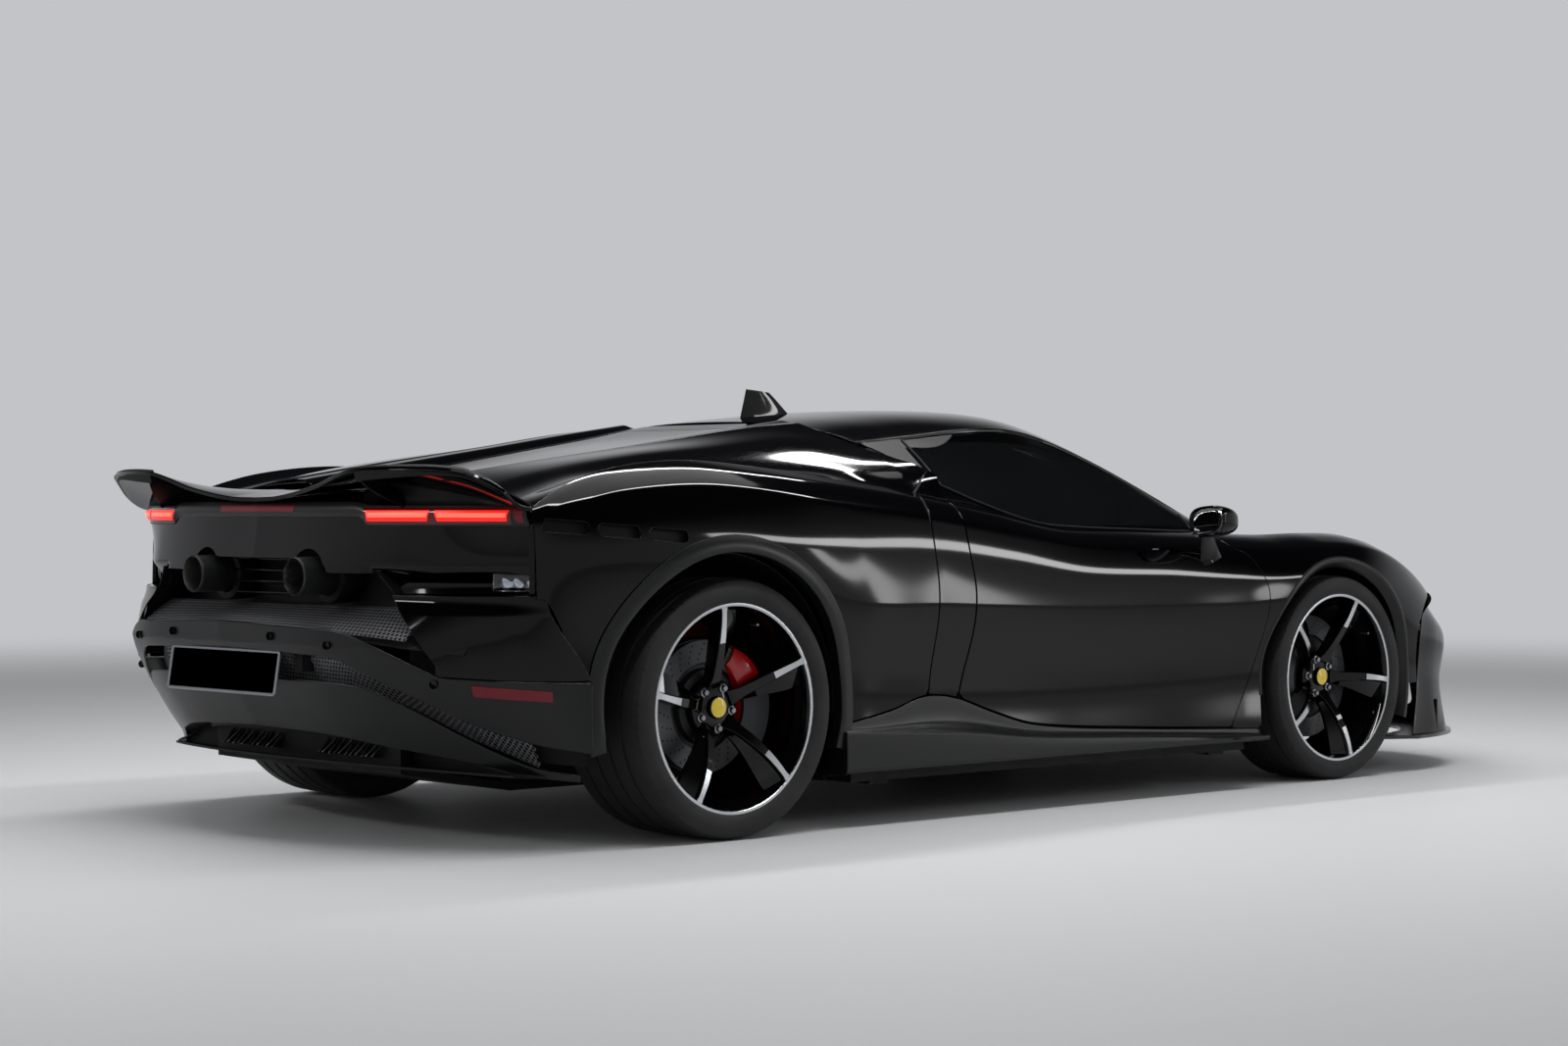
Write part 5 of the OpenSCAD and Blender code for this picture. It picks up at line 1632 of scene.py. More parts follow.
@dataclass
class Tail:
    """Rear deck, ducktail, fascia with its lamps, exhausts, bumper blades and plate."""

    lid: tuple[float, float] = (-1888.0, -664.0)
    exhaust: tuple[float, float] = (247.0, 700.0)
    tip_r: float = 51.0
    window: Sequence[tuple[float, float]] = (
        (-1560, 150), (-1500, 200), (-800, 265), (-740, 230))
    recess: Curve = Curve(((455, 755), (470, 740), (551, 678), (655, 573), (690, 538),
                           (712, 517)))
    recess_x: Curve = Curve(((455, -2150), (551, -2188), (655, -2199), (712, -2216)))
    hip_top: Curve = Curve((
        (0, (-2226, 475)), (0.3, (-2186, 615)), (0.6, (-2122, 757)), (0.85, (-2040, 862)),
        (1, (-1972, 916))))
    hip_foot: Curve = Curve((
        (0, (-2262, 560)), (0.3, (-2206, 668)), (0.6, (-2124, 775)), (0.85, (-2006, 880)),
        (1, (-1850, 946))))

    # ---- deck

    def pane(self, x: Array) -> Array:
        """Half width of the engine window."""
        return np.interp(x, [p[0] for p in self.window], [p[1] for p in self.window])

    def deck_face(self, u: Array, v: Array) -> Array:
        """Engine lid with a raised ridge along each edge."""
        x, w = mix(*self.lid, u), v * 2 - 1
        p = LINES.deck(x, w)
        lift = 9 * ridge(np.abs(w), 0.84, 0.09) - 5 * ridge(np.abs(w), 0.7, 0.06)
        return p + np.stack([0 * lift, 0 * lift, lift], -1)

    def pane_gap(self, p: Array, gap: float) -> Array:
        """Distance outside the engine window."""
        along = np.maximum(-1556 - p[:, 0], p[:, 0] + 744)
        return np.maximum(along, np.abs(p[:, 1]) - self.pane(p[:, 0])) - gap

    def lid_mesh(self) -> Mesh:
        """Painted frame of the engine lid."""
        return Skin(self.deck_face, 110, 90, thick=4, hem=1.6,
                    trims=(lambda p: self.pane_gap(p, 2.5),)).mesh()

    def pane_mesh(self) -> Mesh:
        """Engine window."""
        return Skin(self.deck_face, 110, 90, thick=4, hem=0.8, lift=-0.4,
                    trims=(lambda p: -self.pane_gap(p, 0),)).mesh()

    def louvres(self) -> Mesh:
        """Slats across the rear of the engine lid."""
        mesh = Mesh()
        for k in range(4):
            x = -1606 - 52 * k
            y = np.linspace(-150, 150, 24)
            z = LINES.deck(x, y / 345)[:, 2] + 1
            mesh.join(sweep(stack(x, y, z), rounded(26, 5, 2, 3)))
        return mesh

    # ---- ducktail

    def duck_mesh(self) -> Mesh:
        """Ducktail skin with a thick lip."""
        def face(u: Array, v: Array) -> Array:
            """Upper surface."""
            return LINES.duck(mix(-906, 906, u), v)
        return Skin(face, 140, 24, thick=11, hem=4.0, steps=5).mesh()

    def duck_back(self) -> Mesh:
        """Hollow rear face under each half of the lip, down to the lamp bar."""
        def face(u: Array, v: Array) -> Array:
            """From the lip to the lamp bar."""
            y = mix(506, 904, u)
            top = LINES.duck(y, np.ones_like(y))
            low = LINES.tail(mix(584, 904, u), 884 + 0 * y)
            p = mix(top - np.array([0, 0, 9.0]), low, v[..., None])
            inset = 50 * np.sin(math.pi * v) ** 0.8 * smooth((905 - y) / 160)
            start = 26 * (1 - v)
            p[..., 0] += inset + start * 0.3
            return p
        back = Skin(face, 70, 20, thick=4, hem=1.0, inside=(-1500.0, 600.0, 900.0)).mesh()

        def end(u: Array, v: Array) -> Array:
            """Inner end of the half."""
            y = 506 + 78 * v
            top = LINES.duck(506 + 0 * y, mix(0.3, 1.0, u))
            low = LINES.tail(y, 884 + 0 * y)
            p = mix(top - np.array([0, 0, 9.0]), low, v[..., None])
            p[..., 0] = mix(top[..., 0], p[..., 0], v * u)
            return p
        return back.join(Skin(end, 12, 10, thick=4, hem=1.0, inside=(-2100.0, 600.0, 900.0)).mesh())

    def duck_lip(self) -> Mesh:
        """Upright trailing edge of each half, deepest at its inner end."""
        def face(u: Array, v: Array) -> Array:
            """Rear face of the edge."""
            y = mix(498, 900, u)
            p = LINES.duck(y, np.ones_like(y))
            p[..., 0] += 7 * v - 5.5
            p[..., 2] -= 1.0 + mix(31, 17, smooth(u * 1.15)) * v
            return p
        return Skin(face, 60, 6, thick=14, hem=2.5, inside=(-1500.0, 600.0, 930.0)).mesh()

    # ---- fascia

    def face(self, y: Array, z: Array) -> Array:
        """Fascia with the reversing-lamp pocket pressed in."""
        w = np.abs(y)
        p = LINES.tail(y, z)
        depth = LINES.pocket_d * smooth((738 - z) / 62) * (z > 661)
        lateral = smooth((w - 470) / 26) * smooth((930 - w) / 26)
        p[..., 0] += depth * lateral
        return p

    def half(self, z: Array) -> Array:
        """Half width of the fascia at a height."""
        return 898 - 20 * np.clip((z - 780) / 88, 0, 1) ** 2

    def exhaust_gap(self, p: Array) -> Array:
        """Distance outside the recess round the exhausts."""
        w, z = np.abs(p[:, 1]), p[:, 2]
        body = np.maximum(w - self.recess(z), z - 712)
        middle = np.maximum(w - 190, z - 748)
        ring = np.hypot(w - self.exhaust[0], z - self.exhaust[1]) - 74
        return np.minimum(np.minimum(body, middle), ring)

    def fascia_mesh(self) -> Mesh:
        """Fascia between the lamp bar and the pockets' lower lip."""
        def face(u: Array, v: Array) -> Array:
            """Fascia surface."""
            z = mix(860, 661.5, v)
            return self.face(self.half(z) * (u * 2 - 1), z)
        main = Skin(face, 220, 60, thick=3, hem=1.5, trims=(self.exhaust_gap,)).mesh()
        return main.join(self.hip_mesh().both())

    def hip(self, u: Array, v: Array) -> Array:
        """Bulge below the pocket, from its shelf down to the bumper and round to the side."""
        u = mix(0.21 + 0.29 * v, 1, u)
        top, foot = self.hip_top(u), self.hip_foot(u)
        z = mix(655, mix(470, 438, u), v)
        swell = 20 * np.sin(math.pi * np.clip(v * 0.9 + 0.05, 0, 1)) * smooth(v * 4)
        p = mix(top, foot, smooth(v)[..., None] * 0.6 + v[..., None] * 0.4)
        return stack(p[..., 0] - swell * 0.8, p[..., 1] + swell * 0.35 * u, z)

    def hip_mesh(self) -> Mesh:
        """Bulge and the shelf that closes the pocket from below."""
        skin = Skin(self.hip, 70, 44, thick=3, hem=2.4, inside=(-1700.0, 500.0, 560.0)).mesh()

        def shelf(u: Array, v: Array) -> Array:
            """Floor of the pocket."""
            edge = self.hip_top(mix(0.21, 1, u))
            out = stack(edge[..., 0], edge[..., 1], 655)
            deep = out + stack(52, -10 * u, 8)
            return mix(out, deep, v[..., None])
        return skin.join(Skin(shelf, 50, 6, thick=2, hem=0.6, inside=(-2100.0, 600.0, 0.0)).mesh())

    def corner_strip(self) -> Mesh:
        """Upright dark strip at the fascia's outer edge."""
        def face(u: Array, v: Array) -> Array:
            """Between the fascia and the quarter's seam."""
            z = mix(832, 664, v)
            y = self.half(z) + mix(2, 12, u)
            return stack(mix(-2012, -2004, u), y, z)
        return Skin(face, 3, 30, thick=6, hem=1.0).mesh()

    def recess_box(self) -> Mesh:
        """Dark cavity round the exhausts, from the fascia to the mesh shelf."""
        def face(u: Array, v: Array) -> Array:
            """Curved back wall."""
            y = mix(-760, 760, u)
            z = mix(785, 540, v)
            return stack(-2110 + 50 * (np.abs(y) / 600) ** 2, y, z)
        wall = Skin(face, 60, 10, thick=3, hem=0.5, inside=(0.0, 0.0, 650.0)).mesh()

        def cheek(u: Array, v: Array) -> Array:
            """Side wall from the fascia's and the bulge's inner edges to the back wall."""
            z = mix(716, 458, u)
            return stack(self.recess_x(z) + 8 + 120 * v, self.recess(z) + 16 * v, z)
        side = Skin(cheek, 30, 6, thick=3, hem=0.5, inside=(-2100.0, 4000.0, 650.0)).mesh()
        return wall.join(side.both())

    def slats(self) -> Mesh:
        """Bright-edged slats between the exhausts."""
        mesh = Mesh()
        for z in (742, 712, 682, 652):
            y = np.linspace(-178, 178, 20)
            mesh.join(sweep(stack(-2178 + 8 * (y / 178) ** 2, y, z), rounded(34, 5, 2, 3)))
        return mesh

    def at_exhausts(self, mesh: Mesh, x: float) -> Mesh:
        """A turned piece set on both exhausts at a station, facing back."""
        y, z = self.exhaust
        both = Mesh()
        for s in (1, -1):
            both.join(mesh.placed(pose((x, s * y, z), (-90, "Z"))))
        return both

    def exhausts(self) -> Mesh:
        """Tips with rolled rims: matt outside, bright inside."""
        r = self.tip_r
        outer = lathe([(r - 3.2, -2), (r - 1.2, 0), (r + 0.6, 2.5), (r, 8), (r - 1, 150),
                       (r - 6, 160), (r - 7, 155), (r - 7, 152)], 64, close=False)
        inner = lathe([(r - 7, 152), (r - 7, 120), (r - 6, 12), (r - 3.2, -2)], 64, close=False)
        plug = lathe([(r - 7, 150), (20, 150), (18, 130), (0.5, 130)], 64, close=False)
        return self.at_exhausts(outer.join(inner, 1).join(plug, 2), -2282)

    def collars(self) -> Mesh:
        """Heat-shield collars behind the tips."""
        ring = lathe([(53, 0), (70, 2), (73, 10), (72, 60), (56, 70), (53, 64)], 64)
        return self.at_exhausts(ring, -2176)

    # ---- lamps

    def bar_mesh(self) -> Mesh:
        """Slim bar across the tail that carries the lamps."""
        def face(u: Array, v: Array) -> Array:
            """Bar surface."""
            y = mix(-896, 896, u)
            top, low = self.bar_edges(y)
            return self.bar_point(y, mix(top, low, v))
        return Skin(face, 160, 10, thick=8, hem=2.0).mesh()

    def bar_edges(self, y: Array) -> tuple[Array, Array]:
        """Upper and lower edge of the bar, which is deeper where the lamps are."""
        w = np.abs(y)
        return mix(895, 885, smooth((w - 420) / 60)), mix(857, 834, smooth((w - 438) / 36))

    def bar_point(self, y: Array, z: Array) -> Array:
        """Point of the bar's rounded face."""
        top, low = self.bar_edges(y)
        p = LINES.tail(y, z)
        p[..., 0] -= 2 + 7 * np.sin(math.pi * np.clip((top - z) / (top - low), 0, 1))
        return p

    def lamp_strip(self, y0: float, y1: float, z0: float, z1: float, lift: float,
                   ends: float = 0.0) -> Mesh:
        """Strip of lamp on the bar's face.

        Args:
            y0: Inner end.
            y1: Outer end.
            z0: Lower edge.
            z1: Upper edge.
            lift: Height above the bar.
            ends: How far the lower edge is shorter at each end.

        Returns:
            Its mesh.
        """
        def face(u: Array, v: Array) -> Array:
            """Strip surface."""
            y = mix(y0 + ends * v, y1 - ends * v, u)
            z = mix(z1, z0, v)
            p = self.bar_point(y, z)
            p[..., 0] -= lift
            return p
        return Skin(face, 30, 6, thick=4, hem=0.8).mesh()

    def lamps(self) -> None:
        """Lit segments, dark ends, third brake lamp and reversing lamps."""
        bed, lit, core = Mesh(), Mesh(), Mesh()
        bed.join(self.lamp_strip(456, 872, 838, 880, 1.0, 8))
        for y0, y1 in ((466, 670), (684, 866)):
            lit.join(self.lamp_strip(y0, y1, 846, 873, 2.2, 8))
            core.join(self.lamp_strip(y0 + 8, y1 - 5, 856, 866, 3.4, 2))
        tip = self.lamp_strip(874, 893, 842, 878, 2.0, 3)
        place(bed.both(), "tail_lamp_lenses", "body", [RED_COVER], "lamp_red", ["tail_lamps"])
        place(lit.both(), "tail_lamp_light_guides", "body", [LIT_RED], "lamp_red")
        place(core.both(), "tail_lamp_cores", "body", [LIT_CORE], "lamp_red")
        place(tip.both(), "tail_lamp_corners", "body", [DARK_RED], "lamp_red")
        place(self.lamp_strip(-178, 178, 869, 886, 1.2, 1), "third_brake_lamp", "body",
              [DARK_RED], "lamp_red")

        def lens(u: Array, v: Array) -> Array:
            """Domed lens in the pocket."""
            y, z = mix(800, 890, u), mix(728, 668, v)
            p = self.face(y, z)
            dome = np.sin(math.pi * np.clip(u, 0, 1)) ** 0.5 * np.sin(math.pi * v) ** 0.5
            p[..., 0] = self.face(845 + 0 * y, 664 + 0 * z)[..., 0] - 2 - 14 * dome \
                + (y - 845) * 0.86
            return p
        glass = Skin(lens, 20, 16, thick=2.5, hem=1.0).mesh()
        bowl = Skin(lambda u, v: lens(u, v) + np.array([17.0, 0, 0])
                    + 9 * np.sin(u * 22)[..., None] * np.array([0.4, 0, 0]),
                    40, 16, thick=2, hem=1.0).mesh()
        place(glass.both(), "reversing_lamp_covers", "body", [COVER], "lamp_glass")
        place(bowl.both(), "reversing_lamp_reflectors", "body", [CHROME], "lamp_glass")

    # ---- bumper

    def band(self, top: Curve, foot: Curve, lift: float, curl: float, thick: float,
             reach: tuple[float, float] = (-1.0, 1.0)) -> Mesh:
        """Blade on the bumper's surface between two lines.

        Args:
            top: Upper line over |u|.
            foot: Lower line over |u|.
            lift: How far it stands off the bumper.
            curl: How far its lower edge tucks under.
            thick: Thickness.
            reach: Range of u.

        Returns:
            Its mesh.
        """
        def face(u: Array, v: Array) -> Array:
            """Blade surface."""
            s = mix(*reach, u)
            w = np.abs(s)
            z = mix(top(w), foot(w), v)
            p = LINES.bumper_at(s, z)
            out = unit(stack(-1 + w**3 * 0.6, np.sign(s) * w**3, 0 * w))
            roll = lift * (1 - 0.9 * (2 * v - 1) ** 4) - curl * np.clip(v - 0.6, 0, 1) ** 2
            p = p + out * roll[..., None]
            p[..., 2] = z
            return p
        return Skin(face, 200, 24, thick=thick, hem=5.0, steps=6,
                    inside=(-1700.0, 0.0, 400.0)).mesh()

    def bumper_mesh(self) -> Mesh:
        """Upper blade, running into the bumper's sides."""
        foot = Curve(((0, 514), (0.3, 504), (0.44, 492), (0.56, 430), (0.7, 352), (0.8, 306),
                      (0.9, 276), (1, 258)))
        return self.band(LINES.bumper_top, foot, 0, 10, 4)

    def blade_mesh(self) -> Mesh:
        """Lower blade."""
        top = Curve(((0, 436), (0.4, 424), (0.5, 412), (0.57, 376), (0.69, 298), (0.8, 234),
                     (0.88, 206), (1, 192)))
        foot = Curve(((0, 300), (0.3, 288), (0.5, 262), (0.69, 226), (0.8, 206), (0.88, 192),
                      (1, 184)))
        return self.band(top, foot, 0, 0, 4, (-0.97, 0.97))

    def hexes(self, face: Surface, nu: int, nv: int, wire: float) -> Mesh:
        """Honeycomb mesh drawn on a surface.

        Args:
            face: Surface to follow.
            nu: Cells along u.
            nv: Cells along v.
            wire: Share of a cell that its wall takes.

        Returns:
            Its mesh.
        """
        cu, cv = np.meshgrid(np.arange(nu), np.arange(nv), indexing="ij")
        cu, cv = cu.ravel() + 0.5 * (cv.ravel() % 2), cv.ravel()
        a = np.arange(6) * math.pi / 3 + math.pi / 6
        reach_u, reach_v = 0.577, 0.667  # of a hexagon's corners, in cells across and along
        mesh = Mesh()
        pts, faces = [], []
        for ring in (1.0, 1 - wire):
            u = (cu[:, None] + 0.5 + reach_u * ring * np.cos(a)) / (nu + 1)
            v = (cv[:, None] + 0.5 + reach_v * ring * np.sin(a)) / nv
            pts.append(face(np.clip(u, 0, 1).ravel(), np.clip(v, 0, 1).ravel()))
        k = len(pts[0])
        back = pts[1] + np.array([3.0, 0, 0])
        for c in range(len(cu)):
            for e in range(6):
                i, j = c * 6 + e, c * 6 + (e + 1) % 6
                faces.append((i, j, j + k, i + k))
                faces.append((i + k, j + k, j + 2 * k, i + 2 * k))
        mesh.add(np.concatenate(pts + [back]), faces)
        return mesh

    def meshes(self) -> Mesh:
        """Honeycomb of the shelf under the exhausts and of the bumper's opening."""
        def shelf(u: Array, v: Array) -> Array:
            """Sloping shelf."""
            y = mix(-650, 650, u)
            out = np.interp(np.abs(y), (0, 350, 650), (-2296, -2284, -2232))
            return stack(mix(out + 14, -2120, v), y, mix(566 - 22 * (np.abs(y) / 600) ** 2, 622, v))
        mesh = self.hexes(shelf, 84, 10, 0.3)

        def opening(s: int) -> Surface:
            """Opening between the blades on one side."""
            def face(u: Array, v: Array) -> Array:
                """Set-back surface."""
                w = mix(0.1, 0.86, u)
                z = mix(np.interp(w, (0.1, 0.44, 0.56, 0.7, 0.86), (522, 500, 440, 362, 292)),
                        np.interp(w, (0.1, 0.44, 0.56, 0.7, 0.86), (424, 408, 374, 284, 206)), v)
                p = LINES.bumper_at(w, z)
                return stack(p[..., 0] + 52, (p[..., 1] - 30) * s, z)
            return face
        for s in (1, -1):
            mesh.join(self.hexes(opening(s), 64, 9, 0.26))
        return mesh

    def linings(self) -> Mesh:
        """Dark closing sheets behind the honeycomb and under the shelf."""
        def back(u: Array, v: Array) -> Array:
            """Wall behind the bumper's opening."""
            s = mix(-0.96, 0.96, u)
            w = np.abs(s)
            z = mix(LINES.bumper_top(w) - 26, LINES.bumper_foot(w) + 14, v)
            p = LINES.bumper_at(s, z)
            return stack(p[..., 0] + 80, p[..., 1] * 0.95, z)
        wall = Skin(back, 90, 10, thick=3, hem=0.5, inside=(-1500.0, 0.0, 400.0)).mesh()

        def floor(u: Array, v: Array) -> Array:
            """Sheet just below the shelf's honeycomb."""
            y = mix(-790, 790, u)
            out = np.interp(np.abs(y), (0, 350, 650, 790), (-2290, -2278, -2226, -2150))
            return stack(mix(out + 14, -2080, v), y,
                         mix(553 - 26 * (np.abs(y) / 600) ** 2, 608, v))
        return wall.join(Skin(floor, 60, 8, thick=3, hem=0.5, inside=(-2200.0, 0.0, 0.0)).mesh())

    def undertray(self) -> Mesh:
        """Underside from the lower blade forward, and the thin tray lip below it."""
        def under(u: Array, v: Array) -> Array:
            """Dark underside, tucked in behind the blade."""
            s = mix(-0.9, 0.9, u)
            w = np.abs(s)
            low = np.interp(w, (0, 0.3, 0.5, 0.69, 0.8, 0.9), (302, 290, 264, 228, 208, 192))
            p = LINES.bumper_at(s, low)
            far = stack(-2085 + 120 * w**2, p[..., 1] * 0.92, low + 10)
            return mix(p + np.array([5.0, 0, 2.0]), far, v[..., None])
        mesh = Skin(under, 80, 12, thick=4, hem=1.0, inside=(-2100.0, 0.0, 2000.0)).mesh()

        def lip(u: Array, v: Array) -> Array:
            """Tray lip."""
            y = mix(-806, 806, v)
            w = np.abs(y) / 806
            return stack(mix(-2140 + 150 * w**2, -1990 + 100 * w**2, u), y,
                         mix(208 - 10 * w**2, 190, u))
        mesh.join(Skin(lip, 8, 60, thick=7, hem=2.4, inside=(-2100.0, 0.0, 0.0)).mesh())

        def wall(u: Array, v: Array) -> Array:
            """Dark wall ahead of the tray, up to the underside."""
            y = mix(-800, 800, u)
            w = np.abs(y) / 800
            return stack(-2064 + 100 * w**2, y, mix(310 - 90 * w**2, 192, v))
        return mesh.join(Skin(wall, 40, 6, thick=3, hem=0.5, inside=(0.0, 0.0, 250.0)).mesh())

    def underfins(self) -> Mesh:
        """Bright heat-shield vanes in the gap between the lower blade and the tray."""
        mesh = Mesh()
        shape = np.array([(-2112, 222), (-2040, 214), (-2034, 258), (-2084, 266)])
        for k, y in enumerate(np.linspace(-360, 360, 30)):
            if abs(y) > 110:
                mesh.join(prism(shape - np.array([0, 240]), 2.4, 0.6).placed(
                    pose((0, y, 240), (24 + 9 * math.sin(2.3 * k), "X"))))
        return mesh

    def plate(self) -> tuple[Mesh, Mesh]:
        """Blank plate and its frame, leaning back."""
        face = prism(rounded(512, 104, 6), 4, 0.8)
        edge = rounded(520, 112, 8)
        edge = np.append(edge, edge[:2], 0)
        frame = sweep(stack(edge[:, 0], 0, edge[:, 1]), rounded(9, 8, 2.5, 3), up=(0, 1, 0))
        turn = pose((-2342, 0, 449), (-90, "Z"), (-9, "X"))
        return face.placed(turn), frame.placed(turn)

    def fittings(self) -> None:
        """Parking sensors and side reflectors."""
        dots = Mesh()
        for s, z in ((0.2, 546.0), (0.42, 528.0), (0.68, 432.0)):
            for sign in (1, -1):
                p = LINES.bumper_at(np.array([s * sign]), np.array([z]))[0]
                near = LINES.bumper_at(np.array([(s + 0.02) * sign]), np.array([z]))[0] - p
                yaw = math.atan2(-near[0] * sign, near[1] * sign)
                disc = lathe([(0.2, -3), (8.5, -3), (10.5, -2), (11, 2), (11, 8)], 28, close=False)
                dots.join(disc.placed(Matrix.Translation((p[0] + 0.8, p[1], z))
                                      @ Matrix.Rotation(math.pi / 2 - sign * yaw, 4, "Z")))
        place(dots, "parking_sensors", "body", [PIANO], "black_plastic", sharp=40)

        def strip(u: Array, v: Array) -> Array:
            """Reflector in the bumper's side."""
            w = mix(0.77, 0.93, u)
            p = LINES.bumper_at(w, mix(mix(428, 412, u), mix(402, 388, u), v))
            p[..., 1] += 2
            p[..., 0] -= 2
            return p
        place(Skin(strip, 30, 6, thick=4, hem=1.6, inside=(-1700.0, 300.0, 400.0)).mesh().both(),
              "side_reflectors", "body", [DARK_RED], "lamp_red")

    def build(self) -> None:
        """Makes the whole tail."""
        place(self.lid_mesh(), "engine_lid_frame", "engine_lid", [PAINT], "paint",
              ["engine_lid"])
        place(self.pane_mesh(), "engine_window", "engine_lid", [SIDE], "dark_glass",
              ["engine_lid_glass"])
        place(self.louvres(), "engine_lid_louvres", "engine_lid", [SATIN], "black_plastic",
              sharp=40)
        duck = self.duck_mesh().join(self.duck_lip().join(self.duck_back()).both(), 1)
        place(duck, "ducktail", "body", [PAINT, DULL], "paint", ["spoiler"])
        place(self.fascia_mesh(), "tail_fascia", "body", [PAINT], "paint", ["tail_panel"])
        place(self.corner_strip().both(), "fascia_corner_strips", "body", [DULL],
              "black_plastic")
        place(self.recess_box(), "exhaust_recess", "body", [DULL], "black_plastic")
        place(self.slats(), "exhaust_slats", "body", [PIANO], "black_plastic", sharp=40)
        place(self.exhausts(), "exhaust_tips", "body", [COATED, STAINLESS, DULL], "dark_steel",
              ["exhaust"], sharp=50)
        place(self.collars(), "exhaust_collars", "body", [DULL], "dark_steel", sharp=40)
        place(self.bar_mesh(), "tail_lamp_bar", "body", [SATIN], "black_plastic")
        self.lamps()
        place(self.bumper_mesh(), "rear_bumper_blade", "body", [SATIN], "black_plastic",
              ["diffuser"])
        place(self.blade_mesh(), "lower_blade", "body", [SATIN], "black_plastic")
        # The honeycomb's grey is a painted highlight on its edges
        place(self.meshes(), "rear_honeycomb", "body", [PERFORATED_PAINTED_HIGHLIGHT], "black_plastic", sharp=30)
        place(self.underfins(), "rear_heat_vanes", "body", [STEEL], "dark_steel", sharp=30)
        place(self.linings(), "rear_linings", "body", [DULL], "black_plastic")
        place(self.undertray(), "rear_undertray", "body", [DULL], "carbon", sharp=40)
        face, frame = self.plate()
        place(face, "plate_face", "body", [PLATE], "black_plastic", ["plate"], sharp=40)
        place(frame, "plate_frame", "body", [STEEL], "black_plastic", sharp=40)
        self.fittings()


# ---------------------------------------------------------------- wheels


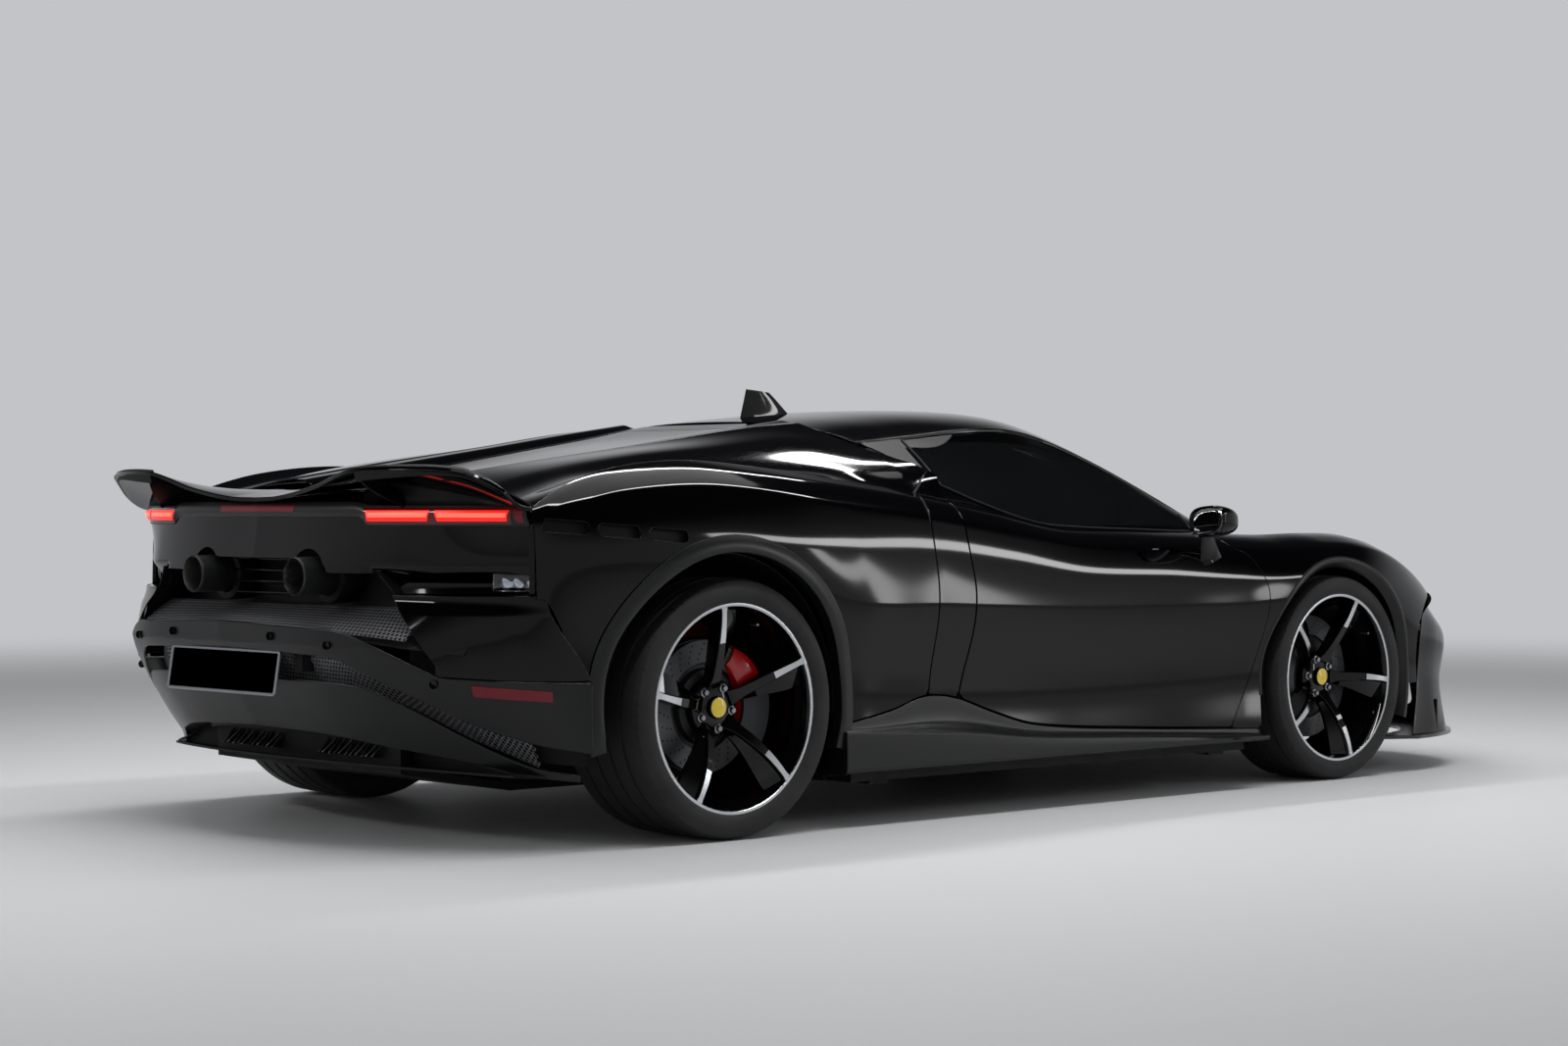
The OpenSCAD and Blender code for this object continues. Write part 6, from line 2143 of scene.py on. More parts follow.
@dataclass
class Wheel:
    """Wheel built about its own middle, outer face towards +Y, sizes in mm."""

    centre: Point
    tyre_r: float
    width: float
    lip_r: float
    disc_r: float
    first_deg: float
    dish: float = 75.0
    spokes: int = 5
    bolt_circle_r: float = 57.1

    @property
    def face_y(self) -> float:
        """Height of the spokes' outer ends over the wheel's middle."""
        return self.width / 2 - 11

    @property
    def hub_y(self) -> float:
        """Height of the hub's face."""
        return self.face_y - self.dish

    @property
    def disc_y(self) -> float:
        """Height of the brake disc's middle."""
        return self.hub_y - 70

    def tyre(self) -> Mesh:
        """Tyre with rounded shoulders, rim guard and grooved tread."""
        r, h, lip = self.tyre_r, self.width / 2, self.lip_r
        grooves = [k * self.width / 5.4 for k in (-1.5, -0.5, 0.5, 1.5)]
        tread = []
        for y in np.linspace(-h + 26, h - 26, 15):
            drop = 3.5 * (abs(y) / h) ** 3
            tread.append((r - drop, y))
        for g in grooves:
            tread = [q for q in tread if abs(q[1] - g) > 8]
            drop = 3.5 * (abs(g) / h) ** 3
            tread += [(r - drop, g - 5), (r - drop - 7, g - 3.6), (r - drop - 7, g + 3.6),
                      (r - drop, g + 5)]
        tread.sort(key=lambda q: q[1])
        wall = [(r - 4.5, h - 18), (r - 9, h - 9), (r - 18, h - 3.5), (r - 32, h - 0.4),
                (mix(r, lip, 0.62), h), (lip + 13, h - 2.5), (lip + 8, h - 4), (lip + 3, h - 9),
                (lip - 6, h - 14)]
        other = [(q[0], -q[1]) for q in wall[::-1]]
        return lathe(tread + wall + other, 100)

    def sipe_shade(self) -> Mesh:
        """Short cross sipes at the shoulders, as thin dark inlays of painted shade in place of cut
        grooves.
        """
        mesh = Mesh()
        count = 70
        r, h = self.tyre_r, self.width / 2
        for k in range(count):
            a = 2 * math.pi * k / count
            for s in (1, -1):
                path = []
                for t in np.linspace(0, 1, 6):
                    y = s * mix(h - 34, h - 7, t)
                    rr = np.interp(abs(y), (h - 34, h - 18, h - 9, h - 4),
                                   (r - 2.4, r - 4.5, r - 9, r - 16)) - 0.6
                    b = a + 0.012 * t * s
                    path.append(polar(rr, b, y))
                mesh.join(sweep(np.array(path), rounded(2.2, 2.0, 0.6, 1), up=polar(1, a, 0)))
        return mesh

    def rim(self) -> Mesh:
        """Barrel with its lip: slot 0 enamel, slot 1 the turned lip."""
        h, lip = self.width / 2, self.lip_r
        face = self.face_y
        barrel = lathe([(lip - 9, face - 1), (lip - 13, face - 8), (lip - 18, face - 22),
                        (lip - 24, face - 60), (lip - 27, -h + 30), (lip - 12, -h + 16),
                        (lip, -h + 14), (lip + 1, -h + 20), (lip - 14, -h + 34),
                        (lip - 17, face - 60), (lip - 8, face - 14), (lip + 1, face - 6),
                        (lip + 1, face - 1)], 120, close=False)
        turned = lathe([(lip + 1, face - 1), (lip, face + 0.6), (lip - 3, face + 1.2),
                        (lip - 7.5, face + 0.8), (lip - 9, face - 1)], 120, close=False)
        return barrel.join(turned, 1)

    def spoke_line(self, t: Array) -> tuple[Array, Array]:
        """Radius and height of a spoke's face from hub (0) to lip (1)."""
        r = mix(52.0, self.lip_r - 6, t)
        y = self.face_y - self.dish * (1 - t) ** 1.7 * (1 - 0.25 * t) - 1.5
        return r, y

    def spoke(self) -> Mesh:
        """One bladed spoke along +X: a narrow face and a broad twisted blade behind it."""
        count = 26
        t = np.linspace(0, 1, count)
        r, y = self.spoke_line(t)
        half = mix(13.0, 8.0, smooth(t)) + 8 * np.clip(0.14 - t, 0, 1) / 0.14 \
            + 2.5 * smooth((t - 0.92) / 0.08)
        bend = 10 * np.sin(math.pi * t) * 0.6
        rings = []
        for k in range(count):
            w = half[k]
            tail_w = mix(24, 66, float(smooth(t[k] * 1.15)))
            deep = mix(44, 58, t[k])
            c = bend[k]
            ring = [(r[k], y[k], -w + c), (r[k], y[k], w + c), (r[k], y[k] - 1.6, w + 1.6 + c),
                    (r[k], y[k] - 9, w + 2.4 + c), (r[k], y[k] - deep * 0.55, w * 0.9 + 5 + c),
                    (r[k], y[k] - deep, w * 0.5 + c + 4), (r[k], y[k] - deep, -tail_w * 0.62 + c),
                    (r[k], y[k] - deep * 0.72, -tail_w + c), (r[k], y[k] - deep * 0.5, -tail_w + c),
                    (r[k], y[k] - 11, -w - 4 + c), (r[k], y[k] - 1.6, -w - 1.6 + c)]
            rings.append(ring)
        return loft(np.array(rings, float))

    def inlay(self) -> Mesh:
        """Turned strip on the outer part of a spoke's face."""
        t = np.linspace(0.56, 0.995, 22)
        r, y = self.spoke_line(t)
        half = mix(13.0, 8.0, smooth(t)) + 2.5 * smooth((t - 0.92) / 0.08) - 0.6
        c = 6 * np.sin(math.pi * t)
        rings = np.stack([stack(r, y + 0.5, c - half), stack(r, y + 0.5, c + half),
                          stack(r, y - 0.8, c + half + 0.5), stack(r, y - 0.8, c - half - 0.5)], 1)
        return loft(rings)

    def hub(self) -> Mesh:
        """Hub bell that the bolts sit on."""
        face = self.hub_y
        return lathe([(0.5, face + 6), (26, face + 6), (29, face + 4), (31, face - 4),
                      (66, face - 8), (76, face - 14), (80, face - 30), (76, face - 62),
                      (0.5, face - 62)], 80, close=False)

    def cap(self) -> Mesh:
        """Plain domed wheel cap in a thin ring."""
        face = self.hub_y + 6
        dome = lathe([(0.3, face + 4.6), (12, face + 4.0), (22, face + 2.4), (26.5, face + 1.2),
                      (27, face - 2)], 48, close=False)
        ring = lathe([(26.6, face + 1.5), (28.6, face + 2.6), (30, face + 1), (30, face - 3)], 48,
                     close=False)
        return dome.join(ring, 1)

    def bolts(self) -> Mesh:
        """Five wheel bolts with hexagonal heads."""
        mesh = Mesh()
        for k in range(5):
            a = math.radians(self.first_deg + 36 + 72 * k)
            head = lathe([(0.3, 13), (7.2, 13), (8.6, 11.6), (9.2, 2)], 6, close=False)
            skirt = lathe([(9.0, 5), (12.4, 3.4), (13, 0), (13, -5)], 28, close=False)
            dish = lathe([(3.8, 13.05), (3.8, 9.5), (0.2, 9.5)], 12, close=False)
            bolt = head.join(skirt).join(dish)
            mesh.join(bolt.placed(pose(polar(self.bolt_circle_r, a, self.hub_y - 8))))
        return mesh

    def valve(self) -> Mesh:
        """Tyre valve near the lip."""
        a = math.radians(self.first_deg + 40)
        stem = lathe([(0.3, 30), (3.4, 30), (3.8, 28), (3.8, 14), (2.6, 13), (2.6, 0)], 14,
                     close=False)
        return stem.placed(pose(polar(self.lip_r - 40, a, self.width / 2 - 62)))

    def disc(self) -> Mesh:
        """Drilled and vented brake disc with its bell."""
        mid, r = self.disc_y, self.disc_r
        faces = lathe([(r - 62, mid + 18), (r - 1.5, mid + 18), (r, mid + 16.5), (r, mid + 6),
                       (r - 7, mid + 5), (r - 7, mid - 5), (r, mid - 6), (r, mid - 16.5),
                       (r - 1.5, mid - 18), (r - 62, mid - 18)], 120)
        bell = lathe([(r - 60, mid + 6), (r - 64, mid + 9), (r - 76, mid + 10),
                      (r - 80, mid + 30), (60, mid + 34), (60, mid + 26), (r - 88, mid + 22),
                      (r - 84, mid - 2), (r - 60, mid - 4)], 80)
        return faces.join(bell, 1)

    def drilled_hole_shade(self) -> Mesh:
        """Cross-drilled holes, as dark dimples of painted shade on the disc's outer face."""
        mesh = Mesh()
        dot = lathe([(0.2, 0.35), (2.6, 0.35), (2.9, 0)], 8, close=False)
        for k in range(24):
            for j in range(4):
                a = 2 * math.pi * (k + j * 0.22) / 24
                mesh.join(dot.placed(pose(polar(self.disc_r - 12 - j * 13, a,
                                                self.disc_y + 18))))
        return mesh

    def caliper(self, middle_deg: float, span_deg: float) -> Mesh:
        """Monobloc caliper over the disc's edge.

        Args:
            middle_deg: Direction of its middle.
            span_deg: Angle that it covers.

        Returns:
            Its mesh, in the wheel's own frame.
        """
        mid, r = self.disc_y, self.disc_r
        count = 24
        rings = []
        for k in range(count):
            t = k / (count - 1)
            a = math.radians(middle_deg + span_deg * (t - 0.5))
            swell = float(np.sin(math.pi * np.clip(t, 0.02, 0.98)) ** 0.4)
            waist = 1 - 0.16 * float(ridge(t, 0.5, 0.07))
            outer = r + 7 + 17 * swell
            inner = r - 76 * (0.5 + 0.5 * swell)
            front = mid + 20 + 32 * swell * waist
            pts = [(inner, mid + 21), (inner + 5, front - 6), (inner + 16, front),
                   (outer - 26, front), (outer - 9, front - 6), (outer, front - 22),
                   (outer, mid - 26), (outer - 10, mid - 40), (inner + 12, mid - 40),
                   (inner, mid - 21), (r + 3, mid - 21), (r + 3, mid + 21)]
            rings.append([polar(q, a, y) for q, y in pts])
        return loft(np.array(rings))

    def mounted(self, mesh: Mesh) -> Mesh:
        """A mesh moved to the wheel's place on the left side."""
        return mesh.placed(Matrix.Translation(self.centre))

    def build(self, axle: str) -> None:
        """Makes the left and right wheels of an axle.

        Args:
            axle: "front" or "rear".
        """
        spokes, inlays = Mesh(), Mesh()
        for k in range(self.spokes):
            turn = Matrix.Rotation(-math.radians(self.first_deg + 72 * k), 4, "Y")
            spokes.join(self.spoke().placed(turn))
            inlays.join(self.inlay().placed(turn))
        rows = (
            (self.tyre(), "tyre_carcass", [RUBBER], "tyre", f"tyre_{axle}", 30),
            # Sipes: dark strips of painted shade on the tread
            (self.sipe_shade(), "tyre_sipes_painted_shade", [DULL], "tyre", "", 40),
            (self.rim().join(self.hub()), "rim_barrel", [WHEEL, TURNED], "rim_black",
             f"rim_{axle}", 40),
            (spokes, "rim_spokes", [WHEEL], "rim_black", "", 32),
            (inlays, "rim_turned_strips", [TURNED], "rim_black", "", 30),
            (self.cap(), "wheel_cap", [YELLOW, TRIM], "rim_black", "", 50),
            (self.bolts().join(self.valve()), "wheel_bolts", [STEEL], "dark_steel", "", 30),
            (self.disc(), "brake_disc", [CERAMIC, ARM], "dark_steel", "", 40),
            # Drillings: dark dots of painted shade on the disc
            (self.drilled_hole_shade(), "disc_holes_painted_shade", [DULL], "dark_steel", "", None))
        place_pairs(*(Pair(self.mounted(mesh), f"{name}_{axle}", f"wheel_{axle}", finishes, slot,
                           node, sharp) for mesh, name, finishes, slot, node, sharp in rows))


@dataclass
class Running:
    """All four wheels with their calipers."""

    front: Wheel = field(default_factory=lambda: Wheel(
        (1275.0, 818.5, 330.5), 330.5, 255.0, 270.0, 199.0, -3.5))
    rear: Wheel = field(default_factory=lambda: Wheel(
        (-1375.0, 815.5, 348.0), 348.0, 325.0, 280.0, 180.0, 26.0))

    def build(self) -> None:
        """Makes wheels and calipers."""
        self.front.build("front")
        self.rear.build("rear")
        place_pairs(*(
            Pair(wheel.mounted(wheel.caliper(middle, span)), name, body, [CALIPER], "dark_steel",
                 sharp=35)
            for wheel, middle, span, name, body in (
                (self.front, 176, 92, "front_caliper", "knuckle"),
                (self.rear, 7, 98, "rear_caliper", "body"))))


# ---------------------------------------------------------------- sills and mirrors


@dataclass
class Sills:
    """Side skirts: a scooped panel over a blade that rises towards the rear wheel."""

    x0: float = -966.0
    x1: float = 868.0
    crease: Curve = Curve((
        (-966, 266), (-495, 243), (-187, 214), (300, 190), (788, 165), (868, 160)))
    reach: float = 967.0
    foot_z: float = 150.0
    root: tuple[float, float] = (893.0, 141.0)

    def face(self, u: Array, v: Array) -> Array:
        """Outer face.

        Args:
            u: 0 at the rear wheel, 1 at the front one.
            v: 0 under the door, 1 at the floor's edge.

        Returns:
            The points.
        """
        x = mix(self.x0, self.x1, u)
        edge = LINES.side_edge(x) - 5
        top = LINES.side_y(x, edge)
        crest = np.minimum(self.crease(x), edge - 14)
        rows = ((0.0, top, edge), (0.3, mix(top, self.reach, 0.2), mix(edge, crest, 0.72)),
                (0.47, self.reach - 7, crest + 2), (0.52, self.reach, crest - 4),
                (0.84, self.reach + 1, self.foot_z + 12), (0.9, self.reach - 8, self.foot_z),
                (1.0, *self.root))
        pos = np.stack([np.full(np.shape(x), r[0]) for r in rows])
        y, z = (rows_at(pos, np.stack([r[k] + 0 * x for r in rows]), v) for k in (1, 2))
        return stack(x, y, z)

    def mesh(self) -> Mesh:
        """One skirt with its closed ends."""
        skirt = Skin(self.face, 110, 48, thick=5, hem=1.4).mesh()
        for station, ahead in ((0.0, 4000.0), (1.0, -4000.0)):
            def end(u: Array, v: Array, at: float = station) -> Array:
                """End wall from the outer face in to the floor."""
                p = self.face(np.full(np.shape(u), at), u)
                return mix(p, stack(p[..., 0], self.root[0], p[..., 2]), v[..., None])
            skirt.join(Skin(end, 40, 3, thick=3, hem=0.8, inside=(ahead, 900.0, 200.0)).mesh())
        return skirt

    def build(self) -> None:
        """Makes both skirts."""
        place(self.mesh().both(), "side_skirts_bladed", "body", [SATIN], "carbon",
              ["side_skirts"])


@dataclass
class Mirrors:
    """Door mirrors: a rounded pod with its glass facing back, on a bladed stalk."""

    tip_x: float = 677.0
    centre: tuple[float, float] = (977.0, 838.0)
    half: tuple[float, float] = (69.0, 48.0)
    lean: float = 0.09
    points: int = 48
    square: float = 0.68

    def ring(self, x: float, scale: float, lower: float = 0.0) -> Array:
        """Cross-section of the pod.

        Args:
            x: Its station.
            scale: Its size against the full section.
            lower: How far its middle lies below the full section's.

        Returns:
            Its points.
        """
        a = full_turn(self.points)
        dy = self.half[0] * scale * squarish(np.cos(a), self.square)
        dz = self.half[1] * scale * squarish(np.sin(a), self.square)
        return stack(x, self.centre[0] + dy, self.centre[1] + dz + self.lean * dy - lower)

    def pod(self) -> Mesh:
        """Shell with its rolled rear rim."""
        rings = [self.ring(x, s) for x, s in (
            (562, 0.9), (553, 0.91), (550.6, 0.93), (550, 0.95), (551, 0.975), (554, 0.992),
            (560, 1.0))]
        for k in range(1, 19):
            t = math.sin(math.pi / 2 * k / 18)
            rings.append(self.ring(mix(560.0, self.tip_x, t),
                                   max((1 - t**2.3) ** 0.5, 0.02), 5 * t))
        return loft(np.array(rings))

    def glass(self) -> Mesh:
        """Crowned mirror glass inside the rim."""
        return loft(np.array([self.ring(x, s) for x, s in (
            (561, 0.88), (557.6, 0.885), (557, 0.87), (556.3, 0.6), (556.0, 0.3), (555.9, 0.02))]))

    def stalk(self) -> Mesh:
        """Blade-shaped stalk from the door's shoulder to the pod."""
        a = full_turn(36)
        rings = []
        for t in np.linspace(0, 1, 12):
            cx, cz = mix(660, 604, smooth(t)), mix(712, 806, t)
            cy = mix(900, 948, t**1.4)
            wide = mix(46, 30, t) + 10 * (1 - t) ** 4
            thin = mix(14, 10, t) + 6 * (1 - t) ** 4
            rings.append(stack(cx + wide * np.cos(a), cy + thin * np.sin(a),
                               cz + 0.32 * wide * np.cos(a) * (1 - t)))
        return loft(np.array(rings))

    def build(self) -> None:
        """Makes both mirrors."""
        place_pairs(
            Pair(self.pod().join(self.stalk()), "mirror_shell", "door", [PAINT], "paint",
                 "mirror", 40),
            Pair(self.glass(), "mirror_glass", "door", [MIRROR], "lamp_glass", sharp=40))


# ---------------------------------------------------------------- cabin


@dataclass(frozen=True)
class Pad:
    """One stuffed and sewn pad of a seat, drawn along its middle line in side view, in mm."""

    line: tuple[tuple[float, float], ...]
    half_w: float
    thick: float
    offset: float = 0.0
    flutes: int = 0
    waist: float = 0.05
    depth: float = 5.0
    groove: float = 5.0

    def mesh(self, count: int = 44, around: int = 40) -> Mesh:
        """Crowned closed form with sewn channels across it.

        Args:
            count: Steps along the pad.
            around: Steps round its section.

        Returns:
            Its mesh about the seat's middle plane.
        """
        path, length = drawn(self.line)
        s = (1 - np.cos(np.linspace(0, math.pi, count + 1))) / 2
        s = mix(s, np.linspace(0, 1, count + 1), 0.6)
        p = path(s)
        t = unit(np.gradient(p, s, axis=0))
        n = np.stack([-t[:, 1], t[:, 0]], -1)
        a = full_turn(around)
        fall = np.clip(1 - np.abs(2 * s - 1) ** 9, 0.02, 1) ** 0.5
        wide = self.half_w * (1 - self.waist * np.sin(math.pi * s)) * mix(0.86, 1.0, fall)
        up = squarish(np.sin(a), 0.8)[None] * self.thick * fall[:, None]
        across = squarish(np.cos(a), 0.62)[None] * wide[:, None]
        crown = 1 - 0.22 * (across / self.half_w) ** 4
        cut = sum((np.exp(-(((s - (k + 1) / (self.flutes + 1)) * length) / self.groove) ** 2)
                   for k in range(self.flutes)), np.zeros_like(s))
        top = np.clip(np.sin(a), 0, 1)[None] ** 0.4
        up = up * crown - self.depth * cut[:, None] * top
        rings = stack(p[:, :1] + n[:, :1] * up, self.offset + across, p[:, 1:] + n[:, 1:] * up)
        return loft(rings)


@dataclass
class Seats:
    """Two bucket seats: a moulded shell with sewn hide pads."""

    y: float = 360.0
    cushion: Pad = Pad(((150, 268), (60, 262), (-90, 236), (-230, 236), (-330, 262)), 150, 40,
                       flutes=5)
    cushion_side: Pad = Pad(((158, 262), (60, 282), (-90, 272), (-240, 286), (-330, 318)), 46, 46,
                            offset=182)
    back: Pad = Pad(((-312, 330), (-356, 460), (-408, 620), (-446, 770)), 146, 36, flutes=6)
    back_side: Pad = Pad(((-290, 330), (-322, 460), (-378, 620), (-446, 752)), 44, 46, offset=180)
    head: Pad = Pad(((-450, 800), (-474, 880), (-488, 944)), 118, 34, depth=4.0)

    def shell(self) -> Mesh:
        """Moulded seat shell, from the cushion's nose round to the headrest."""
        path, _ = drawn([(160, 236), (60, 206), (-160, 190), (-320, 214), (-392, 330),
                         (-446, 520), (-496, 760), (-520, 950)])
        width = Curve(((0, 205), (0.3, 222), (0.5, 226), (0.72, 224), (0.86, 176), (0.94, 136),
                       (1, 118)))

        def face(u: Array, v: Array) -> Array:
            """Shell with its sides turned up towards the sitter."""
            w = v * 2 - 1
            p, e = path(u), 0.004
            t = unit(path(np.minimum(u + e, 1)) - path(np.maximum(u - e, 0)))
            rise = 62 * np.abs(w) ** 3.2 * np.sin(math.pi * np.clip(u * 1.15, 0, 1)) ** 0.5
            return stack(p[..., 0] + t[..., 1] * rise, width(u) * w, p[..., 1] - t[..., 0] * rise)
        return Skin(face, 70, 36, thick=8, hem=4, inside=(-100.0, 0.0, 700.0)).mesh()

    def rails(self) -> Mesh:
        """Runners and side brackets that carry the shell on the floor."""
        mesh = Mesh()
        for y in (-150, 150):
            path = stack(np.linspace(-330, 130, 8), y, 148)
            mesh.join(sweep(path, rounded(34, 16, 4)))
            for x in (-280, 70):
                path = stack(x, y, np.linspace(150, 206, 6))
                mesh.join(sweep(path, rounded(60, 8, 3), up=(0, 1, 0)))
        return mesh

    def build(self) -> None:
        """Makes both seats."""
        lift = Matrix.Translation((0, self.y, 0))
        pads = (("cushion", self.cushion.mesh()), ("back", self.back.mesh()),
                ("headrest", self.head.mesh()),
                ("cushion_bolsters", self.cushion_side.mesh().both()),
                ("back_bolsters", self.back_side.mesh().both()))
        for side in Side:
            for name, mesh in pads:
                obj = place(side.of(mesh.placed(lift)), f"seat_{name}_{side.value}", "body",
                            [HIDE], "leather", ["seats"], sharp=70)
            place(side.of(self.shell().placed(lift)), f"seat_shell_{side.value}", "body", [PIANO],
                  "black_plastic", ["seats"])
            place(side.of(self.rails().placed(lift)), f"seat_runners_{side.value}", "body",
                  [ARM], "dark_steel", ["seats"], sharp=40)


@dataclass
class Cabin:
    """Dashboard, steering wheel, console, door cards, headlining and carpets."""

    wheel_at: Point = (430.0, 360.0, 700.0)
    wheel_tilt: float = -66.0
    wheel_r: float = 172.0

    def dash(self) -> Mesh:
        """Hide-covered dashboard with a hooded binnacle ahead of the driver."""
        line = Curve(((0, (600, 566)), (0.16, (582, 600)), (0.3, (590, 668)), (0.42, (606, 728)),
                      (0.54, (650, 764)), (0.72, (748, 780)), (1, (858, 784))))

        def face(u: Array, v: Array) -> Array:
            """Top and rear face of the dashboard."""
            y = (u * 2 - 1) * 636
            p = line(v)
            hood = ridge(y, 360, 150) * ridge(v, 0.5, 0.16)
            roll = 14 * ridge(v, 0.33, 0.05)
            return stack(p[..., 0] - 26 * hood + roll * 0.8, y, p[..., 1] + 26 * hood)
        return Skin(face, 90, 40, thick=5, hem=3, inside=(800.0, 0.0, 600.0)).mesh()

    def vents(self) -> Mesh:
        """Round air vents with their bezels on the dashboard's face."""
        mesh = Mesh()
        ring = lathe([(26, -5), (33, -5), (36, -2), (36, 12), (26, 12)], 40)
        vane = lathe([(0.3, 2), (24, 2), (24, 6), (0.3, 6)], 30, close=False)
        for y in (-560, -80, 80, 550):
            spot = pose((589, y, 690), (-90, "Z"))
            mesh.join(ring.placed(spot)).join(vane.placed(spot))
        return mesh

    def display(self) -> Mesh:
        """Instrument and centre displays."""
        wide = prism(rounded(250, 84, 10), 8, 1.5)
        small = prism(rounded(150, 62, 8), 8, 1.5)
        mesh = wide.placed(pose((578, 360, 722), (90, "Z"), (18, "X")))
        return mesh.join(small.placed(pose((586, 0, 628), (90, "Z"))))

    def wheel(self) -> tuple[Mesh, Mesh]:
        """Flat-bottomed steering wheel: its hide rim and pad, and its alloy spokes."""
        a = np.linspace(0, 2 * math.pi, 97)
        x, y = self.wheel_r * np.cos(a), self.wheel_r * np.sin(a)
        x = np.maximum(x, -146 + 10 * np.cos(2 * a))
        rim = sweep(stack(x, y, 0 * a), circle(14.5, 20) * np.array([1.0, 1.12]))
        pad = prism(rounded(118, 112, 34, 8), 46, 12, axis="z").placed(pose((-8, 0, -20)))
        column = lathe([(0.3, 0), (32, 0), (30, 60), (34, 110), (34, 150), (0.3, 150)], 36,
                       close=False).placed(pose((0, 0, -12), (-90, "X")))
        spokes = Mesh()
        for turn, reach in ((90, 168), (-90, 168), (180, 146)):
            q = np.array([(30, -17), (90, -12), (reach, -15), (reach, 15), (90, 12), (30, 17)])
            spokes.join(prism(q, 10, 2.5, axis="z").placed(
                Matrix.Rotation(math.radians(turn), 4, "Z") @ Matrix.Translation((0, 0, -6))))
        at = pose(self.wheel_at, (self.wheel_tilt, "Y"))
        return rim.join(pad).join(column).placed(at), spokes.placed(at)

    def console(self) -> Mesh:
        """Padded tunnel between the seats."""
        top = Curve(((-556, 330), (-300, 352), (0, 344), (300, 352), (520, 430), (640, 540)))

        def face(u: Array, v: Array) -> Array:
            """Sides and crowned top."""
            x, a = mix(-556, 640, u), math.pi * v
            return stack(x, -108 * squarish(np.cos(a), 0.35),
                         mix(142, top(x), squarish(np.sin(a), 0.4)))
        return Skin(face, 60, 40, thick=4, hem=2, inside=(0.0, 0.0, 200.0)).mesh()

    def door_card(self) -> Mesh:
        """Inner door trim with its armrest."""
        def face(u: Array, v: Array) -> Array:
            """Trim surface, from the belt down to the sill."""
            x = mix(-380, 690, u)
            z = mix(LINES.belt(x)[..., 1] - 24, 300, v)
            rest = 34 * ridge(z, 560, 34) * smooth((x + 330) / 160) * smooth((560 - x) / 160)
            y = np.minimum(LINES.side_y(x, z) - 78, LINES.belt(x)[..., 0] - 26 + (1 - v) * 4)
            return stack(x, y - rest, z)
        return Skin(face, 60, 50, thick=4, hem=2, inside=(100.0, 1400.0, 500.0)).mesh()

    def headlining(self) -> Mesh:
        """Suede lining under the roof."""
        def face(u: Array, v: Array) -> Array:
            """Lining surface."""
            return (LINES.canopy(mix(0.04, 0.6, u), mix(-0.93, 0.93, v))
                    - np.array([0.0, 0.0, 34.0]))
        return Skin(face, 40, 40, thick=6, hem=3, inside=(0.0, 0.0, 500.0)).mesh()

    def bulkhead(self) -> Mesh:
        """Trimmed wall behind the seats, with a roll over its top."""
        drop = lambda y: 120 * smooth((np.abs(y) - 560) / 140)

        def face(u: Array, v: Array) -> Array:
            """Wall and its rolled top."""
            y = (u * 2 - 1) * 700
            return stack(-574 + 8 * np.cos(y / 45.0) * (1 - v), y,
                         mix(150, 893 - drop(y), v))
        wall = Skin(face, 80, 24, thick=4, hem=3, inside=(-2000.0, 0.0, 500.0)).mesh()

        def shelf(u: Array, v: Array) -> Array:
            """Parcel shelf over the wall."""
            y = (u * 2 - 1) * 700
            return stack(mix(-574, -640, v), y, 896 - drop(y) + 6 * np.sin(math.pi * v))
        return wall.join(Skin(shelf, 60, 8, thick=4, hem=3).mesh())

    def carpet(self) -> Mesh:
        """Floor carpet in both footwells and under the seats."""
        def face(u: Array, v: Array) -> Array:
            """Carpet, rising to the toe board."""
            x, y = mix(-570, 856, u), mix(116, 790, v)
            return stack(x, y, 141 + 250 * smooth((x - 660) / 260))
        return Skin(face, 50, 20, thick=3, hem=2, inside=(0.0, 400.0, -900.0)).mesh().both()

    def build(self) -> None:
        """Makes the cabin."""
        Seats().build()
        place(self.dash(), "dashboard_cover", "body", [HIDE], "leather", ["dashboard"])
        place(self.vents(), "dashboard_vents", "body", [TRIM], "black_plastic", ["dashboard"],
              sharp=40)
        place(self.display(), "dashboard_displays", "body", [SCREENFACE], "black_plastic",
              ["dashboard"], sharp=40)
        rim, spokes = self.wheel()
        place(rim, "steering_wheel_rim", "body", [HIDE], "leather", ["steering_wheel"], sharp=50)
        place(spokes, "steering_wheel_spokes", "body", [TRIM], "dark_steel", ["steering_wheel"],
              sharp=40)
        place(self.console(), "centre_console", "body", [HIDE], "leather")
        place_pairs(Pair(self.door_card(), "door_card", "door", [HIDE], "leather"))
        place(self.headlining(), "roof_lining", "body", [SUEDE], "leather")
        place(self.bulkhead(), "rear_bulkhead_trim", "body", [SUEDE], "leather")
        place(self.carpet(), "floor_carpets", "body", [CARPET], "leather")


# ---------------------------------------------------------------- engine and lamps


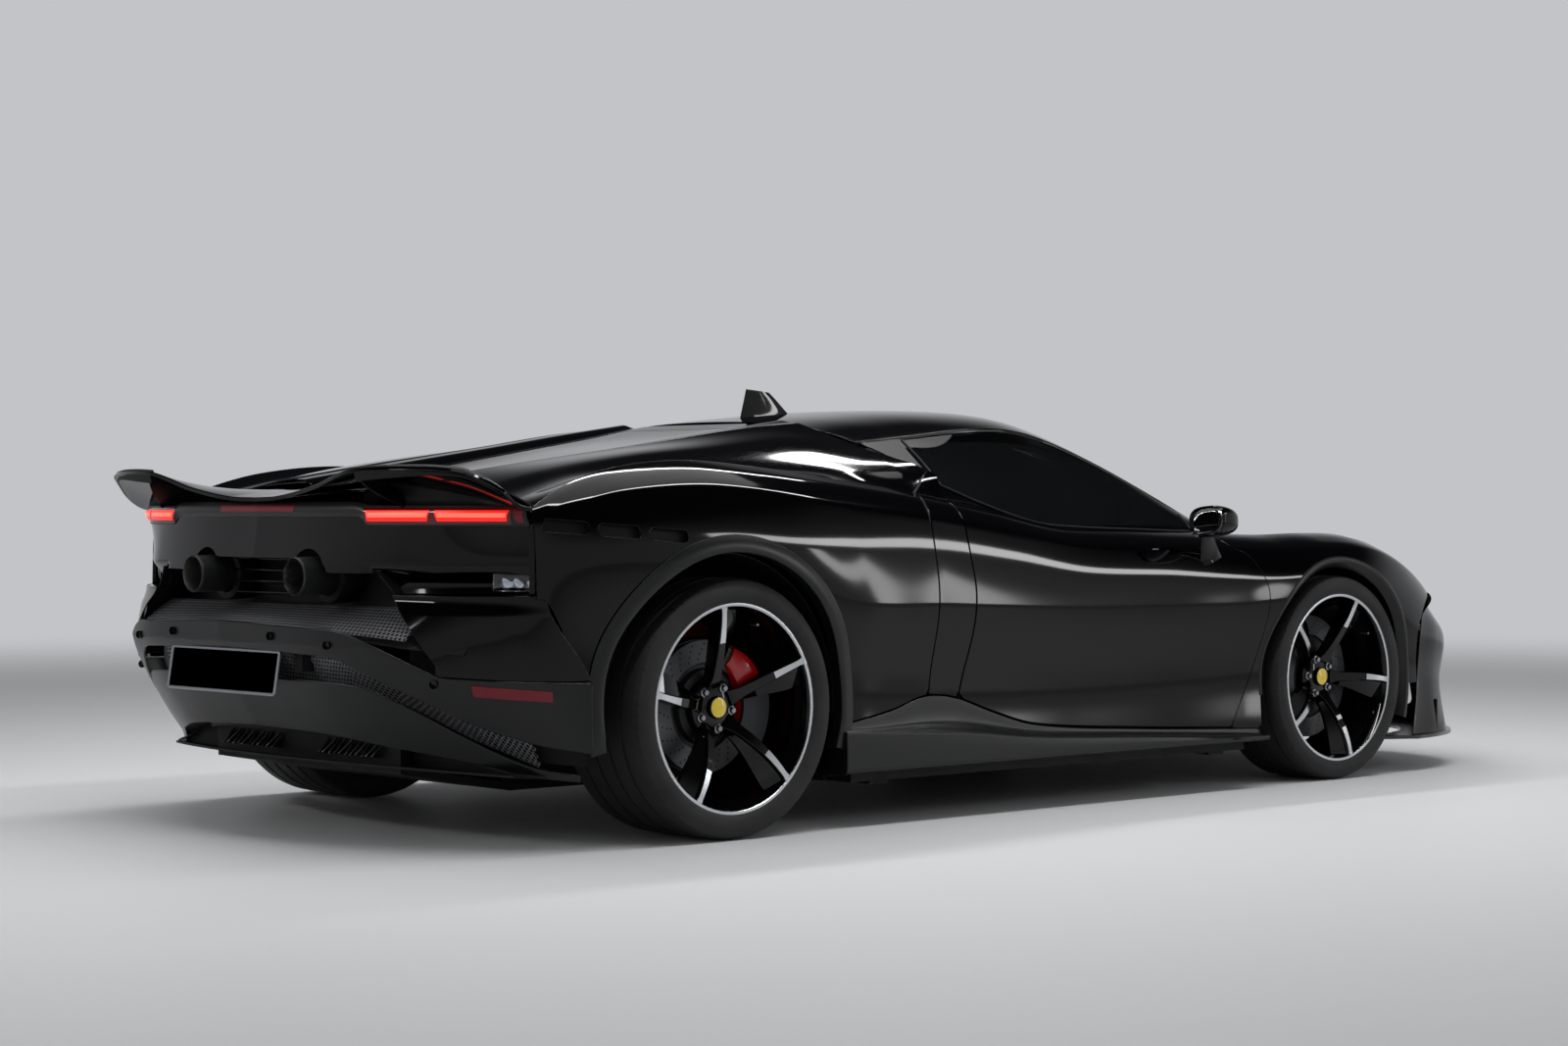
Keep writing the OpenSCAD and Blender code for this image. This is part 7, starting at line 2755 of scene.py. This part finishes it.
@dataclass
class Engine:
    """Engine under the rear window, with its ribbed plenums, heads and gearbox."""

    block_x: tuple[float, float] = (-1180.0, -662.0)

    def block(self) -> Mesh:
        """Crankcase and gearbox castings with their ribs."""
        mesh = Mesh()
        x0, x1 = self.block_x
        body = stack(np.linspace(x0, x1, 10), 0, 350)
        mesh.join(sweep(body, rounded(540, 296, 40, 6)))
        box = stack(np.linspace(-1756, x0 + 6, 14), 0, 360)
        mesh.join(sweep(box, rounded(376, 310, 60, 6), scale=np.linspace(0.8, 1.0, 14)))
        for x in np.linspace(-1700, -1240, 8):
            rib = stack(np.array([x - 5, x + 5]), 0, 360)
            size = float(np.interp(x, (-1756, -1174), (0.8, 1.0)))
            mesh.join(sweep(rib, rounded(388 * size, 322 * size, 60 * size, 6)))
        return mesh

    def heads(self) -> Mesh:
        """Cylinder heads with their cam covers, one bank on each side."""
        mesh = Mesh()
        x0, x1 = self.block_x
        for sign in (1, -1):
            path = stack(np.linspace(x0 + 20, x1 - 20, 10), 208 * sign, 590)
            mesh.join(sweep(path, rounded(190, 170, 26, 5)))
        return mesh

    def plenums(self) -> Mesh:
        """Two cast inlet plenums with ribs along their tops, and the tubes between them."""
        mesh = Mesh()
        x0, x1 = self.block_x
        for sign in (1, -1):
            path = stack(np.linspace(x0 + 16, x1 - 40, 24), 168 * sign, 742)
            size = 0.9 + 0.1 * np.sin(np.linspace(0.0, math.pi, 24)) ** 0.3
            mesh.join(sweep(path, rounded(216, 104, 34, 6), scale=size))
            for k in range(7):
                y = (96 + 24 * k) * sign
                rib = stack(np.linspace(x0 + 60, x1 - 84, 12), y,
                            797.0 - 0.0011 * (abs(y) - 168.0) ** 2)
                mesh.join(sweep(rib, rounded(7, 12, 3, 3)))
        for x in np.linspace(x0 + 90, x1 - 110, 4):
            a = np.linspace(-1, 1, 17)
            tube = stack(x, 84 * a, 742 + 26 * (1 - a**2))
            mesh.join(sweep(tube, circle(27, 22), up=(1, 0, 0)))
        return mesh

    def ducts(self) -> Mesh:
        """Moulded air boxes and ducts on both sides of the engine."""
        mesh = Mesh()
        for sign in (1, -1):
            path = Curve(((0, (-700, 300, 780)), (0.4, (-900, 392, 800)), (0.7, (-1080, 420, 770)),
                          (1, (-1190, 360, 700))))(np.linspace(0, 1, 24))
            mesh.join(sweep(path * np.array([1, sign, 1]), rounded(130, 120, 40, 6)))
        lid = stack(np.linspace(-1560, -1215, 12), 0, 610)
        mesh.join(sweep(lid, rounded(460, 70, 26, 5)))
        for k in range(7):
            bar = stack(-1540 + 50 * k, np.array([-190, 190]), 650)
            mesh.join(sweep(bar, rounded(12, 14, 4, 3)))
        return mesh

    def shields(self) -> Mesh:
        """Crinkled heat shields over the exhaust headers."""
        def face(u: Array, v: Array) -> Array:
            """Shield surface."""
            x = mix(-1640, -1200, u)
            z = mix(560, 380, v) + 5 * np.sin(x / 9.0)
            return stack(x, 250 + 70 * np.sin(math.pi * v) + 4 * np.sin(z / 8.0), z)
        return Skin(face, 60, 24, thick=3, hem=1.5, inside=(-1400.0, 0.0, 450.0)).mesh().both()

    def build(self) -> None:
        """Makes the engine; its pieces stand for one plain block."""
        for mesh, name, finish, slot, sharp in (
                (self.block(), "castings", ALLOY, "engine_alloy", 40),
                (self.heads(), "cam_covers", CRACKLE, "engine_alloy", 40),
                (self.plenums(), "plenums", CRACKLE, "engine_alloy", 40),
                (self.ducts(), "air_boxes", SATIN, "black_plastic", 40),
                (self.shields(), "heat_shields", ALLOY, "engine_alloy", None)):
            place(mesh, f"engine_{name}", "body", [finish], slot, ["engine"], sharp)


@dataclass
class Headlamps:
    """Slim lamps let into the nose: clear cover, dark bowl, lenses and a light guide."""

    nose: Nose
    depth: float = 36.0

    def window(self, uv: Array) -> Array:
        """Distance inside the lamp's opening."""
        return -self.nose.opening(uv)

    def sheet(self, lift: float, thick: float) -> Mesh:
        """Sheet in the opening, at a height over the nose.

        Args:
            lift: Height of its outer face.
            thick: Its thickness.

        Returns:
            Both sides' sheets as one mesh.
        """
        return Skin(lambda u, v: self.nose.face(u * 2 - 1, v * 4), 240, 120, thick=thick, hem=1.0,
                    windows=(lambda uv: self.window(uv) - 3.0,), lift=lift).mesh()

    def spot(self, u: float, v: float, lift: float) -> Point:
        """Point over the nose's surface."""
        p = self.nose.face(np.array([u]), np.array([v]))[0]
        return (float(p[0]) + lift * 0.6, float(p[1]) + lift * 0.3, float(p[2]) + lift * 0.7)

    def lenses(self) -> tuple[Mesh, Mesh]:
        """Projector lenses and their chromed bezels."""
        glass, bezel = Mesh(), Mesh()
        ball = lathe([(24 * math.cos(a), 14 * math.sin(a)) for a in
                      np.linspace(0, math.pi / 2 - 0.02, 8)], 32, close=False)
        ring = lathe([(23, -6), (27, -6), (29, 2), (26, 5), (24, 3)], 32)
        for u, v in ((0.72, 0.34), (0.82, 0.46), (0.9, 0.6)):
            p = self.spot(u, v, -22)
            turn = pose(p, (-72, "Z"))
            glass.join(ball.placed(turn))
            bezel.join(ring.placed(turn))
        return glass.both(), bezel.both()

    def guide(self) -> Mesh:
        """Daytime light guide along the lamp's lower edge."""
        u = np.linspace(0.63, 0.93, 40)
        v = mix(0.6, 1.02, (u - 0.6) / 0.35) - 0.12
        path = self.nose.face(u, v) - np.array([8.0, 3.0, 6.0])
        return sweep(path, rounded(9, 6, 2.5, 4)).both()

    def build(self) -> None:
        """Makes both lamps."""
        glass, bezel = self.lenses()
        for mesh, name, finish, slot, sharp in (
                (self.sheet(-0.5, 2.5), "covers", COVER, "lamp_glass", None),
                (self.sheet(-self.depth, 3.0), "bowls", PIANO, "black_plastic", None),
                (glass, "lenses", COVER, "lamp_glass", 60),
                (bezel, "bezels", CHROME, "lamp_glass", 40),
                (self.guide(), "light_guides", OPAL, "lamp_glass", 50)):
            place(mesh, f"headlamp_{name}", "body", [finish], slot, ["headlamps"], sharp)


# ---------------------------------------------------------------- plain dressing of the rest


@dataclass
class Remaining:
    """Finishes for CAD solids that are shown as they are."""

    finishes: dict[str, Finish] = field(default_factory=lambda: {
        "floor": DULL, "wheel_liners": DULL, "front_suspension": ARM,
        "rear_suspension": ARM, "knuckle_left": ARM, "knuckle_right": ARM})

    def build(self, nodes: dict[str, bpy.types.Object]) -> None:
        """Gives each solid its material.

        Args:
            nodes: The frame's CAD objects by name.
        """
        for name, finish in self.finishes.items():
            data = nodes[name].data
            data.materials.clear()
            data.materials.append(finish.material())


# ---------------------------------------------------------------- studio


@dataclass
class Studio:
    """Pale floor and backdrop, soft lamps and the camera; lengths in metres.

    The floor fades into the backdrop over the range of distances in fade, and the surround's
    pale sky turns into its dark ceiling over the range of heights in horizon.
    """

    floor_hex: str = "b9babc"
    sky_hex: str = "c3c4c7"
    ceiling_hex: str = "2a2a2c"
    eye: Point = (-6.749, -6.984, 0.880)
    yaw: float = 0.826
    pitch: float = -0.005
    lens: float = 70.04
    sensor: float = 36.0
    clip_end: float = 200.0
    fade: tuple[float, float] = (6.0, 12.5)
    horizon: tuple[float, float] = (0.16, 0.5)
    fill: float = 0.45

    def camera(self) -> None:
        """Creates the camera and makes it the scene's."""
        data = bpy.data.cameras.new("camera")
        data.lens, data.sensor_width, data.clip_end = self.lens, self.sensor, self.clip_end
        cam = bpy.data.objects.new("camera", data)
        bpy.context.scene.collection.objects.link(cam)
        look = Vector((math.cos(self.yaw) * math.cos(self.pitch),
                       math.sin(self.yaw) * math.cos(self.pitch), math.sin(self.pitch)))
        cam.location = self.eye
        cam.rotation_euler = look.to_track_quat("-Z", "Y").to_euler()
        bpy.context.scene.camera = cam

    def ground(self) -> None:
        """Floor with a backdrop that rises softly all round."""
        rings = []
        radii = [0.0, 6, 9, 11, 12.5, 13.5, 14, 14.2]
        rise = [0.0, 0, 0, 0, 0.02, 0.06, 0.12, 0.2]
        count = 96
        for r, z in zip(radii, rise):
            a = full_turn(count)
            rings.append(stack(r * np.cos(a), r * np.sin(a), z))
        mesh = Mesh()
        mesh.add(np.concatenate(rings) / MM,
                 quads((len(radii), count), (len(radii) - 1, count)))
        mat = bpy.data.materials.new("pale_studio_floor")
        tree = empty_tree(mat)
        place_at = add_node(tree, "ShaderNodeTexCoord").outputs["Object"]
        far = add_node(tree, "ShaderNodeVectorMath", {0: place_at}, operation="LENGTH")
        fade = add_node(tree, "ShaderNodeMapRange", {
            "Value": far.outputs["Value"], "From Min": self.fade[0], "From Max": self.fade[1]},
            interpolation_type="SMOOTHSTEP").outputs[0]
        shader = add_node(tree, "ShaderNodeBsdfPrincipled", {
            "Base Color": linear(self.floor_hex), "Roughness": 0.5,
            "Specular IOR Level": 0.1})
        glow = add_node(tree, "ShaderNodeEmission", {"Color": linear(self.sky_hex)})
        amount = add_node(tree, "ShaderNodeMath", {0: fade, 1: self.sees(tree, "Camera", "Glossy")},
                          operation="MULTIPLY").outputs[0]
        both = add_node(tree, "ShaderNodeMixShader", {0: amount, 1: shader.outputs[0],
                                                     2: glow.outputs[0]})
        add_node(tree, "ShaderNodeOutputMaterial", {"Surface": both.outputs[0]})
        obj = mesh.to_object("studio_floor", [mat])

    def sees(self, tree: bpy.types.NodeTree, *kinds: str) -> bpy.types.NodeSocket:
        """Socket that is 1 for rays of the kinds named and 0 for others."""
        ray = add_node(tree, "ShaderNodeLightPath")
        level, *others = (ray.outputs[f"Is {kind} Ray"] for kind in kinds)
        for other in others:
            level = add_node(tree, "ShaderNodeMath", {0: level, 1: other},
                             operation="MAXIMUM").outputs[0]
        return level

    def world(self) -> None:
        """Pale surround for the eye and for gloss, dimmer as a light."""
        world = bpy.data.worlds.new("surround")
        tree = empty_tree(world)
        seen = self.sees(tree, "Camera", "Glossy", "Transmission")
        dim = add_node(tree, "ShaderNodeBackground", {"Color": linear("ffffff"),
                                                      "Strength": self.fill})
        way = add_node(tree, "ShaderNodeTexCoord").outputs["Generated"]
        up = add_node(tree, "ShaderNodeSeparateXYZ", {0: way}).outputs["Z"]
        high = add_node(tree, "ShaderNodeMapRange", {
            "Value": up, "From Min": self.horizon[0], "From Max": self.horizon[1]},
            interpolation_type="SMOOTHSTEP")
        hue = add_node(tree, "ShaderNodeMix", {
            "Factor": high.outputs[0], 6: linear(self.sky_hex), 7: linear(self.ceiling_hex)},
            data_type="RGBA").outputs[2]
        pale = add_node(tree, "ShaderNodeBackground", {"Color": hue, "Strength": 1.0})
        both = add_node(tree, "ShaderNodeMixShader", {0: seen, 1: dim.outputs[0],
                                                     2: pale.outputs[0]})
        add_node(tree, "ShaderNodeOutputWorld", {"Surface": both.outputs[0]})
        bpy.context.scene.world = world

    def lamp(self, name: str, at: Point, aim: Point, size: tuple[float, float],
             power: float) -> None:
        """Adds a soft area lamp.

        Args:
            name: Its name.
            at: Its place in metres.
            aim: Where it points.
            size: Width and height in metres.
            power: Watts.
        """
        data = bpy.data.lights.new(name, "AREA")
        data.shape, data.size, data.size_y, data.energy = "RECTANGLE", *size, power
        obj = bpy.data.objects.new(name, data)
        obj.location = at
        obj.rotation_euler = (Vector(aim) - Vector(at)).to_track_quat("-Z", "Y").to_euler()
        bpy.context.scene.collection.objects.link(obj)

    def build(self) -> None:
        """Makes the studio."""
        bpy.context.scene.view_settings.view_transform = "Standard"
        self.camera()
        self.ground()
        self.world()
        for row in (
                ("overhead_strip_right", (-0.2, -1.7, 3.9), (-0.2, -0.51, 0.0), (6.4, 0.16), 110),
                ("overhead_strip_left", (-0.2, 1.1, 3.9), (-0.2, 0.33, 0.0), (6.4, 0.16), 110),
                ("overhead_fill", (0.0, 0.0, 5.2), (0.0, 0.0, 0.0), (7.0, 4.0), 120),
                ("side_softbox", (5.4, -6.0, 3.2), (0.4, -0.5, 0.6), (3.4, 0.35), 50),
                ("upright_strip", (4.8, -5.2, 1.4), (0.6, -0.9, 0.6), (0.22, 2.2), 13),
                ("rear_softbox", (-7.0, 1.5, 3.0), (-1.5, 0.0, 0.6), (3.0, 0.35), 60)):
            self.lamp(*row)


def main() -> None:
    """Loads the frame, dresses it and sets the studio."""
    logging.basicConfig(level=logging.INFO, format="%(message)s")
    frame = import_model()
    RearQuarters().build()
    DoorPosts().build()
    Wings().build()
    Doors().build()
    nose = Nose()
    nose.build()
    Headlamps(nose).build()
    Roof().build()
    Tail().build()
    Sills().build()
    Mirrors().build()
    Cabin().build()
    Engine().build()
    Running().build()
    Remaining().build(frame["nodes"])
    Studio().build()
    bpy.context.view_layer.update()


if __name__ == "__main__":
    main()
